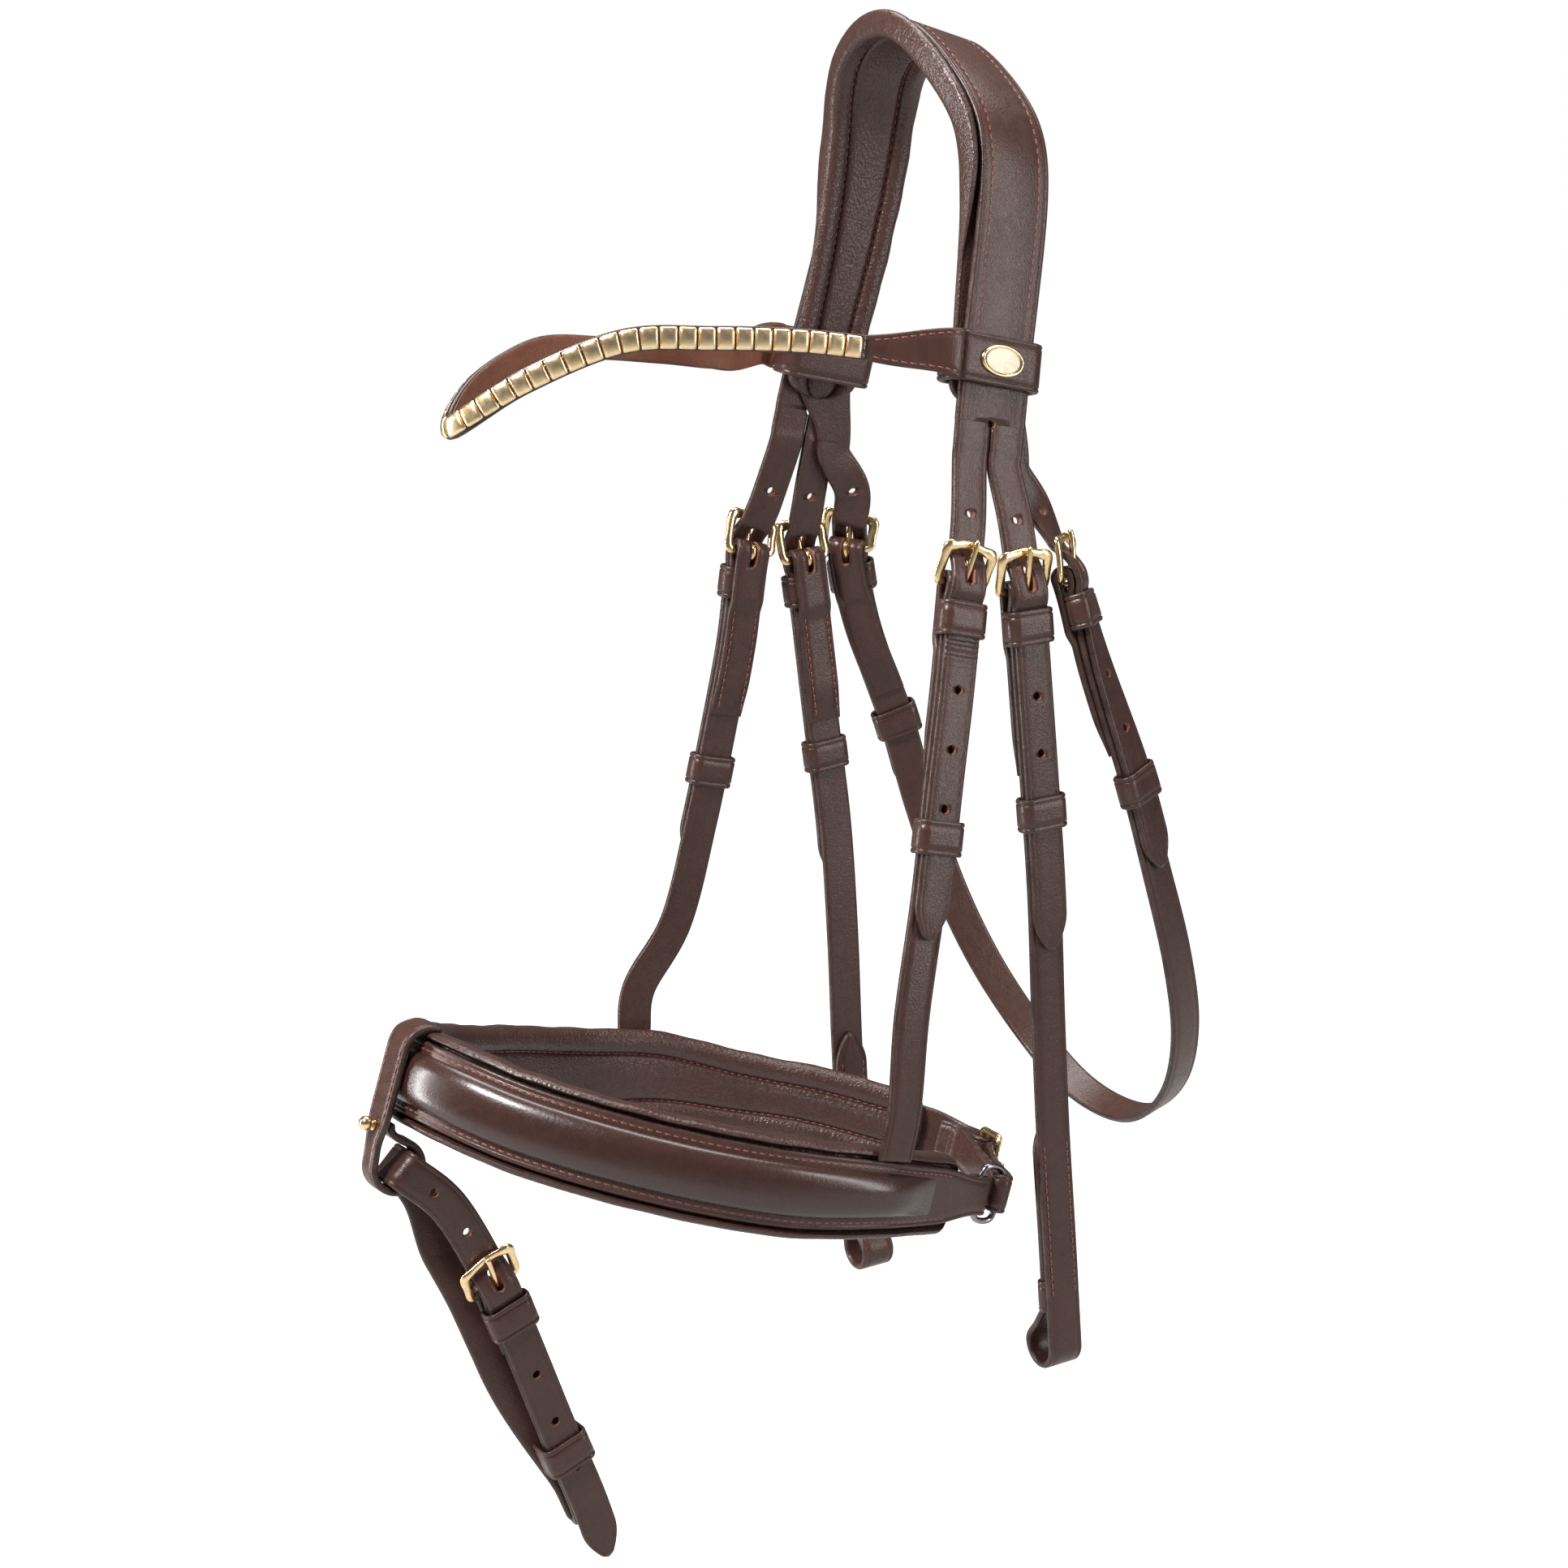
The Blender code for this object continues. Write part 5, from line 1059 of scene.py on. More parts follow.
STRAP_LEATHER = LeatherFinish(
    "strap_leather",
    base=(0.056, 0.0245, 0.0195), deep=(0.031, 0.0130, 0.0105), warm=(0.080, 0.0365, 0.0290),
    worn=(0.200, 0.130, 0.105), rough=(0.24, 0.33), specular=0.37, size=1250.0, pebble=0.4,
    crease=0.12,
)
FINISHES = {
    Finish.STRAP: STRAP_LEATHER,
    Finish.SEWN: replace(STRAP_LEATHER, name="sewn_leather"),
    Finish.POLISHED: LeatherFinish(
        "polished_leather",
        base=(0.040, 0.0165, 0.0130), deep=(0.023, 0.009, 0.007), warm=(0.056, 0.0235, 0.0185),
        worn=(0.110, 0.062, 0.045), rough=(0.23, 0.30), pebble=0.35, depth=0.00008, crease=0.2,
        coat=0.50, coat_rough=0.20, specular=0.32,
    ),
    Finish.PADDING: LeatherFinish(
        "padding_leather",
        base=(0.050, 0.0220, 0.0180), deep=(0.029, 0.0120, 0.0095), warm=(0.070, 0.0330, 0.0270),
        worn=(0.130, 0.072, 0.060), rough=(0.27, 0.36), specular=0.46, size=760.0, pebble=0.9,
        crease=0.4, depth=0.00016, wear=0.1,
    ),
    Finish.LINING: LeatherFinish(
        "tan_leather",
        base=(0.190, 0.062, 0.030), deep=(0.120, 0.036, 0.018), warm=(0.250, 0.090, 0.044),
        worn=(0.330, 0.160, 0.090), rough=(0.48, 0.62), size=1100.0,
    ),
    Finish.CUT: LeatherFinish(
        "cut_leather",
        base=(0.230, 0.085, 0.050), deep=(0.120, 0.042, 0.026), warm=(0.300, 0.120, 0.070),
        worn=(0.300, 0.140, 0.080), rough=(0.70, 0.80), size=2200.0, wear=0.0,
    ),
    Finish.THREAD: ThreadFinish(
        "waxed_thread", base=(0.140, 0.038, 0.030), light=(0.270, 0.095, 0.070),
    ),
    Finish.BRASS: MetalFinish(
        "polished_brass", base=(0.900, 0.690, 0.400), dull=(0.780, 0.560, 0.280),
    ),
    Finish.PLATE: MetalFinish(
        "pale_plate", base=(0.640, 0.570, 0.450), dull=(0.580, 0.510, 0.390), rough=(0.34, 0.46),
        metallic=0.3,
    ),
    Finish.CLINCHER: MetalFinish(
        "pale_gold", base=(0.900, 0.700, 0.430), dull=(0.820, 0.600, 0.340), rough=(0.26, 0.38),
    ),
    Finish.STEEL: MetalFinish(
        "dark_chrome", base=(0.300, 0.290, 0.300), dull=(0.200, 0.190, 0.200),
    ),
}


class Bench:
    """Makes pieces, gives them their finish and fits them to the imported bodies."""

    def __init__(self) -> None:
        """Builds every finish once."""
        effects = Effects()
        self.materials = {finish: kind.material(effects) for finish, kind in FINISHES.items()}

    def make(
        self, name: str, skins: Sequence[Skin], finish: Finish, crease: float = LEATHER_CREASE
    ) -> bpy.types.Object:
        """Returns a new piece with its finish on it."""
        piece = add_mesh(name, skins, self.materials[finish], crease)
        finish.slot
        return piece

    def fit(self, piece: bpy.types.Object, body: str, *nodes: str) -> None:
        """Makes a piece ride on a body and stand for the nodes named."""
        if body:
            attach(piece, body)
        if nodes:
            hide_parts(*nodes)
        whose, what = body or "two bodies", ", ".join(nodes) or "itself"
        log.info("%s rides on %s for %s", piece.name, whose, what)

    def cut_holes(self, piece: bpy.types.Object, cutters: Sequence[Skin]) -> None:
        """Punches holes whose walls show the bare cut leather."""
        punch(piece, cutters, self.materials[Finish.CUT])

    def add(
        self, name: str, skins: Sequence[Skin], finish: Finish, body: str, *nodes: str,
        cuts: Sequence[Sequence[Skin]] = (), crease: float = LEATHER_CREASE,
    ) -> None:
        """Makes a piece, cuts it and fits it to its body.

        Args:
            name: the piece's name.
            skins: its surfaces.
            finish: what it is made of.
            body: the body that it rides on.
            nodes: the nodes of the solids that it stands for.
            cuts: the cutters of each cut, one cut after another.
            crease: the angle in degrees over which an edge stays sharp.
        """
        piece = self.make(name, skins, finish, crease)
        for cutters in cuts:
            self.cut_holes(piece, cutters)
        self.fit(piece, body, *nodes)

    def sew(self, name: str, threads: Sequence[Skin], body: str) -> None:
        """Adds the stitches of one piece."""
        self.add(name, threads, Finish.THREAD, body)


@dataclass
class Crown:
    """The line of the headpiece over the poll and the heights of its layers."""

    tilt: float = math.radians(14)
    poll_back: float = 0.0041
    padding: float = 0.0028
    inner: float = 0.0016
    shift: float = 0.0035
    width: float = 0.0295
    spacing: float = 0.0149
    throat_back: float = 0.0128
    throat_inset: float = 0.0006
    turn: float = 0.034
    split: float = 0.0145
    lead: float = 0.006
    smoothing: int = 3
    hole_radius: float = 0.0017

    def __post_init__(self) -> None:
        """Builds the route."""
        poll = np.array([0.0, math.cos(self.tilt), -math.sin(self.tilt)]) * self.poll_back
        points = np.concatenate([places_of(OFF_CROWN_SHARES), [poll], places_of(NEAR_CROWN_SHARES)])
        for _ in range(self.smoothing):
            points[1:-1] = points[1:-1] / 2 + (points[:-2] + points[2:]) / 4
        run = runs_of(points)
        lean = math.tan(self.tilt) * np.abs(run[:, 0])
        self.route = Route(points, unit(np.column_stack([-run[:, 2], lean, run[:, 0]])))
        self.poll = self.route.nearest(poll)
        self.inner_level = self.padding + GAP + self.inner / 2
        self.leather_level = self.inner_level + self.inner / 2 + GAP + STRAP_THICKNESS / 2

    def aside(self, s: Array) -> Array:
        """Returns how far across the leather's middle lies of the padding's."""
        reach = np.abs(s - self.poll) / (self.route.length / 2)
        return -self.shift * (1.0 - smooth_share(reach, 0.0, 1.0))

    def narrowing(self, s: Array) -> Array:
        """Returns the share by which the inner strap has narrowed towards its ends."""
        return 1.0 - smooth_share(np.minimum(s, self.route.length - s), 0.0, self.turn)

    def split_hole(self, side: int) -> Skin:
        """Returns the cutter of the hole above one slit: 1 for the near side, -1 for the off."""
        s = self.route.length - self.split if side > 0 else self.split
        level = self.leather_level
        levels = (level - STRAP_THICKNESS, level + STRAP_THICKNESS)
        return hole_cutter(self.route, s, self.hole_radius, levels)

    def lead_in(self, side: int, across: float, level: float, reaches: Sequence[float]) -> tuple:
        """Returns places and directions on the headpiece that a hanging strap carries on from.

        Args:
            side: 1 for the near end, -1 for the off end.
            across: the strap's place across the headpiece, which narrows with the inner strap.
            level: the strap's height over the underside of the padding.
            reaches: how far above the end each place is.

        Returns:
            The places and the directions outwards, as on the near side.
        """
        spots, outward = [], []
        for reach in reaches:
            s = self.route.length - reach if side > 0 else reach
            spots.append(self.route.spot(s, across, level))
            outward.append(self.route.frames(np.array([s]))[3][0])
        mirror = (side, 1.0, 1.0)
        return np.array(spots) * mirror, np.array(outward) * mirror


@dataclass
class Cushion:
    """A padded band: sections with rolled rims and sewn channels, plumped and wrinkled."""

    name: str
    space: Space
    stations: Array
    sections: Callable[[Array], Array]
    seed: int = 3
    per: int = 5
    plump: float = 0.00016
    wrinkle: float = 0.000025
    plump_waves: tuple = (0.034, 0.019)
    wrinkle_waves: tuple = (0.0062, 0.0041)
    tip: float = 0.008
    tip_share: float = 0.04
    fill: float = 0.8
    thread: float = 0.0005
    thread_lift: float = -0.00028

    def skin(self) -> Skin:
        """Returns the cushion's surface."""
        s = self.stations
        rough = self.sections(s)
        count = rough.shape[1]
        wide = np.concatenate([rough[:, -1:], rough, rough[:, :2]], axis=1)
        t = np.arange(count * self.per) / self.per + 1.0
        first = t.astype(int)
        around = (wide[:, np.minimum(first + k, count + 2)] for k in (-1, 0, 1, 2))
        fine = between(*around, (t - first)[None, :, None])
        middle = fine.mean(axis=1, keepdims=True)
        away = fine - middle
        reach = np.linalg.norm(away, axis=2, keepdims=True)
        share = np.abs(away[..., :1]) / np.abs(away[..., :1]).max(axis=1, keepdims=True)
        swell = self.ripples(s, t)[..., None] * share**2
        fine = middle + away * (1.0 + swell / np.maximum(reach, 1e-4))
        ends = np.minimum(s - s[0], s[-1] - s) / self.tip
        close = np.sqrt(1.0 - (1.0 - np.clip(ends, 0.0, 1.0)) ** 2)[:, None, None]
        fine = middle + (fine - middle) * (self.tip_share + (1.0 - self.tip_share) * close)
        places = self.space.place(s[:, None], fine[..., 0], fine[..., 1])
        return skin_of(places, np.zeros(fine.shape[1]))

    def ripples(self, s: Array, t: Array) -> Array:
        """Returns the plumping and the small wrinkles of each point, in metres."""
        draw = np.random.default_rng(self.seed)
        total = np.zeros((len(s), len(t)))
        waves = [(self.plump, wave) for wave in self.plump_waves]
        for size, wave in waves + [(self.wrinkle, wave) for wave in self.wrinkle_waves]:
            phase = draw.uniform(0.0, math.tau, 3)
            turn = 2.0 * np.sin(s / (3.1 * wave) + phase[0])
            across = np.sin(t * math.tau / len(t) * self.per + phase[1])
            ripple = np.sin(s / wave * math.tau + turn + phase[2])[:, None]
            total += size * ripple * (0.6 + 0.4 * across)
        return total

    def build(self, bench: Bench, body: str, node: str, channels: Sequence[int]) -> None:
        """Adds the cushion and its stitches; channels are the columns of its section sewn down."""
        piece = bench.make(self.name, [self.skin()], Finish.PADDING, SMOOTH_CREASE)
        bench.fit(piece, body, node)
        s = np.linspace(self.stations[0] + self.tip, self.stations[-1] - self.tip, 400)
        section = self.sections(s)
        threads = []
        for column in channels:
            path = np.column_stack([s, section[:, column, 1]])
            across = section[:, column, 0]
            threads += Stitches(width=self.thread).row(self.space, path, across, self.thread_lift)
        bench.sew(f"{self.name}_stitches", threads, body)


def section_rows(rows: Sequence[tuple], count: int) -> Array:
    """Returns (w, n) rows, each fixed or given for every ring, as (ring, point, 2)."""
    whole = np.zeros((count, 1))
    return np.stack([np.stack(np.broadcast_arrays(w, n), axis=-1) + whole for w, n in rows], axis=1)


@dataclass
class Headpiece:
    """The padded headpiece: outer leather, inner strap, cushion and its stitches."""

    crown: Crown
    stitch_inset: float = 0.0046
    stitch_reach: float = 0.026
    stitch_sink: float = 0.00012
    edge_crease: float = 0.4
    inner_end: float = 0.0015
    inner_crease: float = 0.3
    inner_width: float = 0.0270
    cushion_end: float = 0.0200
    cushion_width: float = 0.0360
    cushion_end_width: float = 0.0300
    rim: float = 0.0082
    rim_drop: float = 0.0014
    channel: float = 0.0014
    bead: float = 0.0010
    groove: float = 0.0016
    full_share: float = 0.2
    bead_shares: tuple = (0.42, 0.68)

    def leather_rows(self) -> tuple:
        """Returns the half section of the outer leather, with a sunk line for each stitch row."""
        inset, step = self.stitch_inset, 0.0003
        sunk = ((-2, 0.0), (-1, 0.00012), (0, 0.00016), (1, 0.00012), (2, 0.0))
        return STRAP_HALF[:-1] + tuple((inset + step * count, 1.0, drop) for count, drop in sunk)

    def leather(self, bench: Bench) -> None:
        """Adds the outer leather down to the holes where it divides, and its stitches."""
        crown, route = self.crown, self.crown.route
        s = np.linspace(crown.split, route.length - crown.split, 260)
        full = np.ones_like(s)
        half, skin = full * crown.width / 2, full * STRAP_THICKNESS / 2
        w, n, edge = section_of(half, skin, self.leather_rows(), self.edge_crease)
        rings = swept(route, level_path(s, crown.leather_level), w, n, crown.aside(s))
        holes = [crown.split_hole(side) for side in (-1, 1)]
        skins = [skin_of(rings, edge)]
        name, node = "headpiece_hide", "headpiece_leather"
        bench.add(name, skins, Finish.SEWN, "headpiece", node, cuts=[holes])
        s = np.linspace(self.stitch_reach, route.length - self.stitch_reach, 400)
        half = crown.width / 2 - self.stitch_inset
        lift = STRAP_THICKNESS / 2 - self.stitch_sink
        path = level_path(s, crown.leather_level)
        threads = Stitches().pair(route, path, half, lift, crown.aside(s))
        bench.sew("headpiece_stitches", threads, "headpiece")

    def inner_strap(self, bench: Bench) -> None:
        """Adds the strap under the leather that turns into the throatlatch's upper ends."""
        crown, route = self.crown, self.crown.route
        s = np.linspace(self.inner_end, route.length - self.inner_end, 240)
        narrow = crown.narrowing(s)
        width = self.inner_width + (STRAP_WIDTH - self.inner_width) * narrow
        aside = crown.aside(s) - crown.throat_back * narrow
        path = level_path(s, crown.inner_level)
        skin = Strip(route, path, width, crown.inner, aside, self.inner_crease).skin()
        name = "headpiece_inner"
        bench.add(f"{name}_hide", [skin], Finish.STRAP, "headpiece", f"{name}_strap")

    def cushion_sections(self, s: Array) -> Array:
        """Returns the (w, n) section of the cushion at each s."""
        crown = self.crown
        reach = np.abs(s - crown.poll) / (crown.route.length / 2 - self.cushion_end)
        narrow = smooth_share(reach, self.full_share, 1.0)
        half = (self.cushion_width + (self.cushion_end_width - self.cushion_width) * narrow) / 2
        full = crown.leather_level + STRAP_THICKNESS / 2 + self.bead
        top = crown.padding
        bead = top + (full - top) * (1.0 - smooth_share(reach, *self.bead_shares))
        front = crown.width / 2 + crown.aside(s) + self.groove
        edge = half - np.minimum(front, half - 2 * self.bead)
        rim, drop, deep = self.rim, self.rim_drop, self.channel
        under = (
            (0.0, drop / 2), (rim * 0.22, -drop * 0.85), (rim * 0.60, -drop),
            (rim * 0.90, -drop * 0.2), (rim, deep), (rim * 1.12, deep * 0.35),
            (rim * 1.35, -0.0001),
        )
        rows = [(-half + rim / 6, top), (-half, top - drop)]
        rows += [(-half + inset, n) for inset, n in under] + [(0.0, -0.0002)]
        rows += [(half - inset, n) for inset, n in reversed(under)]
        rows += [(half, bead - edge * 0.3), (half - edge * 0.45, bead)]
        rows += [(half - edge * 0.88, bead - edge * 0.3), (half - edge, top), (0.0, top)]
        return section_rows(rows, len(s))

    def build(self, bench: Bench) -> None:
        """Adds every piece of the headpiece."""
        self.leather(bench)
        self.inner_strap(bench)
        s = np.linspace(self.cushion_end, self.crown.route.length - self.cushion_end, 330)
        pad = Cushion("headpiece_cushion", self.crown.route, s, self.cushion_sections)
        pad.build(bench, "headpiece", "headpiece_padding", (6, 12))


@dataclass
class LoopBand:
    """A leather band closed round a stack of straps."""

    space: Space
    s: float
    low: float
    high: float
    length: float = 0.0122
    width: float = STRAP_WIDTH
    thickness: float = 0.0014
    side_room: float = 0.0010
    corner: float = 0.0030
    crease: float = 1.5

    def outline(self, half: float, low: float, high: float) -> tuple:
        """Returns the (w, n) of the band's middle all round, and the directions out of it."""
        corner = min(self.corner, (high - low) * 0.48)
        signs = ((1, 1), (-1, 1), (-1, -1), (1, -1))
        middles = [(w * half - w * corner, (high if n > 0 else low) - corner * n) for w, n in signs]
        centres = np.array(middles)
        spots, out = [], []
        for k, centre in enumerate(centres):
            for step in range(9):
                turn = math.radians(90.0 * k + 11.25 * step)
                out.append(np.array([math.cos(turn), math.sin(turn)]))
                spots.append(centre + corner * out[-1])
            for share in (0.2, 0.4, 0.6, 0.8):
                spots.append(centre + (centres[(k + 1) % 4] - centre) * share + corner * out[-1])
                out.append(out[-1])
        return np.array(spots), np.array(out)

    def skin(self) -> Skin:
        """Returns the band's surface."""
        half = self.width / 2 + self.side_room + self.thickness / 2
        low = self.low - FINGER_ROOM - self.thickness / 2
        high = self.high + FINGER_ROOM + self.thickness / 2
        path, out = self.outline(half, low, high)
        full = np.ones(len(path))
        across, thick = full * self.length / 2, full * self.thickness / 2
        along, lift, edge = section_of(across, thick, crease=self.crease)
        w = path[:, :1] + out[:, :1] * lift
        n = path[:, 1:] + out[:, 1:] * lift
        return skin_of(self.space.place(self.s + along, w, n), edge, closed=True)


@dataclass(frozen=True)
class Seat:
    """Places in strap space round a buckle whose bar is at s, and the paths of its straps."""

    s: float
    inner_width: float = 0.0166
    height: float = 0.0128
    arch: float = 0.0016
    corner: float = 0.0032
    bar_radius: float = 0.00135
    tilt: float = math.radians(22)
    tongue_radius: float = 0.0011
    overhang: float = 0.0026
    rise: float = 0.020
    keeper_offset: float = 0.0064
    keeper_length: float = 0.0122
    hole_pitch: float = 0.0208
    hole_radius: float = 0.0016
    long_hole: float = 0.0092
    reach: float = 0.0044
    slot_radius: float = 0.0016

    @property
    def bar_n(self) -> float:
        """Returns n of the pivot bar, midway between the strap and its folded end."""
        return -LAYER / 2

    @property
    def fold(self) -> float:
        """Returns the radius of a strap's middle where it turns round the bar."""
        return self.bar_radius + GAP + STRAP_THICKNESS / 2

    @property
    def below(self) -> float:
        """Returns s of the lower edge of the fixed keeper."""
        return self.s + self.keeper_offset + self.keeper_length

    def in_frame(self, up: Array, w: Array = 0.0, off: Array = 0.0) -> Array:
        """Returns the strap-space points that lie up the frame and off its plane."""
        s = self.s - up * math.cos(self.tilt) + off * math.sin(self.tilt)
        n = self.bar_n + up * math.sin(self.tilt) + off * math.cos(self.tilt)
        return np.stack(np.broadcast_arrays(s, w, n), axis=-1)

    def billet(self, start: float, tail: float) -> Array:
        """Returns the path of a billet: behind the top bar, over the fold and on to its tip."""
        top = self.in_frame(self.height)
        under = top[2] - self.bar_radius - 2 * GAP - STRAP_THICKNESS / 2
        over = self.bar_n + self.fold + LAYER
        middle = under + (over - under) * 0.62
        rising = self.s - self.rise
        rows = [(start, 0.0), (rising - 0.006, 0.0), (rising, 0.0), (top[0], under)]
        rows += [(self.s - self.height / 2, middle), (self.s, over)]
        rows += [(self.s + self.fold, over - GAP)]
        rows += [(self.s + self.keeper_offset, LAYER), (self.below, LAYER), (self.s + tail, LAYER)]
        return smooth_path(rows)

    def folded(self, chape: float) -> list:
        """Returns the rows of a strap's end: the sewn end, the fold round the bar and the strap."""
        inner = self.bar_n - self.fold
        skived = [(self.s + chape, GAP - LAYER + 0.0009), (self.s + chape - 0.016, -LAYER)]
        rows = skived if chape > 0.04 else [(self.s + chape, -LAYER)]
        rows += [(self.below + 0.006, -LAYER), (self.below, inner)]
        rows += [(self.s + self.keeper_offset, inner)]
        rows += arc(self.s, self.bar_n, self.fold, math.pi, -math.pi)
        rows += [(self.s + self.fold, self.fold / 3), (self.s + self.keeper_offset, 0.0)]
        return rows + [(self.below, 0.0), (self.below + LIE_DOWN, 0.0)]

    def holes(self, space: Space, start: float, tail: float) -> list:
        """Returns the cutters of a billet's holes and of the long hole round its tongue."""
        skins = []
        for k in range(-2, 5):
            s = self.s - self.reach + k * self.hole_pitch
            if s < start + self.hole_pitch / 2 or s > self.s + tail - POINT - self.hole_pitch / 2:
                continue
            levels = (-STRAP_THICKNESS, 3 * STRAP_THICKNESS) if k <= 0 else (LAYER / 2, 2.5 * LAYER)
            stretch = self.long_hole - 2 * self.hole_radius if k == 0 else 0.0
            skins.append(hole_cutter(space, s, self.hole_radius, levels, stretch))
        return skins

    def slot(self, space: Space) -> Skin:
        """Returns the cutter of the slot that lets the tongue's eye round the bar."""
        reach = self.fold + STRAP_THICKNESS
        levels = (self.bar_n - reach, self.bar_n + reach)
        straight = 2 * reach - 2 * self.slot_radius
        return hole_cutter(space, self.s, self.slot_radius, levels, straight)


# A billet's point: its share of the width, its curve and the lengths over which it turns blunt
POINT_SHARE, POINT_POWER = 0.22, 1.8
POINT_BLUNT = 0.0015
POINT_THIN, POINT_THINNING = 0.45, 0.0016

# The share of its thickness that a sewn end keeps, and where its skiving starts and stops
SKIVED_SHARE = 0.24
SKIVED_RUN = (-0.004, 0.016)


def pointed(path: Array) -> tuple:
    """Returns a path with fine steps to its tip, and the widths and thicknesses there."""
    length = lengths_along(path)
    left = np.concatenate([np.geomspace(POINT, 0.0001, 26), [0.00002]])
    at = np.concatenate([length[length < length[-1] - POINT - 0.0006], length[-1] - left])
    fine = np.column_stack([np.interp(at, length, path[:, k]) for k in (0, 1)])
    away = length[-1] - at
    share = 1.0 - (1.0 - np.clip(away / POINT, 0.0, 1.0)) ** POINT_POWER
    blunt = np.sqrt(1.0 - (1.0 - np.clip(away / POINT_BLUNT, 0.0, 1.0)) ** 2)
    thick = POINT_THIN + (1.0 - POINT_THIN) * smooth_share(away, 0.0, POINT_THINNING)
    width = POINT_SHARE + (1.0 - POINT_SHARE) * share
    return fine, STRAP_WIDTH * width * blunt, STRAP_THICKNESS * thick


def skived(length: Array) -> Array:
    """Returns the share of its thickness that a strap keeps at each length from its sewn end."""
    return SKIVED_SHARE + (1.0 - SKIVED_SHARE) * smooth_share(length, *SKIVED_RUN)


@dataclass
class Fastening:
    """A buckle with its tongue, its fixed keeper and its sliding runner."""

    name: str
    space: Space
    seat: Seat
    body: str
    flat: float = 0.62
    wire: float = 0.00124
    side_wire: float = 0.00056
    top_wire: float = 0.00030
    tongue_taper: tuple = (0.002, 0.014)
    tongue_tip: float = 0.0009

    def buckle(self, bench: Bench) -> None:
        """Adds the cast frame, flat at its sides, with an arched top and a round bar."""
        seat = self.seat
        half = seat.inner_width / 2 + seat.bar_radius
        high, c = seat.height, seat.corner
        quarter = [(0.0, half * 0.55), (0.0, half - c * 0.8), (c * 0.22, half - c * 0.2)]
        quarter += [(c * 0.8, half), (high * 0.5, half)]
        quarter += [(high - c * 0.55, half), (high - c * 0.05, half - c * 0.25)]
        quarter += [(high + seat.arch * 0.28, half - c), (high + seat.arch * 0.72, half * 0.36)]
        outline = [(0.0, 0.0)] + quarter + [(high + seat.arch, 0.0)]
        outline += [(up, -w) for up, w in reversed(quarter)]
        ring = smooth_loop(np.array(outline), 6)
        side = smooth_share(np.abs(ring[:, 1]) / half, 0.45, 0.92)
        top = smooth_share(ring[:, 0], high * 0.55, high)
        radius = self.wire + self.side_wire * side + self.top_wire * top
        points = seat.in_frame(ring[:, 0], ring[:, 1])
        normal = seat.in_frame(0.0, 0.0, 1.0) - seat.in_frame(0.0)
        skin = round_bar(self.space, points, normal, radius, self.flat, closed=True, sides=18)
        name = f"{self.name}_buckle"
        bench.add(f"{name}_cast", [skin], Finish.BRASS, self.body, name, crease=SMOOTH_CREASE)

    def tongue(self, bench: Bench) -> None:
        """Adds the tongue: an eye round the bar and a tapered pin over the frame's top."""
        seat = self.seat
        radius = seat.bar_radius + GAP + seat.tongue_radius
        end = seat.height + seat.arch + seat.overhang
        angles = np.radians(np.linspace(255, 0, 19))
        rows = [(-radius * math.sin(a), radius * math.cos(a)) for a in angles]
        rows += [(end * 0.2, radius), (end * 0.45, radius * 0.97), (end * 0.7, radius * 0.95)]
        rows += [(end * 0.88, radius * 0.92), (end, radius * 0.84)]
        line = curve_through(np.array(rows), np.linspace(0, len(rows) - 1, 90))
        left = lengths_along(line)
        left = left[-1] - left
        blunt = np.sqrt(1.0 - (1.0 - np.clip(left / self.tongue_tip, 0.02, 1.0)) ** 2)
        taper = 0.92 + 0.16 * smooth_share(left, *self.tongue_taper)
        thick = seat.tongue_radius * taper * blunt
        points = seat.in_frame(line[:, 0], 0.0, line[:, 1])
        skin = round_bar(self.space, points, np.array([0.0, 1.0, 0.0]), thick)
        name = f"{self.name}_tongue"
        bench.add(f"{name}_cast", [skin], Finish.BRASS, name, name, crease=SMOOTH_CREASE)

    def band(
        self, bench: Bench, label: str, s: float, low: float, high: float, body: str,
        width: float = STRAP_WIDTH,
    ) -> None:
        """Adds one keeper; label is its node's name, empty where the solids have none."""
        half = STRAP_THICKNESS / 2
        skin = LoopBand(self.space, s, low - half, high + half, width=width).skin()
        name = f"{label or self.name + '_upper_keeper'}_hide"
        bench.add(name, [skin], Finish.STRAP, body, *([label] if label else []))

    def build(self, bench: Bench, runner_at: float, low: float = 0.0) -> None:
        """Adds every fitting; low is the lowest layer under the runner."""
        self.buckle(bench)
        self.tongue(bench)
        at = self.seat.s + self.seat.keeper_offset + self.seat.keeper_length / 2
        self.band(bench, f"{self.name}_keeper", at, 0.0, LAYER, self.body)
        self.band(bench, f"{self.name}_runner", runner_at, low, LAYER, f"{self.name}_runner")

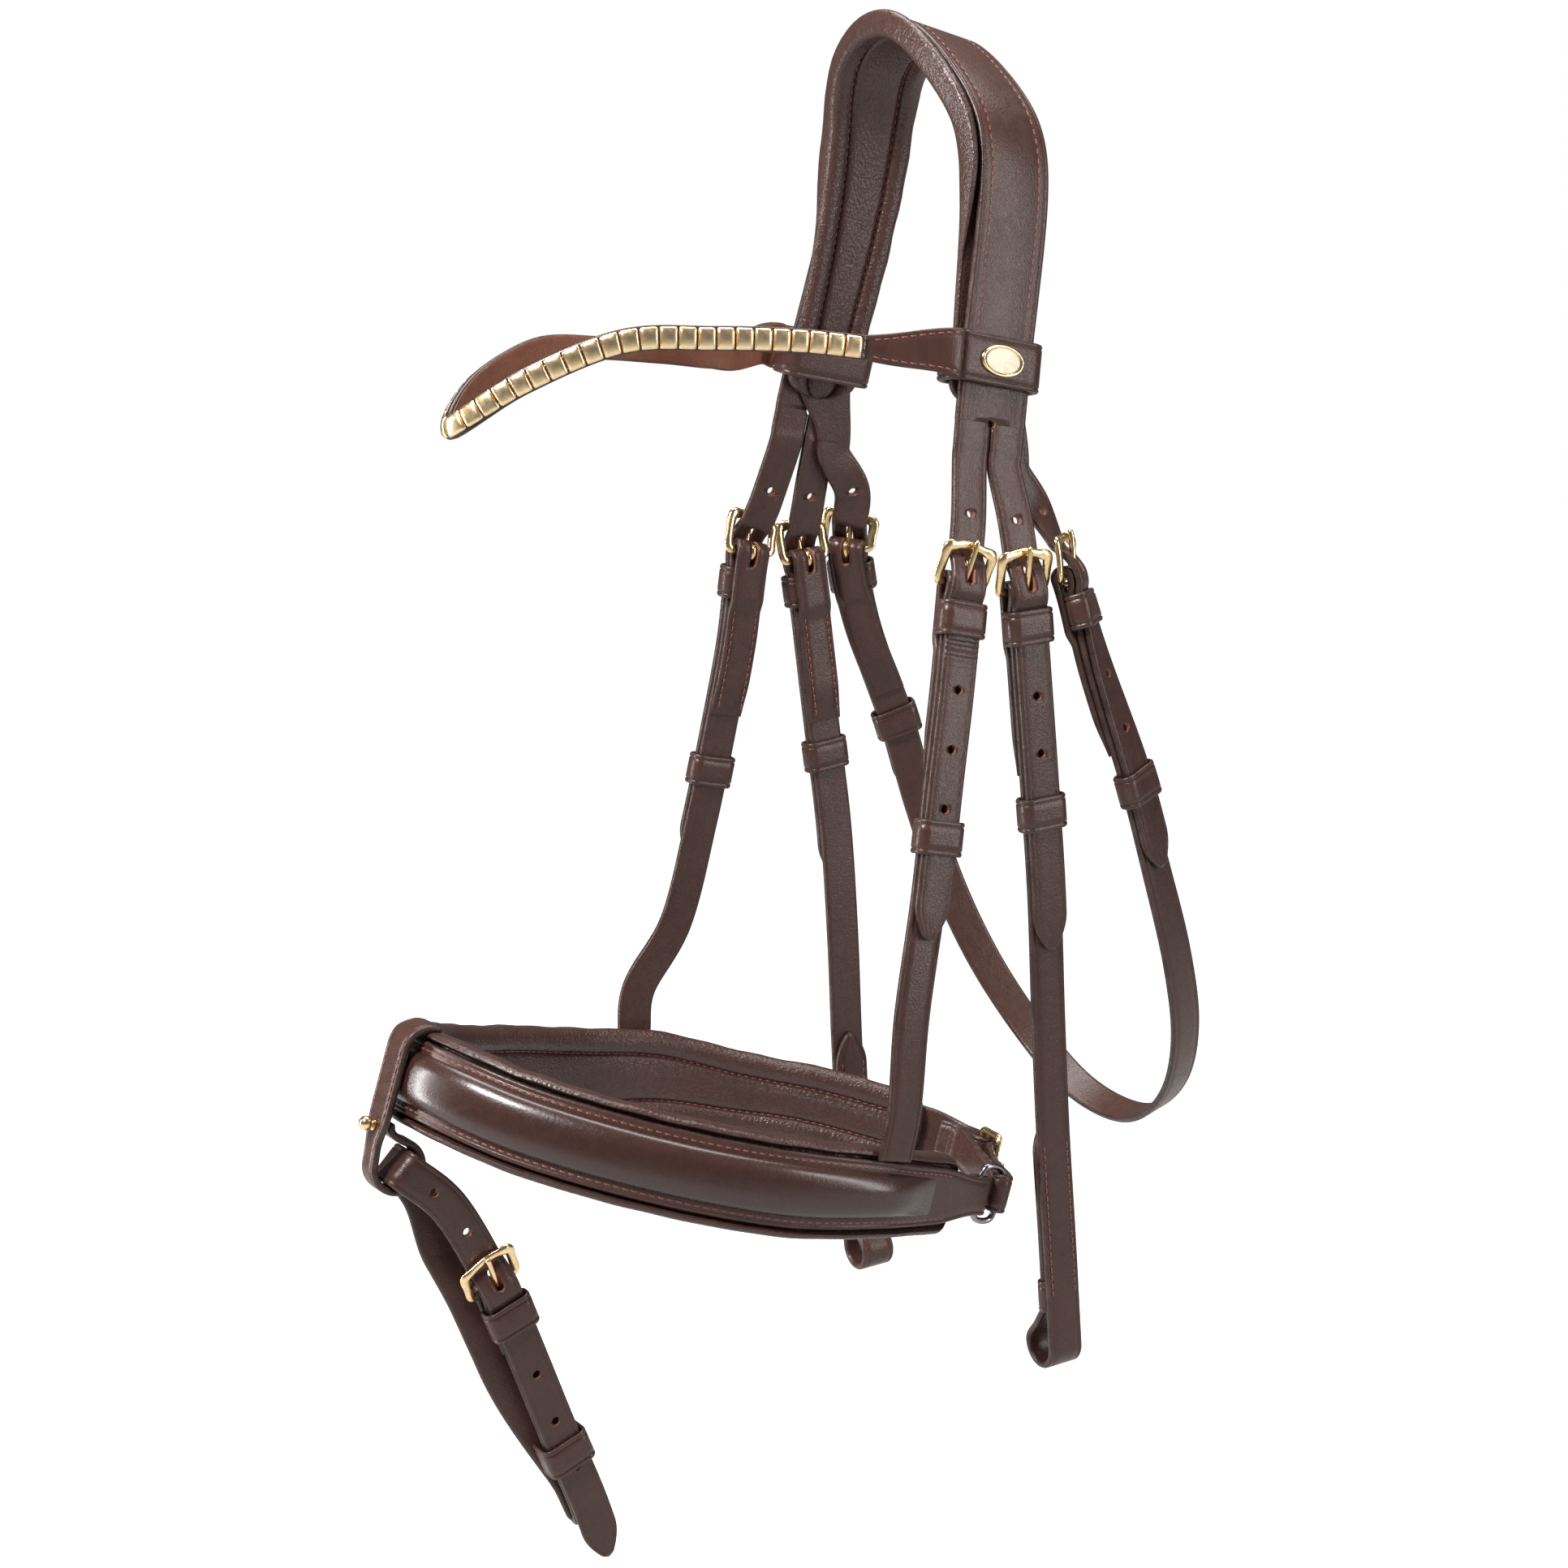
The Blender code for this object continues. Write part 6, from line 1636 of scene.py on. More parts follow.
@dataclass
class Billet:
    """A pointed strap with holes, which comes down from the headpiece through a buckle."""

    name: str
    space: Space
    seat: Seat
    start: float
    tail: float
    bends: tuple
    split: Sequence[Skin] = ()
    wrinkles: float = 0.0
    wrinkled_length: float = 0.012
    wrinkle_waves: tuple = (0.0019, 0.0013)
    bend_at: float = 0.0
    bend_half: float = 0.010
    crease: float = 0.4

    def wrinkled(self, path: Array) -> Array:
        """Returns the path with the small cross wrinkles that lie just below the keeper."""
        if not self.wrinkles:
            return path
        low = self.seat.below + 0.0005
        high = low + self.wrinkled_length
        length = lengths_along(path)
        finer = np.interp(np.arange(low, high, 0.0003), path[:, 0], length)
        at = np.unique(np.concatenate([length, finer]))
        s, n = (np.interp(at, length, path[:, k]) for k in (0, 1))
        fade = smooth_share(s, low, low + 0.001) * (1.0 - smooth_share(s, low + 0.003, high))
        coarse, small = (s / wave * math.tau for wave in self.wrinkle_waves)
        waves = np.sin(coarse) + 0.6 * np.sin(small + 1.0)
        return np.column_stack([s, n + self.wrinkles * fade * waves])

    def build(self, bench: Bench) -> None:
        """Adds the billet with its holes, fixed in world space on no body, in place of its solid.
        """
        path, width, thick = pointed(self.wrinkled(self.seat.billet(self.start, self.tail)))
        strip = Strip(self.space, path, width, thick, crease=self.crease, ends=(False, False))
        piece = bench.make(f"{self.name}_hide", [strip.skin()], Finish.STRAP)
        bench.cut_holes(piece, self.split)
        bench.cut_holes(piece, self.seat.holes(self.space, max(self.start, 0.0), self.tail))
        start = self.space.spot(self.bend_at - self.bend_half)
        end = self.space.spot(self.bend_at + self.bend_half)
        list(self.bends)
        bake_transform(piece)
        bench.fit(piece, "", self.name)


def hanging_route(
    crown: Crown, side: int, across: float, shares: Sequence, back: float = 0.0,
    ending: Sequence = (), lie: Sequence = (),
) -> Space:
    """Returns the space of a strap that hangs from one end of the headpiece.

    Args:
        crown: the headpiece's line.
        side: 1 for the near side, -1 for the off side.
        across: the strap's place across the headpiece.
        shares: the rows of its share table.
        back: a length that every row is set back by.
        ending: places that the strap ends at.
        lie: the direction outwards at each of them.

    Returns:
        The space, whose s of zero is the lower end of the headpiece.
    """
    above = (LIE_DOWN, 0.004, -0.004)
    reaches = [crown.split + reach for reach in above] + [crown.lead, 0.0]
    lead, outward = crown.lead_in(side, across, crown.leather_level, reaches)
    mirror = (side, 1.0, 1.0)
    last = np.array(ending, float).reshape(-1, 3) * mirror
    points = np.concatenate([lead, places_of(shares, back=back), last])
    hints = np.tile([1.0, 0.0, 0.0], (len(points), 1))
    hints[: len(lead)] = outward
    if len(lie):
        hints[-len(lie):] = np.array(lie, float) * mirror
    route = Route(points, hints, len(lead) - 1)
    return route if side > 0 else Mirrored(route)


@dataclass
class Cheekpiece:
    """One cheekpiece: billet, buckle, and the strap that turns round the bit."""

    crown: Crown
    side: int
    buckle_at: float = 0.0445
    tail: float = 0.131
    runner_at: float = 0.1245
    chape: float = 0.066
    loop_radius: float = 0.0074
    loop_return: float = 0.090
    loop_ease: float = 0.019
    loop_keeper_at: float = 0.0285
    upper_keeper_at: float = 0.0660
    loop_keeper_width: float = 0.0116
    stud_hole: float = 0.0019
    stud_at: float = 0.058

    def __post_init__(self) -> None:
        """Builds the strap's space."""
        self.label = "near_cheek" if self.side > 0 else "off_cheek"
        shares = NEAR_CHEEK_SHARES if self.side > 0 else OFF_CHEEK_SHARES
        self.space = hanging_route(self.crown, self.side, -self.crown.spacing / 2, shares)
        self.seat = Seat(self.buckle_at)
        self.body = self.label + "piece"

    def strap(self, bench: Bench) -> None:
        """Adds the strap with its folded foot, and the stitches through both."""
        seat, radius = self.seat, self.loop_radius
        foot = self.space.length - radius
        eased, back = foot - self.loop_ease, foot - self.loop_return
        rows = seat.folded(self.chape) + [(foot - LIE_DOWN, 0.0)]
        rows += arc(foot, -radius, radius, 0.0, -math.pi, 14)
        rows += [(foot - self.loop_ease / 2, -radius - LAYER / 4), (eased, -LAYER)]
        rows += [(eased - LIE_DOWN, -LAYER), (back, -LAYER)]
        path, width, thick = pointed(smooth_path(rows))
        thick = thick * skived(lengths_along(path))
        strip = Strip(self.space, path, width, thick, ends=(True, False))
        at = self.space.length - self.stud_at
        stud = hole_cutter(self.space, at, self.stud_hole, (-2 * LAYER, -STRAP_THICKNESS / 4))
        name = f"{self.label}_strap"
        cuts = [[seat.slot(self.space), stud]]
        bench.add(f"{name}_hide", [strip.skin()], Finish.SEWN, self.body, name, cuts=cuts)
        threads = []
        skin = STRAP_THICKNESS / 2
        for low, high, n, lift in (
            (seat.below + SEWN_FROM, seat.s + self.chape - SEWN_TO, -LAYER, -skin),
            (back + 0.010, eased - 0.002, 0.0, skin),
            (back + 0.012, eased - 0.002, -LAYER, -skin),
        ):
            path = level_path(np.linspace(low, high, 120), n)
            threads += Stitches().pair(self.space, path, STRAP_WIDTH / 2 - STITCH_INSET, lift)
        bench.sew(f"{name}_stitches", threads, self.body)

    def stud(self, bench: Bench) -> None:
        """Adds the hook stud on the inside of the foot."""
        base = -LAYER - STRAP_THICKNESS / 2
        profile = (
            (0.0022, 0.0016), (-GAP, 0.0016), (-GAP, 0.0026), (-0.0007, 0.0030), (-0.0013, 0.0029),
            (-0.0019, 0.0022), (-0.0022, 0.0011), (-0.0023, 0.0001),
        )
        rows = [(base + n, radius) for n, radius in profile]
        skin = turned(self.space, self.space.length - self.stud_at, rows)
        name = f"{self.label}_hook_stud"
        bench.add(f"{name}_cast", [skin], Finish.BRASS, self.body, name)

    def build(self, bench: Bench) -> None:
        """Adds every piece of the cheekpiece."""
        crown, seat, joint = self.crown, self.seat, ("headpiece", self.body)
        hole = [crown.split_hole(self.side)]
        name = f"{self.label}_billet"
        Billet(name, self.space, seat, -crown.split, self.tail, joint, hole).build(bench)
        fastening = Fastening(self.label, self.space, seat, self.body)
        fastening.build(bench, self.runner_at)
        self.strap(bench)
        self.stud(bench)
        keepers = [(f"{self.label}_loop_keeper", self.loop_keeper_at)]
        if self.side < 0:
            keepers.append(("", self.upper_keeper_at))
        for label, reach in keepers:
            at = self.space.length - reach
            fastening.band(bench, label, at, -LAYER, -LAYER, self.body, self.loop_keeper_width)


@dataclass
class Hanger:
    """One of the two straps that hold the noseband up."""

    crown: Crown
    side: int
    band: "Noseband"
    buckle_at: float = 0.0440
    tail: float = 0.125
    runner_at: float = 0.1330
    chape: float = 0.066
    spread: float = 0.0250
    near_share: float = 0.0905
    off_share: float = 0.6576
    off_forward: float = 0.012
    wrinkles: float = 0.00020

    def __post_init__(self) -> None:
        """Builds the strap's space."""
        self.label = "near_hanger" if self.side > 0 else "off_hanger"
        shares = NEAR_HANGER_SHARES if self.side > 0 else OFF_HANGER_SHARES
        band = self.band
        at = band.route.length * (self.near_share if self.side > 0 else self.off_share)
        at -= 0.0 if self.side > 0 else self.off_forward
        half = float(band.height(np.array([at]))[0]) / 2
        level = band.rim_out + 3 * GAP + STRAP_THICKNESS / 2
        ending = [band.route.spot(at, half + w, level) for w in (band.end_height, 2 * GAP)]
        across = self.crown.spacing / 2
        out = band.route.frames(np.array([at]))[3][0]
        back = -self.spread
        self.space = hanging_route(self.crown, self.side, across, shares, back, ending, [out] * 2)
        self.seat = Seat(self.buckle_at)

    def build(self, bench: Bench) -> None:
        """Adds every piece of the hanger."""
        crown, seat, space = self.crown, self.seat, self.space
        joint = ("headpiece", "noseband")
        hole = [crown.split_hole(self.side)]
        name = f"{self.label}_billet"
        Billet(name, space, seat, -crown.split, self.tail, joint, hole, self.wrinkles).build(bench)
        Fastening(self.label, space, seat, "noseband").build(bench, self.runner_at)
        path = smooth_path(seat.folded(self.chape) + [(space.length, 0.0)])
        thick = STRAP_THICKNESS * skived(lengths_along(path))
        skin = Strip(space, path, STRAP_WIDTH, thick).skin()
        name = f"{self.label}_strap"
        bench.add(f"{name}_hide", [skin], Finish.STRAP, "noseband", name, cuts=[[seat.slot(space)]])
        s = np.linspace(seat.below + SEWN_FROM, seat.s + self.chape - SEWN_TO, 100)
        path = level_path(s, -LAYER)
        half = STRAP_WIDTH / 2 - STITCH_INSET
        threads = Stitches().pair(space, path, half, -STRAP_THICKNESS / 2)
        bench.sew(f"{name}_stitches", threads, "noseband")


@dataclass
class Throatlatch:
    """The strap under the throat, with a billet and a buckle on each side."""

    crown: Crown
    buckle_at: float = 0.0440
    tail: float = 0.113
    runner_at: float = 0.1240
    chape: float = 0.066
    spread: float = 0.0200
    billet_rise: float = 0.004

    def __post_init__(self) -> None:
        """Builds the strap's space."""
        crown = self.crown
        level = crown.inner_level - crown.throat_inset
        near, near_out = crown.lead_in(1, -crown.throat_back, level, (0.012, 0.0))
        off, off_out = crown.lead_in(-1, -crown.throat_back, level, (0.012, 0.0))
        mirror = (-1.0, 1.0, 1.0)
        outward = np.array(THROAT_OUTWARD_SHARES, float)
        far = places_of(THROAT_SHARES, -1, self.spread)
        far[:, 1] += np.array(OFF_THROAT_BACK_SHARES) * FACE_DEPTH
        shares = places_of(THROAT_SHARES, back=self.spread)
        points = np.concatenate([near, shares, far[-2::-1], off[::-1] * mirror])
        far_outward = (outward * mirror)[-2::-1]
        hints = np.concatenate([near_out, outward, far_outward, off_out[::-1] * mirror])
        hints[1], hints[-2] = (1.0, 0.0, 0.0), (-1.0, 0.0, 0.0)
        self.route = TrimmedRoute(points, hints, 1)
        self.seat = Seat(self.buckle_at)

    def build(self, bench: Bench) -> None:
        """Adds every piece of the throatlatch."""
        seat, route, back = self.seat, self.route, Reversed(self.route)
        joint = ("headpiece", "throatlatch")
        for label, space in (("near_throat", route), ("off_throat", back)):
            billet = Billet(f"{label}_billet", space, seat, -self.billet_rise, self.tail, joint)
            billet.bend_at, billet.bend_half = 0.002, 0.006
            billet.build(bench)
            Fastening(label, space, seat, "throatlatch").build(bench, self.runner_at)
        path = smooth_path(seat.folded(self.chape) + [(route.length / 2, 0.0)])
        path = np.concatenate([path, path[-2::-1] * (-1.0, 1.0) + (route.length, 0.0)])
        length = lengths_along(path)
        thick = STRAP_THICKNESS * skived(np.minimum(length, length[-1] - length))
        skin = Strip(route, path, STRAP_WIDTH, thick).skin()
        cuts = [[seat.slot(route), seat.slot(back)]]
        name = "throatlatch_strap"
        bench.add(f"{name}_hide", [skin], Finish.STRAP, "throatlatch", name, cuts=cuts)


class TrimmedRoute(Route):
    """A route with one point more before and after the part that counts."""

    def __init__(self, points: Array, outward: Array, first: int) -> None:
        """Takes the points, with first of them before s of zero and after the end."""
        super().__init__(points, outward, first)
        self.length = float(self.lengths[-1 - first * ROUTE_STEPS])


@dataclass
class Noseband:
    """The noseband: raised leather, rolled padding, the end ring and the chin strap."""

    full_height: float = 0.0330
    end_height: float = 0.0200
    taper: float = 0.105
    rim: float = 0.0030
    raised: float = 0.0042
    edge: float = 0.0034
    raise_at: float = 0.0310
    raise_run: float = 0.030
    padding_at: float = 0.0180
    padding_depth: float = 0.0062
    rim_depth: float = 0.0082
    channel: float = 0.0014
    roll: float = 0.0018
    rim_out: float = 0.0006
    far_drop: float = 0.0034
    far_shares: tuple = (0.42, 0.54)
    raise_end: float = 0.004
    dome_powers: tuple = (2.6, 0.62)
    dome_lift: float = 0.0003
    dome_sink: float = 0.0002
    dome_base: float = 0.0006
    sewn_gap: float = 0.0007
    off_end: float = 0.75
    ring_radius: float = 0.0012
    ring_height: float = 0.0230
    fold_width: float = 0.0142
    fold_return: float = 0.016
    chape: float = 0.0240
    chin_length: float = 0.0880
    chin_tail: float = 0.0520
    chin_start: float = 0.0180
    ring_tilt: float = math.radians(17)
    keeper_offset: float = 0.0064

    def __post_init__(self) -> None:
        """Builds the line round the nose and under the chin."""
        self.axis = np.array([0.0, math.sin(self.ring_tilt), math.cos(self.ring_tilt)])
        points = places_of(NOSEBAND_SHARES)
        self.route = Route(points, unit(np.cross(self.axis, runs_of(points))))
        self.bar = self.route.length - self.chin_length
        self.fold = self.ring_radius + GAP + STRAP_THICKNESS / 2
        self.seat = Seat(self.chin_length)

    def height(self, s: Array) -> Array:
        """Returns the height of the leather at each s."""
        reach = np.minimum(s, self.route.length * self.off_end - s)
        full = self.full_height - 2 * self.rim
        return self.end_height + (full - self.end_height) * smooth_share(reach, 0.0, self.taper)

    def width(self, s: Array) -> Array:
        """Returns the width of the leather, which narrows to its folded ends."""
        widening = smooth_share(s, self.fold, self.raise_at)
        narrowing = smooth_share(self.bar - s, 3 * self.seat.fold, self.raise_run)
        return self.fold_width + (self.height(s) - self.fold_width) * widening * narrowing

    def rise(self, s: Array) -> Array:
        """Returns how far the middle is raised at each s."""
        reach = np.minimum(s - self.raise_at, self.route.length * self.off_end - s)
        return self.raised * smooth_share(reach, 0.0, self.raise_run)

    def band_path(self) -> Array:
        """Returns the (s, n) path of the leather, from one folded end to the other."""
        fold, bar = self.seat.fold, self.bar
        rows = [(self.fold_return, -LAYER), (self.fold_return / 2, -LAYER - GAP)]
        rows += arc(0.0, -self.fold, self.fold, math.pi, -math.pi) + [(0.012, 0.0)]
        rows += [(bar - 2 * fold - 0.012, 0.0), (bar - 2 * fold, GAP / 2), (bar - fold, fold / 3)]
        rows += arc(bar, -LAYER / 2, fold, 0.0, -math.pi) + [(bar - self.chape, -LAYER / 2 - fold)]
        return smooth_path(rows)

    def leather(self, bench: Bench) -> None:
        """Adds the leather with its folded ends."""
        path = self.band_path()
        on_top = path[:, 1] > -LAYER / 4
        width = np.where(on_top, self.width(path[:, 0]), self.fold_width)
        skin = Strip(self.route, path, width, STRAP_THICKNESS).skin()
        cuts = [[self.seat.slot(Reversed(self.route))]]
        bench.add("noseband_hide", [skin], Finish.SEWN, "noseband", "noseband_band", cuts=cuts)

    def raised_middle(self, bench: Bench) -> None:
        """Adds the polished raised middle and the stitch row on each side of it."""
        high = self.route.length * self.off_end - self.raise_end
        s = np.linspace(self.raise_at + self.raise_end, high, 300)
        half = (self.width(s) / 2 - self.edge - self.dome_base)[:, None]
        face, (wide, tall) = STRAP_THICKNESS / 2, self.dome_powers
        u = np.cos(np.linspace(0.0, math.pi, 41))[None, :]
        dome = (1.0 - np.abs(u) ** wide) ** tall
        top = face - self.dome_sink + dome * (self.rise(s)[:, None] + self.dome_lift)
        flat = np.linspace(-1.0, 1.0, 7)[None, 1:-1]
        base = np.full((len(s), flat.shape[1]), face - self.dome_base)
        w = np.concatenate([half * u, half * flat], axis=1)
        n = np.concatenate([top, base], axis=1)
        skin = skin_of(self.route.place(s[:, None], w, n), np.zeros(w.shape[1]))
        name = "noseband_raised_hide"
        bench.add(name, [skin], Finish.POLISHED, "noseband", "noseband_band", crease=RAISED_CREASE)
        s = np.linspace(self.raise_at - 0.006, high + 0.012, 500)
        half = self.width(s) / 2 - self.edge + self.sewn_gap
        threads = Stitches().pair(self.route, level_path(s, 0.0), half, STRAP_THICKNESS / 2)
        bench.sew("noseband_stitches", threads, "noseband")

    def padding_sections(self, s: Array) -> Array:
        """Returns the (w, n) section of the padding at each s."""
        under = -STRAP_THICKNESS / 2 - GAP
        out = self.rim_out
        inner = under - self.padding_depth
        leather = self.height(s) / 2
        half = leather + self.rim
        lip = leather + 2 * GAP
        depth, channel = self.rim_depth, self.channel
        right = (
            (lip - 0.0022, under), (lip - 0.0002, under + 0.0001), (lip + 0.0003, under + 0.0008),
            (lip + 0.0009, out + 0.0001), (lip + self.rim * 0.45, out + 0.0007),
            (half + 0.0004, out - 0.0004), (half + 0.0012, under - 0.0018),
            (half + 0.0009, inner + self.roll * 1.1), (half - depth * 0.16, inner - 0.0003),
            (half - depth * 0.55, inner - 0.0008), (half - depth * 0.86, inner + 0.0001),
            (half - depth, inner + channel), (half - depth * 1.13, inner + channel * 0.25),
            (half - depth * 1.35, inner - 0.0001),
        )
        start, end = (share * self.route.length for share in self.far_shares)
        far = self.far_drop * smooth_share(s, start, end)
        left = tuple((-w - far, n) for w, n in reversed(right))
        return section_rows(right + ((0.0, inner - 0.0002),) + left, len(s))

    def padding(self, bench: Bench) -> None:
        """Adds the padding with its rolled rims, and the stitches of its two channels."""
        end = self.route.length - self.chin_length - self.chape - self.keeper_offset
        s = np.linspace(self.padding_at, end, 330)
        pad = Cushion("noseband_cushion", self.route, s, self.padding_sections, seed=5)
        pad.build(bench, "noseband", "noseband_padding", (11, -12))

    def end_ring(self, bench: Bench) -> None:
        """Adds the oval ring that joins the near end to the chin strap."""
        route = self.route
        bar = route.spot(0.0, 0.0, -self.fold)
        chin = route.spot(route.length)
        ends = route.frames(np.array([0.0, route.length]))
        across = unit(ends[2][0] + ends[2][1])
        along = chin - bar
        along = along - across * along.dot(across)
        space = Flat((bar + chin) / 2, along, np.cross(across, along))
        half, high = np.linalg.norm(along) / 2, self.ring_height / 2 - self.ring_radius
        c = min(0.0034, half * 0.9)
        quarter = [(half, 0.3 * high), (half, high - c)]
        quarter += [(half - c * 0.3, high - c * 0.3), (half - c, high)]
        outline = quarter + [(-s, w) for s, w in reversed(quarter)]
        outline += [(-s, -w) for s, w in quarter] + [(s, -w) for s, w in reversed(quarter)]
        ring = smooth_loop(np.array(outline), 5)
        points = np.column_stack([ring, np.zeros(len(ring))])
        skin = round_bar(space, points, np.array([0.0, 0.0, 1.0]), self.ring_radius, closed=True)
        name = "noseband_end_ring"
        bench.add(f"{name}_cast", [skin], Finish.STEEL, "noseband", name, crease=SMOOTH_CREASE)

    def chin(self, bench: Bench) -> None:
        """Adds the chin strap, its buckle and the buckle's tongue."""
        back = Reversed(self.route)
        seat, radius = self.seat, self.fold
        inner = seat.bar_n - seat.fold - LAYER
        rows = [(seat.s + self.chin_start, inner), (seat.s, inner)]
        for s in np.arange(seat.s - 0.012, 2 * radius + 0.006, -0.012):
            lift = smooth_share(seat.s - s, 0.0, seat.s - self.chin_start)
            rows.append((s, inner + (-radius - inner) * lift))
        rows += [(2 * radius, -radius)] + arc(0.0, 0.0, radius, math.pi, -math.pi)
        rows += [(2 * radius, radius * 0.95), (self.chin_start, radius * 0.5)]
        start, tail = 2 * self.chin_start, self.chin_tail
        path = np.concatenate([smooth_path(rows)[:-1], seat.billet(start, tail)])
        path, width, thick = pointed(path)
        skin = Strip(back, path, width, thick, ends=(True, False)).skin()
        cuts = [seat.holes(back, start, tail)]
        bench.add("chin_strap_hide", [skin], Finish.STRAP, "noseband", "chin_strap", cuts=cuts)
        fastening = Fastening("chin", back, seat, "noseband")
        fastening.buckle(bench)
        fastening.tongue(bench)

    def build(self, bench: Bench) -> None:
        """Adds every piece of the noseband."""
        self.leather(bench)
        self.raised_middle(bench)
        self.padding(bench)
        self.end_ring(bench)
        self.chin(bench)


@dataclass
class Flash:
    """The flash strap, and the tab and stud on the noseband that hold it."""

    band: Noseband
    tab_width: float = 0.0150
    loop_width: float = 0.0100
    drop: float = 0.0323
    set_back: float = 0.0028
    half_spread: float = 0.0078
    turn: float = 0.0030
    buckle_at: float = 0.0610
    tail: float = 0.1200
    runner_at: float = 0.1340
    fold_at: float = 0.1640
    chape: float = 0.0270
    fold: float = 0.0022
    spread_end: float = 0.1550
    forward: float = 0.0090
    stud_at: float = 0.0195
    stud_hole: float = 0.0015
    ball_rise: float = 0.0034
    ball_radius: float = 0.0026
    front_row: int = 8

    def __post_init__(self) -> None:
        """Builds the space of the tab and the line of the strap."""
        axis = self.band.axis
        front = places_of(NOSEBAND_SHARES)[self.front_row]
        self.space = Flat(front, -axis, np.cross(axis, (-1.0, 0.0, 0.0)))
        self.level = STRAP_THICKNESS + self.band.raised + GAP
        corner = math.hypot(STRAP_WIDTH / 2, STRAP_THICKNESS / 2)
        self.radius = corner + 2 * GAP + STRAP_THICKNESS / 2
        crossing = self.space.spot(self.drop, 0.0, -self.set_back)
        start = crossing + (self.half_spread, 0.0, 0.0)
        points = np.concatenate([[start], places_of(FLASH_SHARES)])
        self.route = Route(points, np.tile([1.0, 0.0, 0.0], (len(points), 1)))
        self.seat = Seat(self.buckle_at)

    def tab(self, bench: Bench) -> None:
        """Adds the tab that hooks over the noseband and loops round the flash strap."""
        top = self.band.full_height / 2 + GAP + STRAP_THICKNESS / 2
        level, radius, drop = self.level, self.radius, self.drop
        hook = ((1.0, -0.6), (1.0, -0.15), (0.94, 0.3), (0.76, 0.85))
        rows = [(-top * share, level * lift) for share, lift in hook]
        rows += [(s, level) for s in (-top * 0.5, 0.0, top * 0.5, top, drop - radius)]
        rows += arc(drop, -self.set_back, radius, 0.0, -math.pi * 1.5, 24)
        rows += [(drop - radius * 1.1, 0.0), (drop - radius * 1.3, level * 0.42)]
        path = smooth_path(rows + [(top * 0.96, level - LAYER - GAP / 2)])
        share = smooth_share(lengths_along(path), 0.040, 0.054)
        width = self.tab_width + (self.loop_width - self.tab_width) * share
        skin = Strip(self.space, path, width, STRAP_THICKNESS).skin()
        cuts = [[hole_cutter(self.space, self.stud_at, self.stud_hole, (0.0, 2 * level))]]
        bench.add("flash_tab_hide", [skin], Finish.SEWN, "noseband", "flash_tab", cuts=cuts)
        path = level_path(np.linspace(-top * 0.5, top * 0.92, 60), level)
        half = self.tab_width / 2 - STITCH_INSET
        threads = Stitches().pair(self.space, path, half, STRAP_THICKNESS / 2)
        bench.sew("flash_tab_stitches", threads, "noseband")

    def stud(self, bench: Bench) -> None:
        """Adds the round-headed stud that the tab buttons on to."""
        base = self.level + STRAP_THICKNESS / 2
        foot = (
            (0.0002, 0.0013), (0.0002, 0.0021), (0.0007, 0.0022), (0.0010, 0.0014),
            (0.0014, 0.0014),
        )
        profile = [(self.level - 2 * LAYER, 0.0012)] + [(base + n, radius) for n, radius in foot]
        ball, size = base + self.ball_rise, self.ball_radius
        for angle in np.radians(np.linspace(-58, 90, 14)):
            profile.append((ball + size * math.sin(angle), max(size * math.cos(angle), 0.00005)))
        skin = turned(self.space, self.stud_at, profile)
        bench.add("flash_stud_cast", [skin], Finish.BRASS, "noseband", "flash_stud")

    def strap_path(self) -> Array:
        """Returns the path of the one strap that crosses itself at its buckle."""
        seat, fold, turn = self.seat, self.fold, self.turn
        spread = 2 * self.half_spread
        rows = seat.folded(self.chape) + arc(self.fold_at - fold, -fold, fold, 0.0, -math.pi)
        for s in np.arange(self.fold_at - fold - 0.012, 2 * turn, -0.010):
            leaving = max(0.0, (self.spread_end - s) / (self.spread_end - turn))
            rows.append((s, -2 * fold - (spread - 2 * fold) * leaving))
        rows += arc(turn, -spread + turn, turn, math.pi, -math.pi / 2, 6)
        rows += arc(turn, -turn, turn, math.pi / 2, -math.pi / 2, 6)
        return np.concatenate([smooth_path(rows)[:-1], seat.billet(turn + 0.0005, self.tail)])

    def strap(self, bench: Bench) -> None:
        """Adds the strap, its buckle, tongue, keeper and runner."""
        seat, name = self.seat, "flash_strap"
        path, width, thick = pointed(self.strap_path())
        inner = smooth_share(-path[:, 1], 0.0034, 0.0090) * smooth_share(path[:, 0], 0.004, 0.045)
        aside = self.forward * inner
        skin = Strip(self.route, path, width, thick, aside, ends=(True, False)).skin()
        cuts = [[seat.slot(self.route)], seat.holes(self.route, 0.002, self.tail)]
        bench.add(f"{name}_hide", [skin], Finish.STRAP, name, name, cuts=cuts)
        Fastening("flash", self.route, seat, name).build(bench, self.runner_at, -2 * self.fold)

    def build(self, bench: Bench) -> None:
        """Adds the tab, the stud and the strap."""
        self.tab(bench)
        self.stud(bench)
        self.strap(bench)


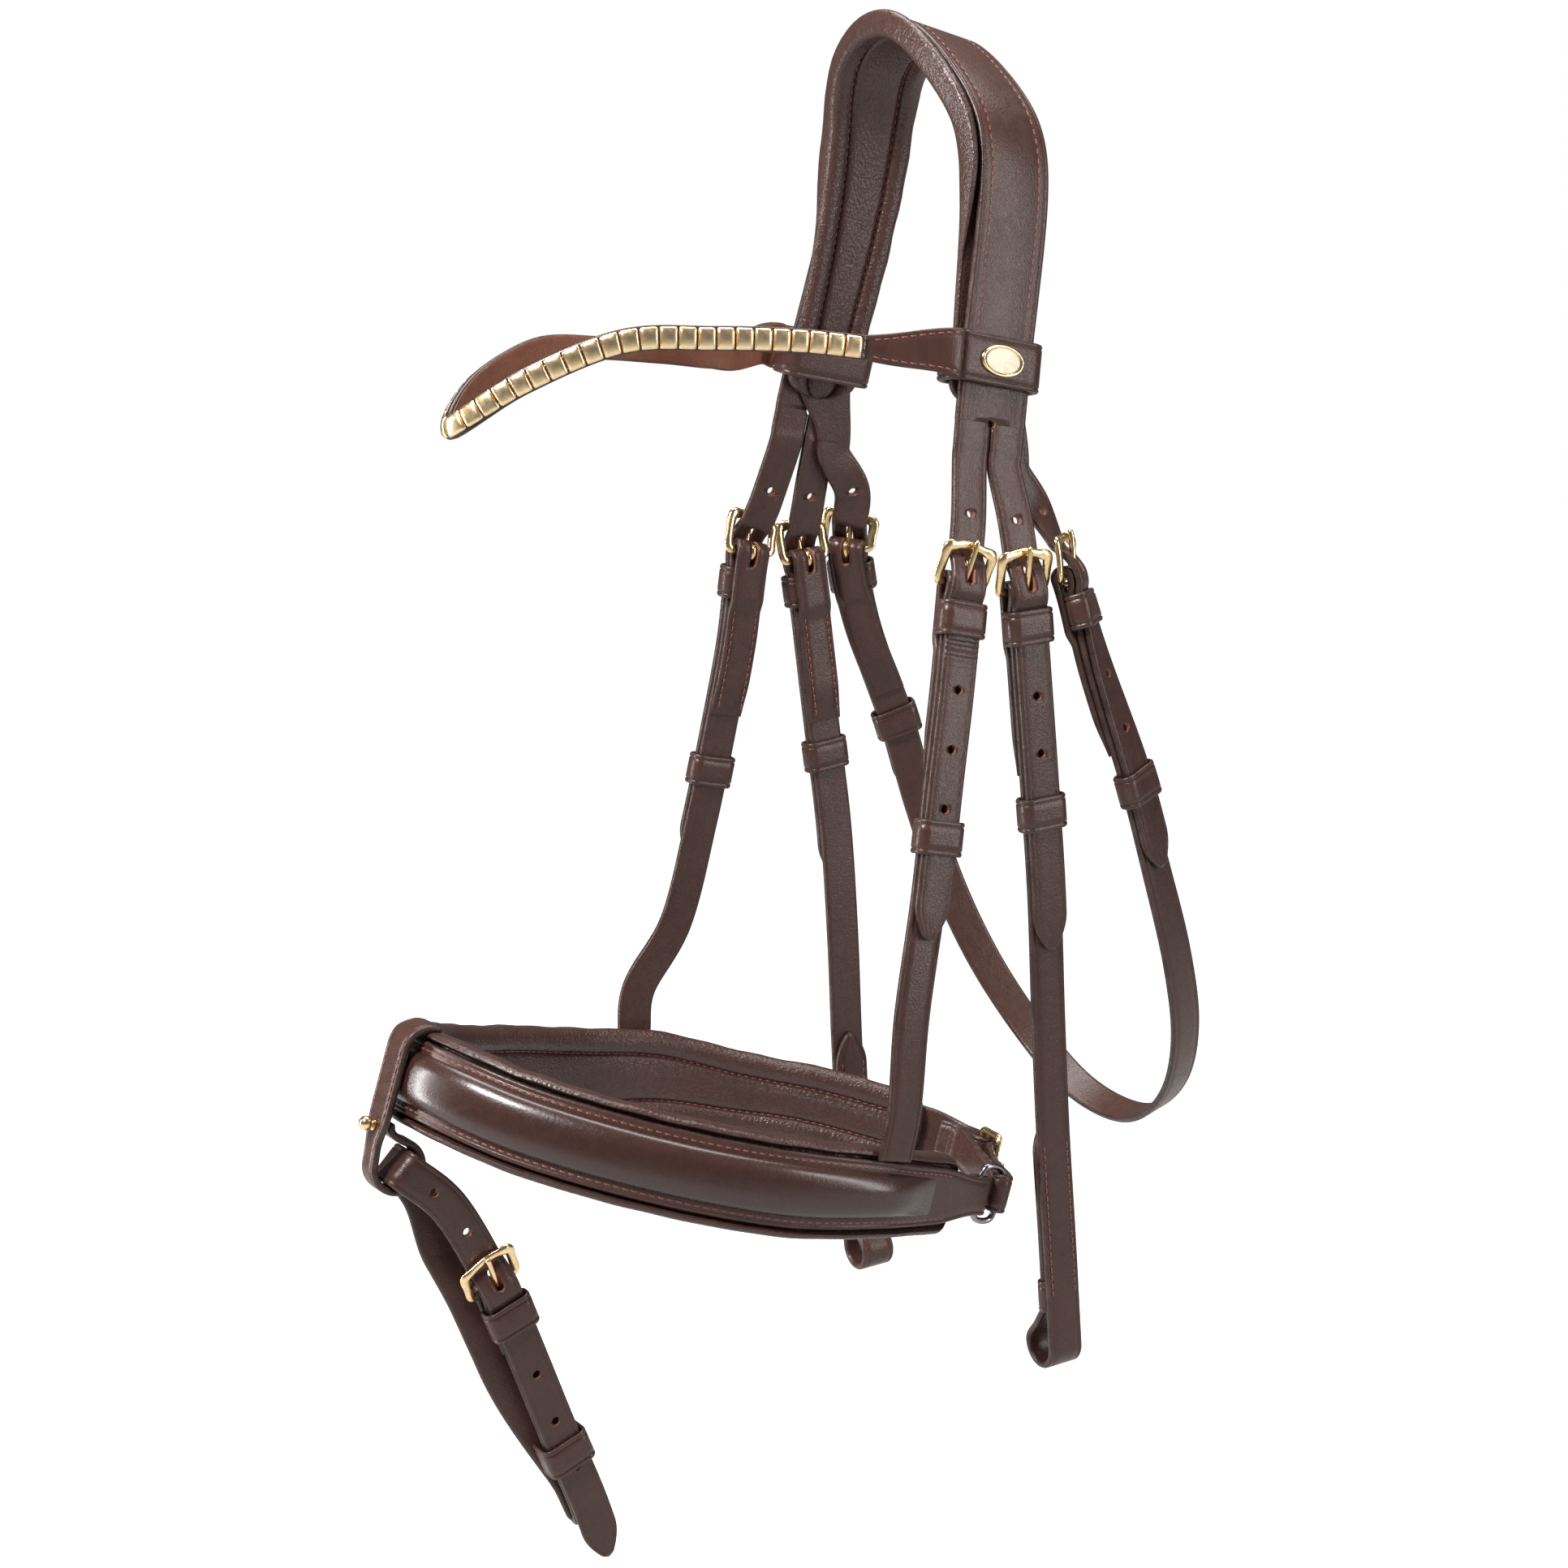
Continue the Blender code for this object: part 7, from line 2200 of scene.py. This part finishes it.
@dataclass
class Browband:
    """The browband: a lined strap with a row of domed plates, its loops and the badge."""

    crown: Crown
    near_at: float = 0.0365
    off_at: float = 0.0360
    off_drop: float = 0.0034
    thickness: float = 0.0024
    lining: float = 0.0008
    loop_height: float = 0.0176
    loop_room: float = 0.0006
    loop_corner: float = 0.0046
    stack_width: float = 0.0300
    rim_drop: float = 0.0014
    narrow: float = 0.0086
    seam: float = 0.0060
    taper: float = 0.042
    plate_height: float = 0.0076
    plate_rise: float = 0.0017
    plate_gap: float = 0.0006
    pitch: float = 0.0066
    plates_start: float = 0.0430
    badge_length: float = 0.0182
    badge_height: float = 0.0112
    badge_thickness: float = 0.0012
    plate_powers: tuple = (7.0, 0.50, 0.70)
    plate_low: float = 0.16
    plate_waist: float = 0.86
    plate_lift: float = 0.0002
    end_inset: float = 0.0045
    sewn_at: float = 0.0065
    lining_trim: float = 0.0004
    stitch_inset: float = 0.0018
    backing: float = 0.0007
    off_sag: tuple = (0.5, 1.0, 1.0, 0.6, 0.1)

    def __post_init__(self) -> None:
        """Builds the line round the forehead."""
        crown = self.crown.route
        self.low = -self.rim_drop - self.loop_room
        self.high = self.crown.leather_level + STRAP_THICKNESS / 2 + self.loop_room
        level = self.high + self.thickness * 1.5 + GAP
        near_s = crown.length - self.near_at
        seam = self.stack_width / 2 - self.seam / 2
        out = seam + 2 * self.seam
        near = [crown.spot(near_s, w, level) for w in (seam, out)]
        off = [crown.spot(self.off_at, w, level) for w in (out, seam)]
        far = places_of(OFF_BROWBAND_SHARES, -1)
        far[:, 2] -= self.off_drop * np.array(self.off_sag)
        points = np.concatenate([near, places_of(NEAR_BROWBAND_SHARES), far, off])
        outward = unit(np.cross([0.0, 0.0, 1.0], runs_of(points)))
        outward[:2] = crown.frames(np.array([near_s]))[3]
        outward[-2:] = crown.frames(np.array([self.off_at]))[3]
        self.route = Route(points, outward)

    def width(self, s: Array) -> Array:
        """Returns the height of the strap, which narrows from its loops to its plates."""
        left = np.minimum(s, self.route.length - s)
        straight = np.clip((left - self.seam) / (self.taper - self.seam), 0.0, 1.0)
        return self.loop_height + (self.narrow - self.loop_height) * straight

    def path(self, s: Array, lift: float) -> Array:
        """Returns the path at one height over the strap's middle, sunk where it joins the loops."""
        left = np.minimum(s, self.route.length - s)
        sunk = (self.thickness + GAP - 0.00018) * (1.0 - smooth_share(left, 0.010, 0.030))
        return np.column_stack([s, lift - sunk])

    def strap(self, bench: Bench) -> None:
        """Adds the dark leather and its tan lining, with the stitches that follow both edges."""
        outer = self.thickness - self.lining
        s = np.linspace(self.end_inset, self.route.length - self.end_inset, 300)
        for name, lift, thick, finish, trim in (
            ("browband_outer_hide", self.lining / 2, outer, Finish.SEWN, 0.0),
            ("browband_lining_hide", -outer / 2, self.lining, Finish.LINING, self.lining_trim),
        ):
            strip = Strip(self.route, self.path(s, lift), self.width(s) - trim, thick)
            bench.add(name, [strip.skin()], finish, "headpiece", "browband_strap")
        threads = []
        start, end = self.sewn_at, self.plates_start - SEWN_FROM
        for low, high in ((start, end), (self.route.length - end, self.route.length - start)):
            s = np.linspace(low, high, 120)
            half = self.width(s) / 2 - self.stitch_inset
            threads += Stitches().pair(self.route, self.path(s, 0.0), half, self.thickness / 2)
        bench.sew("browband_stitches", threads, "headpiece")

    def plates(self, bench: Bench) -> None:
        """Adds the domed plates, each apart from the next, on a dark backing."""
        room = self.route.length - 2 * self.plates_start
        count = round(room / self.pitch)
        ends = self.plates_start + room * np.arange(count + 1) / count
        base = self.thickness / 2 + self.plate_lift
        half = self.plate_height / 2
        square, steep, round_off = self.plate_powers
        u = np.cos(np.linspace(0.0, math.pi, 17))
        t = np.cos(np.linspace(math.pi, 0.0, 13))
        bulge = (1.0 - np.abs(t) ** square) ** steep
        skins = []
        for start, end in zip(ends, ends[1:]):
            reach = (end - start - self.plate_gap * 0.55) / 2
            s = (start + end) / 2 + reach * t
            rise = self.plate_rise * (self.plate_low + (1.0 - self.plate_low) * bulge)[:, None]
            waist = (self.plate_waist + (1.0 - self.plate_waist) * bulge)[:, None]
            top_w = half * waist * u[None, :]
            top_n = base + rise * np.sqrt(1.0 - u**2)[None, :] ** round_off
            low_w = half * 0.8 * np.linspace(-1.0, 1.0, 5)[None, 1:-1] * np.ones((len(t), 1))
            w = np.concatenate([top_w, low_w], axis=1)
            n = np.concatenate([top_n, np.full((len(t), 3), base - 0.0001)], axis=1)
            skins.append(skin_of(self.route.place(s[:, None], w, n), np.zeros(w.shape[1])))
        name, node = "browband_plates_cast", "browband_clinchers"
        bench.add(name, skins, Finish.CLINCHER, "headpiece", node, crease=PLATE_CREASE)
        s = np.linspace(ends[0] - 0.0012, ends[-1] + 0.0012, 240)
        path = level_path(s, base + 0.0001)
        strip = Strip(self.route, path, self.plate_height + 0.0002, self.backing)
        bench.add("browband_backing_hide", [strip.skin()], Finish.POLISHED, "headpiece")

    def loops(self, bench: Bench) -> None:
        """Adds the loop at each end, round the headpiece and its padding."""
        crown = self.crown.route
        sizes = {
            "length": self.loop_height, "width": self.stack_width + 4 * self.loop_room,
            "thickness": self.thickness, "corner": self.loop_corner,
        }
        for side, s in (("near", crown.length - self.near_at), ("off", self.off_at)):
            label = f"{side}_browband_loop"
            band = LoopBand(crown, s, self.low + FINGER_ROOM, self.high - FINGER_ROOM, **sizes)
            bench.add(f"{label}_hide", [band.skin()], Finish.SEWN, "headpiece", label)

    def badge(self, bench: Bench) -> None:
        """Adds the bare oval plate in its rim on the near loop."""
        base = self.high + self.thickness + 0.0001
        s = self.crown.route.length - self.near_at
        size, top = self.badge_height / 2, base + self.badge_thickness
        stretch = self.badge_length / self.badge_height
        rim = (
            (base, 1.0), (base + 0.0006, 1.0), (top - 0.0002, 0.97), (top, 0.93),
            (top - 0.0001, 0.87), (top - 0.0004, 0.84), (top - 0.0005, 0.5), (base, 0.4),
        )
        plate = (
            (base + 0.0003, 0.84), (top - 0.00045, 0.835), (top - 0.00030, 0.6),
            (top - 0.00022, 0.3), (top - 0.00020, 0.02),
        )
        for name, profile, finish in (("rim", rim, Finish.BRASS), ("plate", plate, Finish.PLATE)):
            rows = [(n, size * share) for n, share in profile]
            skin = turned(self.crown.route, s, rows, stretch, 64)
            name = f"browband_badge_{name}_cast"
            bench.add(name, [skin], finish, "headpiece", "browband_badge", crease=PLATE_CREASE)

    def build(self, bench: Bench) -> None:
        """Adds every piece of the browband."""
        self.strap(bench)
        self.plates(bench)
        self.loops(bench)
        self.badge(bench)


# Name, right, up and toward the camera in metres, width and height, watts and colour
LAMPS = (
    ("key", -0.60, 1.00, 0.75, (0.38, 0.30), 36.0, (1.0, 0.985, 0.96)),
    ("fill", 1.25, 0.30, 0.55, (0.20, 1.2), 9.0, (1.0, 0.98, 0.96)),
    ("top", 0.1, 1.15, -0.25, (1.1, 0.4), 15.0, (1.0, 0.99, 0.97)),
    ("side", -1.25, 0.05, 0.10, (0.12, 1.1), 14.0, (1.0, 1.0, 1.0)),
)


@dataclass
class Studio:
    """The camera, the lights, the pale floor and the surroundings."""

    target: tuple = (0.0, -0.0525, -0.2713)
    place: tuple = (0.98284, -0.61994, -0.08546)
    lens: float = 71.43
    floor_at: float = -0.70
    world_light: float = 0.17
    floor_size: float = 6.0
    floor_sides: int = 96
    floor_grey: float = 0.45
    floor_glow: float = 0.22

    def camera(self) -> None:
        """Adds the camera where the photograph was taken from."""
        data = bpy.data.cameras.new("camera")
        data.lens = self.lens
        data.sensor_width = 36.0
        data.clip_start = 0.01
        camera = bpy.data.objects.new("camera", data)
        camera.location = self.place
        look = Vector(self.target) - Vector(self.place)
        camera.rotation_euler = look.to_track_quat("-Z", "Y").to_euler()
        bpy.context.scene.collection.objects.link(camera)
        bpy.context.scene.camera = camera

    def light(
        self, name: str, right: float, up: float, toward: float, size: tuple, power: float,
        tint: tuple,
    ) -> None:
        """Adds an area light at a place given along the camera's own directions."""
        look = (Vector(self.target) - Vector(self.place)).normalized()
        side = look.cross(Vector((0.0, 0.0, 1.0))).normalized()
        place = Vector(self.target) + side * right + Vector((0.0, 0.0, up)) - look * toward
        data = bpy.data.lights.new(name, "AREA")
        data.shape = "RECTANGLE"
        data.size, data.size_y = size
        data.energy = power
        data.color = tint
        lamp = bpy.data.objects.new(name, data)
        lamp.location = place
        lamp.rotation_euler = (Vector(self.target) - place).to_track_quat("-Z", "Y").to_euler()
        bpy.context.scene.collection.objects.link(lamp)

    def world(self) -> None:
        """Sets white surroundings for the camera and soft grey light for everything else."""
        world = bpy.data.worlds.new("studio")
        world.use_nodes = True
        bpy.context.scene.world = world
        graph = Graph(world.node_tree)
        nodes = world.node_tree.nodes
        soft = nodes["Background"]
        place = graph.node("ShaderNodeTexCoord").outputs["Generated"]
        height = graph.node("ShaderNodeSeparateXYZ", {0: place}).outputs["Z"]
        shade = graph.spread(height, -0.4, 0.8, 0.25, 1.0)
        sky = graph.mix(shade, (0.50, 0.51, 0.53, 1.0), WHITE)
        graph.fill(soft, {"Color": sky, "Strength": self.world_light})
        white = graph.node("ShaderNodeBackground", {"Color": WHITE, "Strength": 1.0})
        seen = graph.node("ShaderNodeLightPath").outputs["Is Camera Ray"]
        both = graph.node("ShaderNodeMixShader", {0: seen, 1: soft.outputs[0], 2: white.outputs[0]})
        graph.fill(nodes["World Output"], {"Surface": both.outputs[0]})

    def floor(self) -> None:
        """Adds the round pale floor under the bridle."""
        count = self.floor_sides
        angle = math.tau * np.arange(count) / count
        middle = np.array([0.0, -0.05, self.floor_at])
        circle = np.column_stack([np.cos(angle), np.sin(angle), np.zeros(count)])
        ring = middle + self.floor_size * circle
        mesh = bpy.data.meshes.new("floor")
        mesh.from_pydata(ring, [], [list(range(count))])
        material, graph, shader, _ = start_material("pale_floor")
        seen = graph.node("ShaderNodeLightPath").outputs["Is Camera Ray"]
        graph.fill(shader, {
            "Base Color": (self.floor_grey,) * 3 + (1.0,),
            "Roughness": 0.9,
            "Specular IOR Level": 0.0,
            "Emission Color": WHITE,
            "Emission Strength": graph.spread(seen, 0.0, 1.0, self.floor_glow, 1.0),
        })
        mesh.materials.append(material)
        floor = bpy.data.objects.new("floor", mesh)
        bpy.context.scene.collection.objects.link(floor)

    def build(self) -> None:
        """Adds everything round the bridle."""
        bpy.context.scene.view_settings.view_transform = "Standard"
        self.camera()
        self.world()
        self.floor()
        for lamp in LAMPS:
            self.light(*lamp)


def main() -> None:
    """Builds the bridle and its surroundings, piece by piece."""
    logging.basicConfig(level=logging.INFO, format="%(message)s")
    bench = Bench()
    crown = Crown()
    noseband = Noseband()
    assemblies = [Headpiece(crown), Browband(crown), noseband, Flash(noseband), Throatlatch(crown)]
    for side in (1, -1):
        assemblies += [Cheekpiece(crown, side), Hanger(crown, side, noseband)]
    for assembly in assemblies:
        log.info("building the %s", type(assembly).__name__.lower())
        assembly.build(bench)
    Studio().build()


if __name__ == "__main__":
    main()
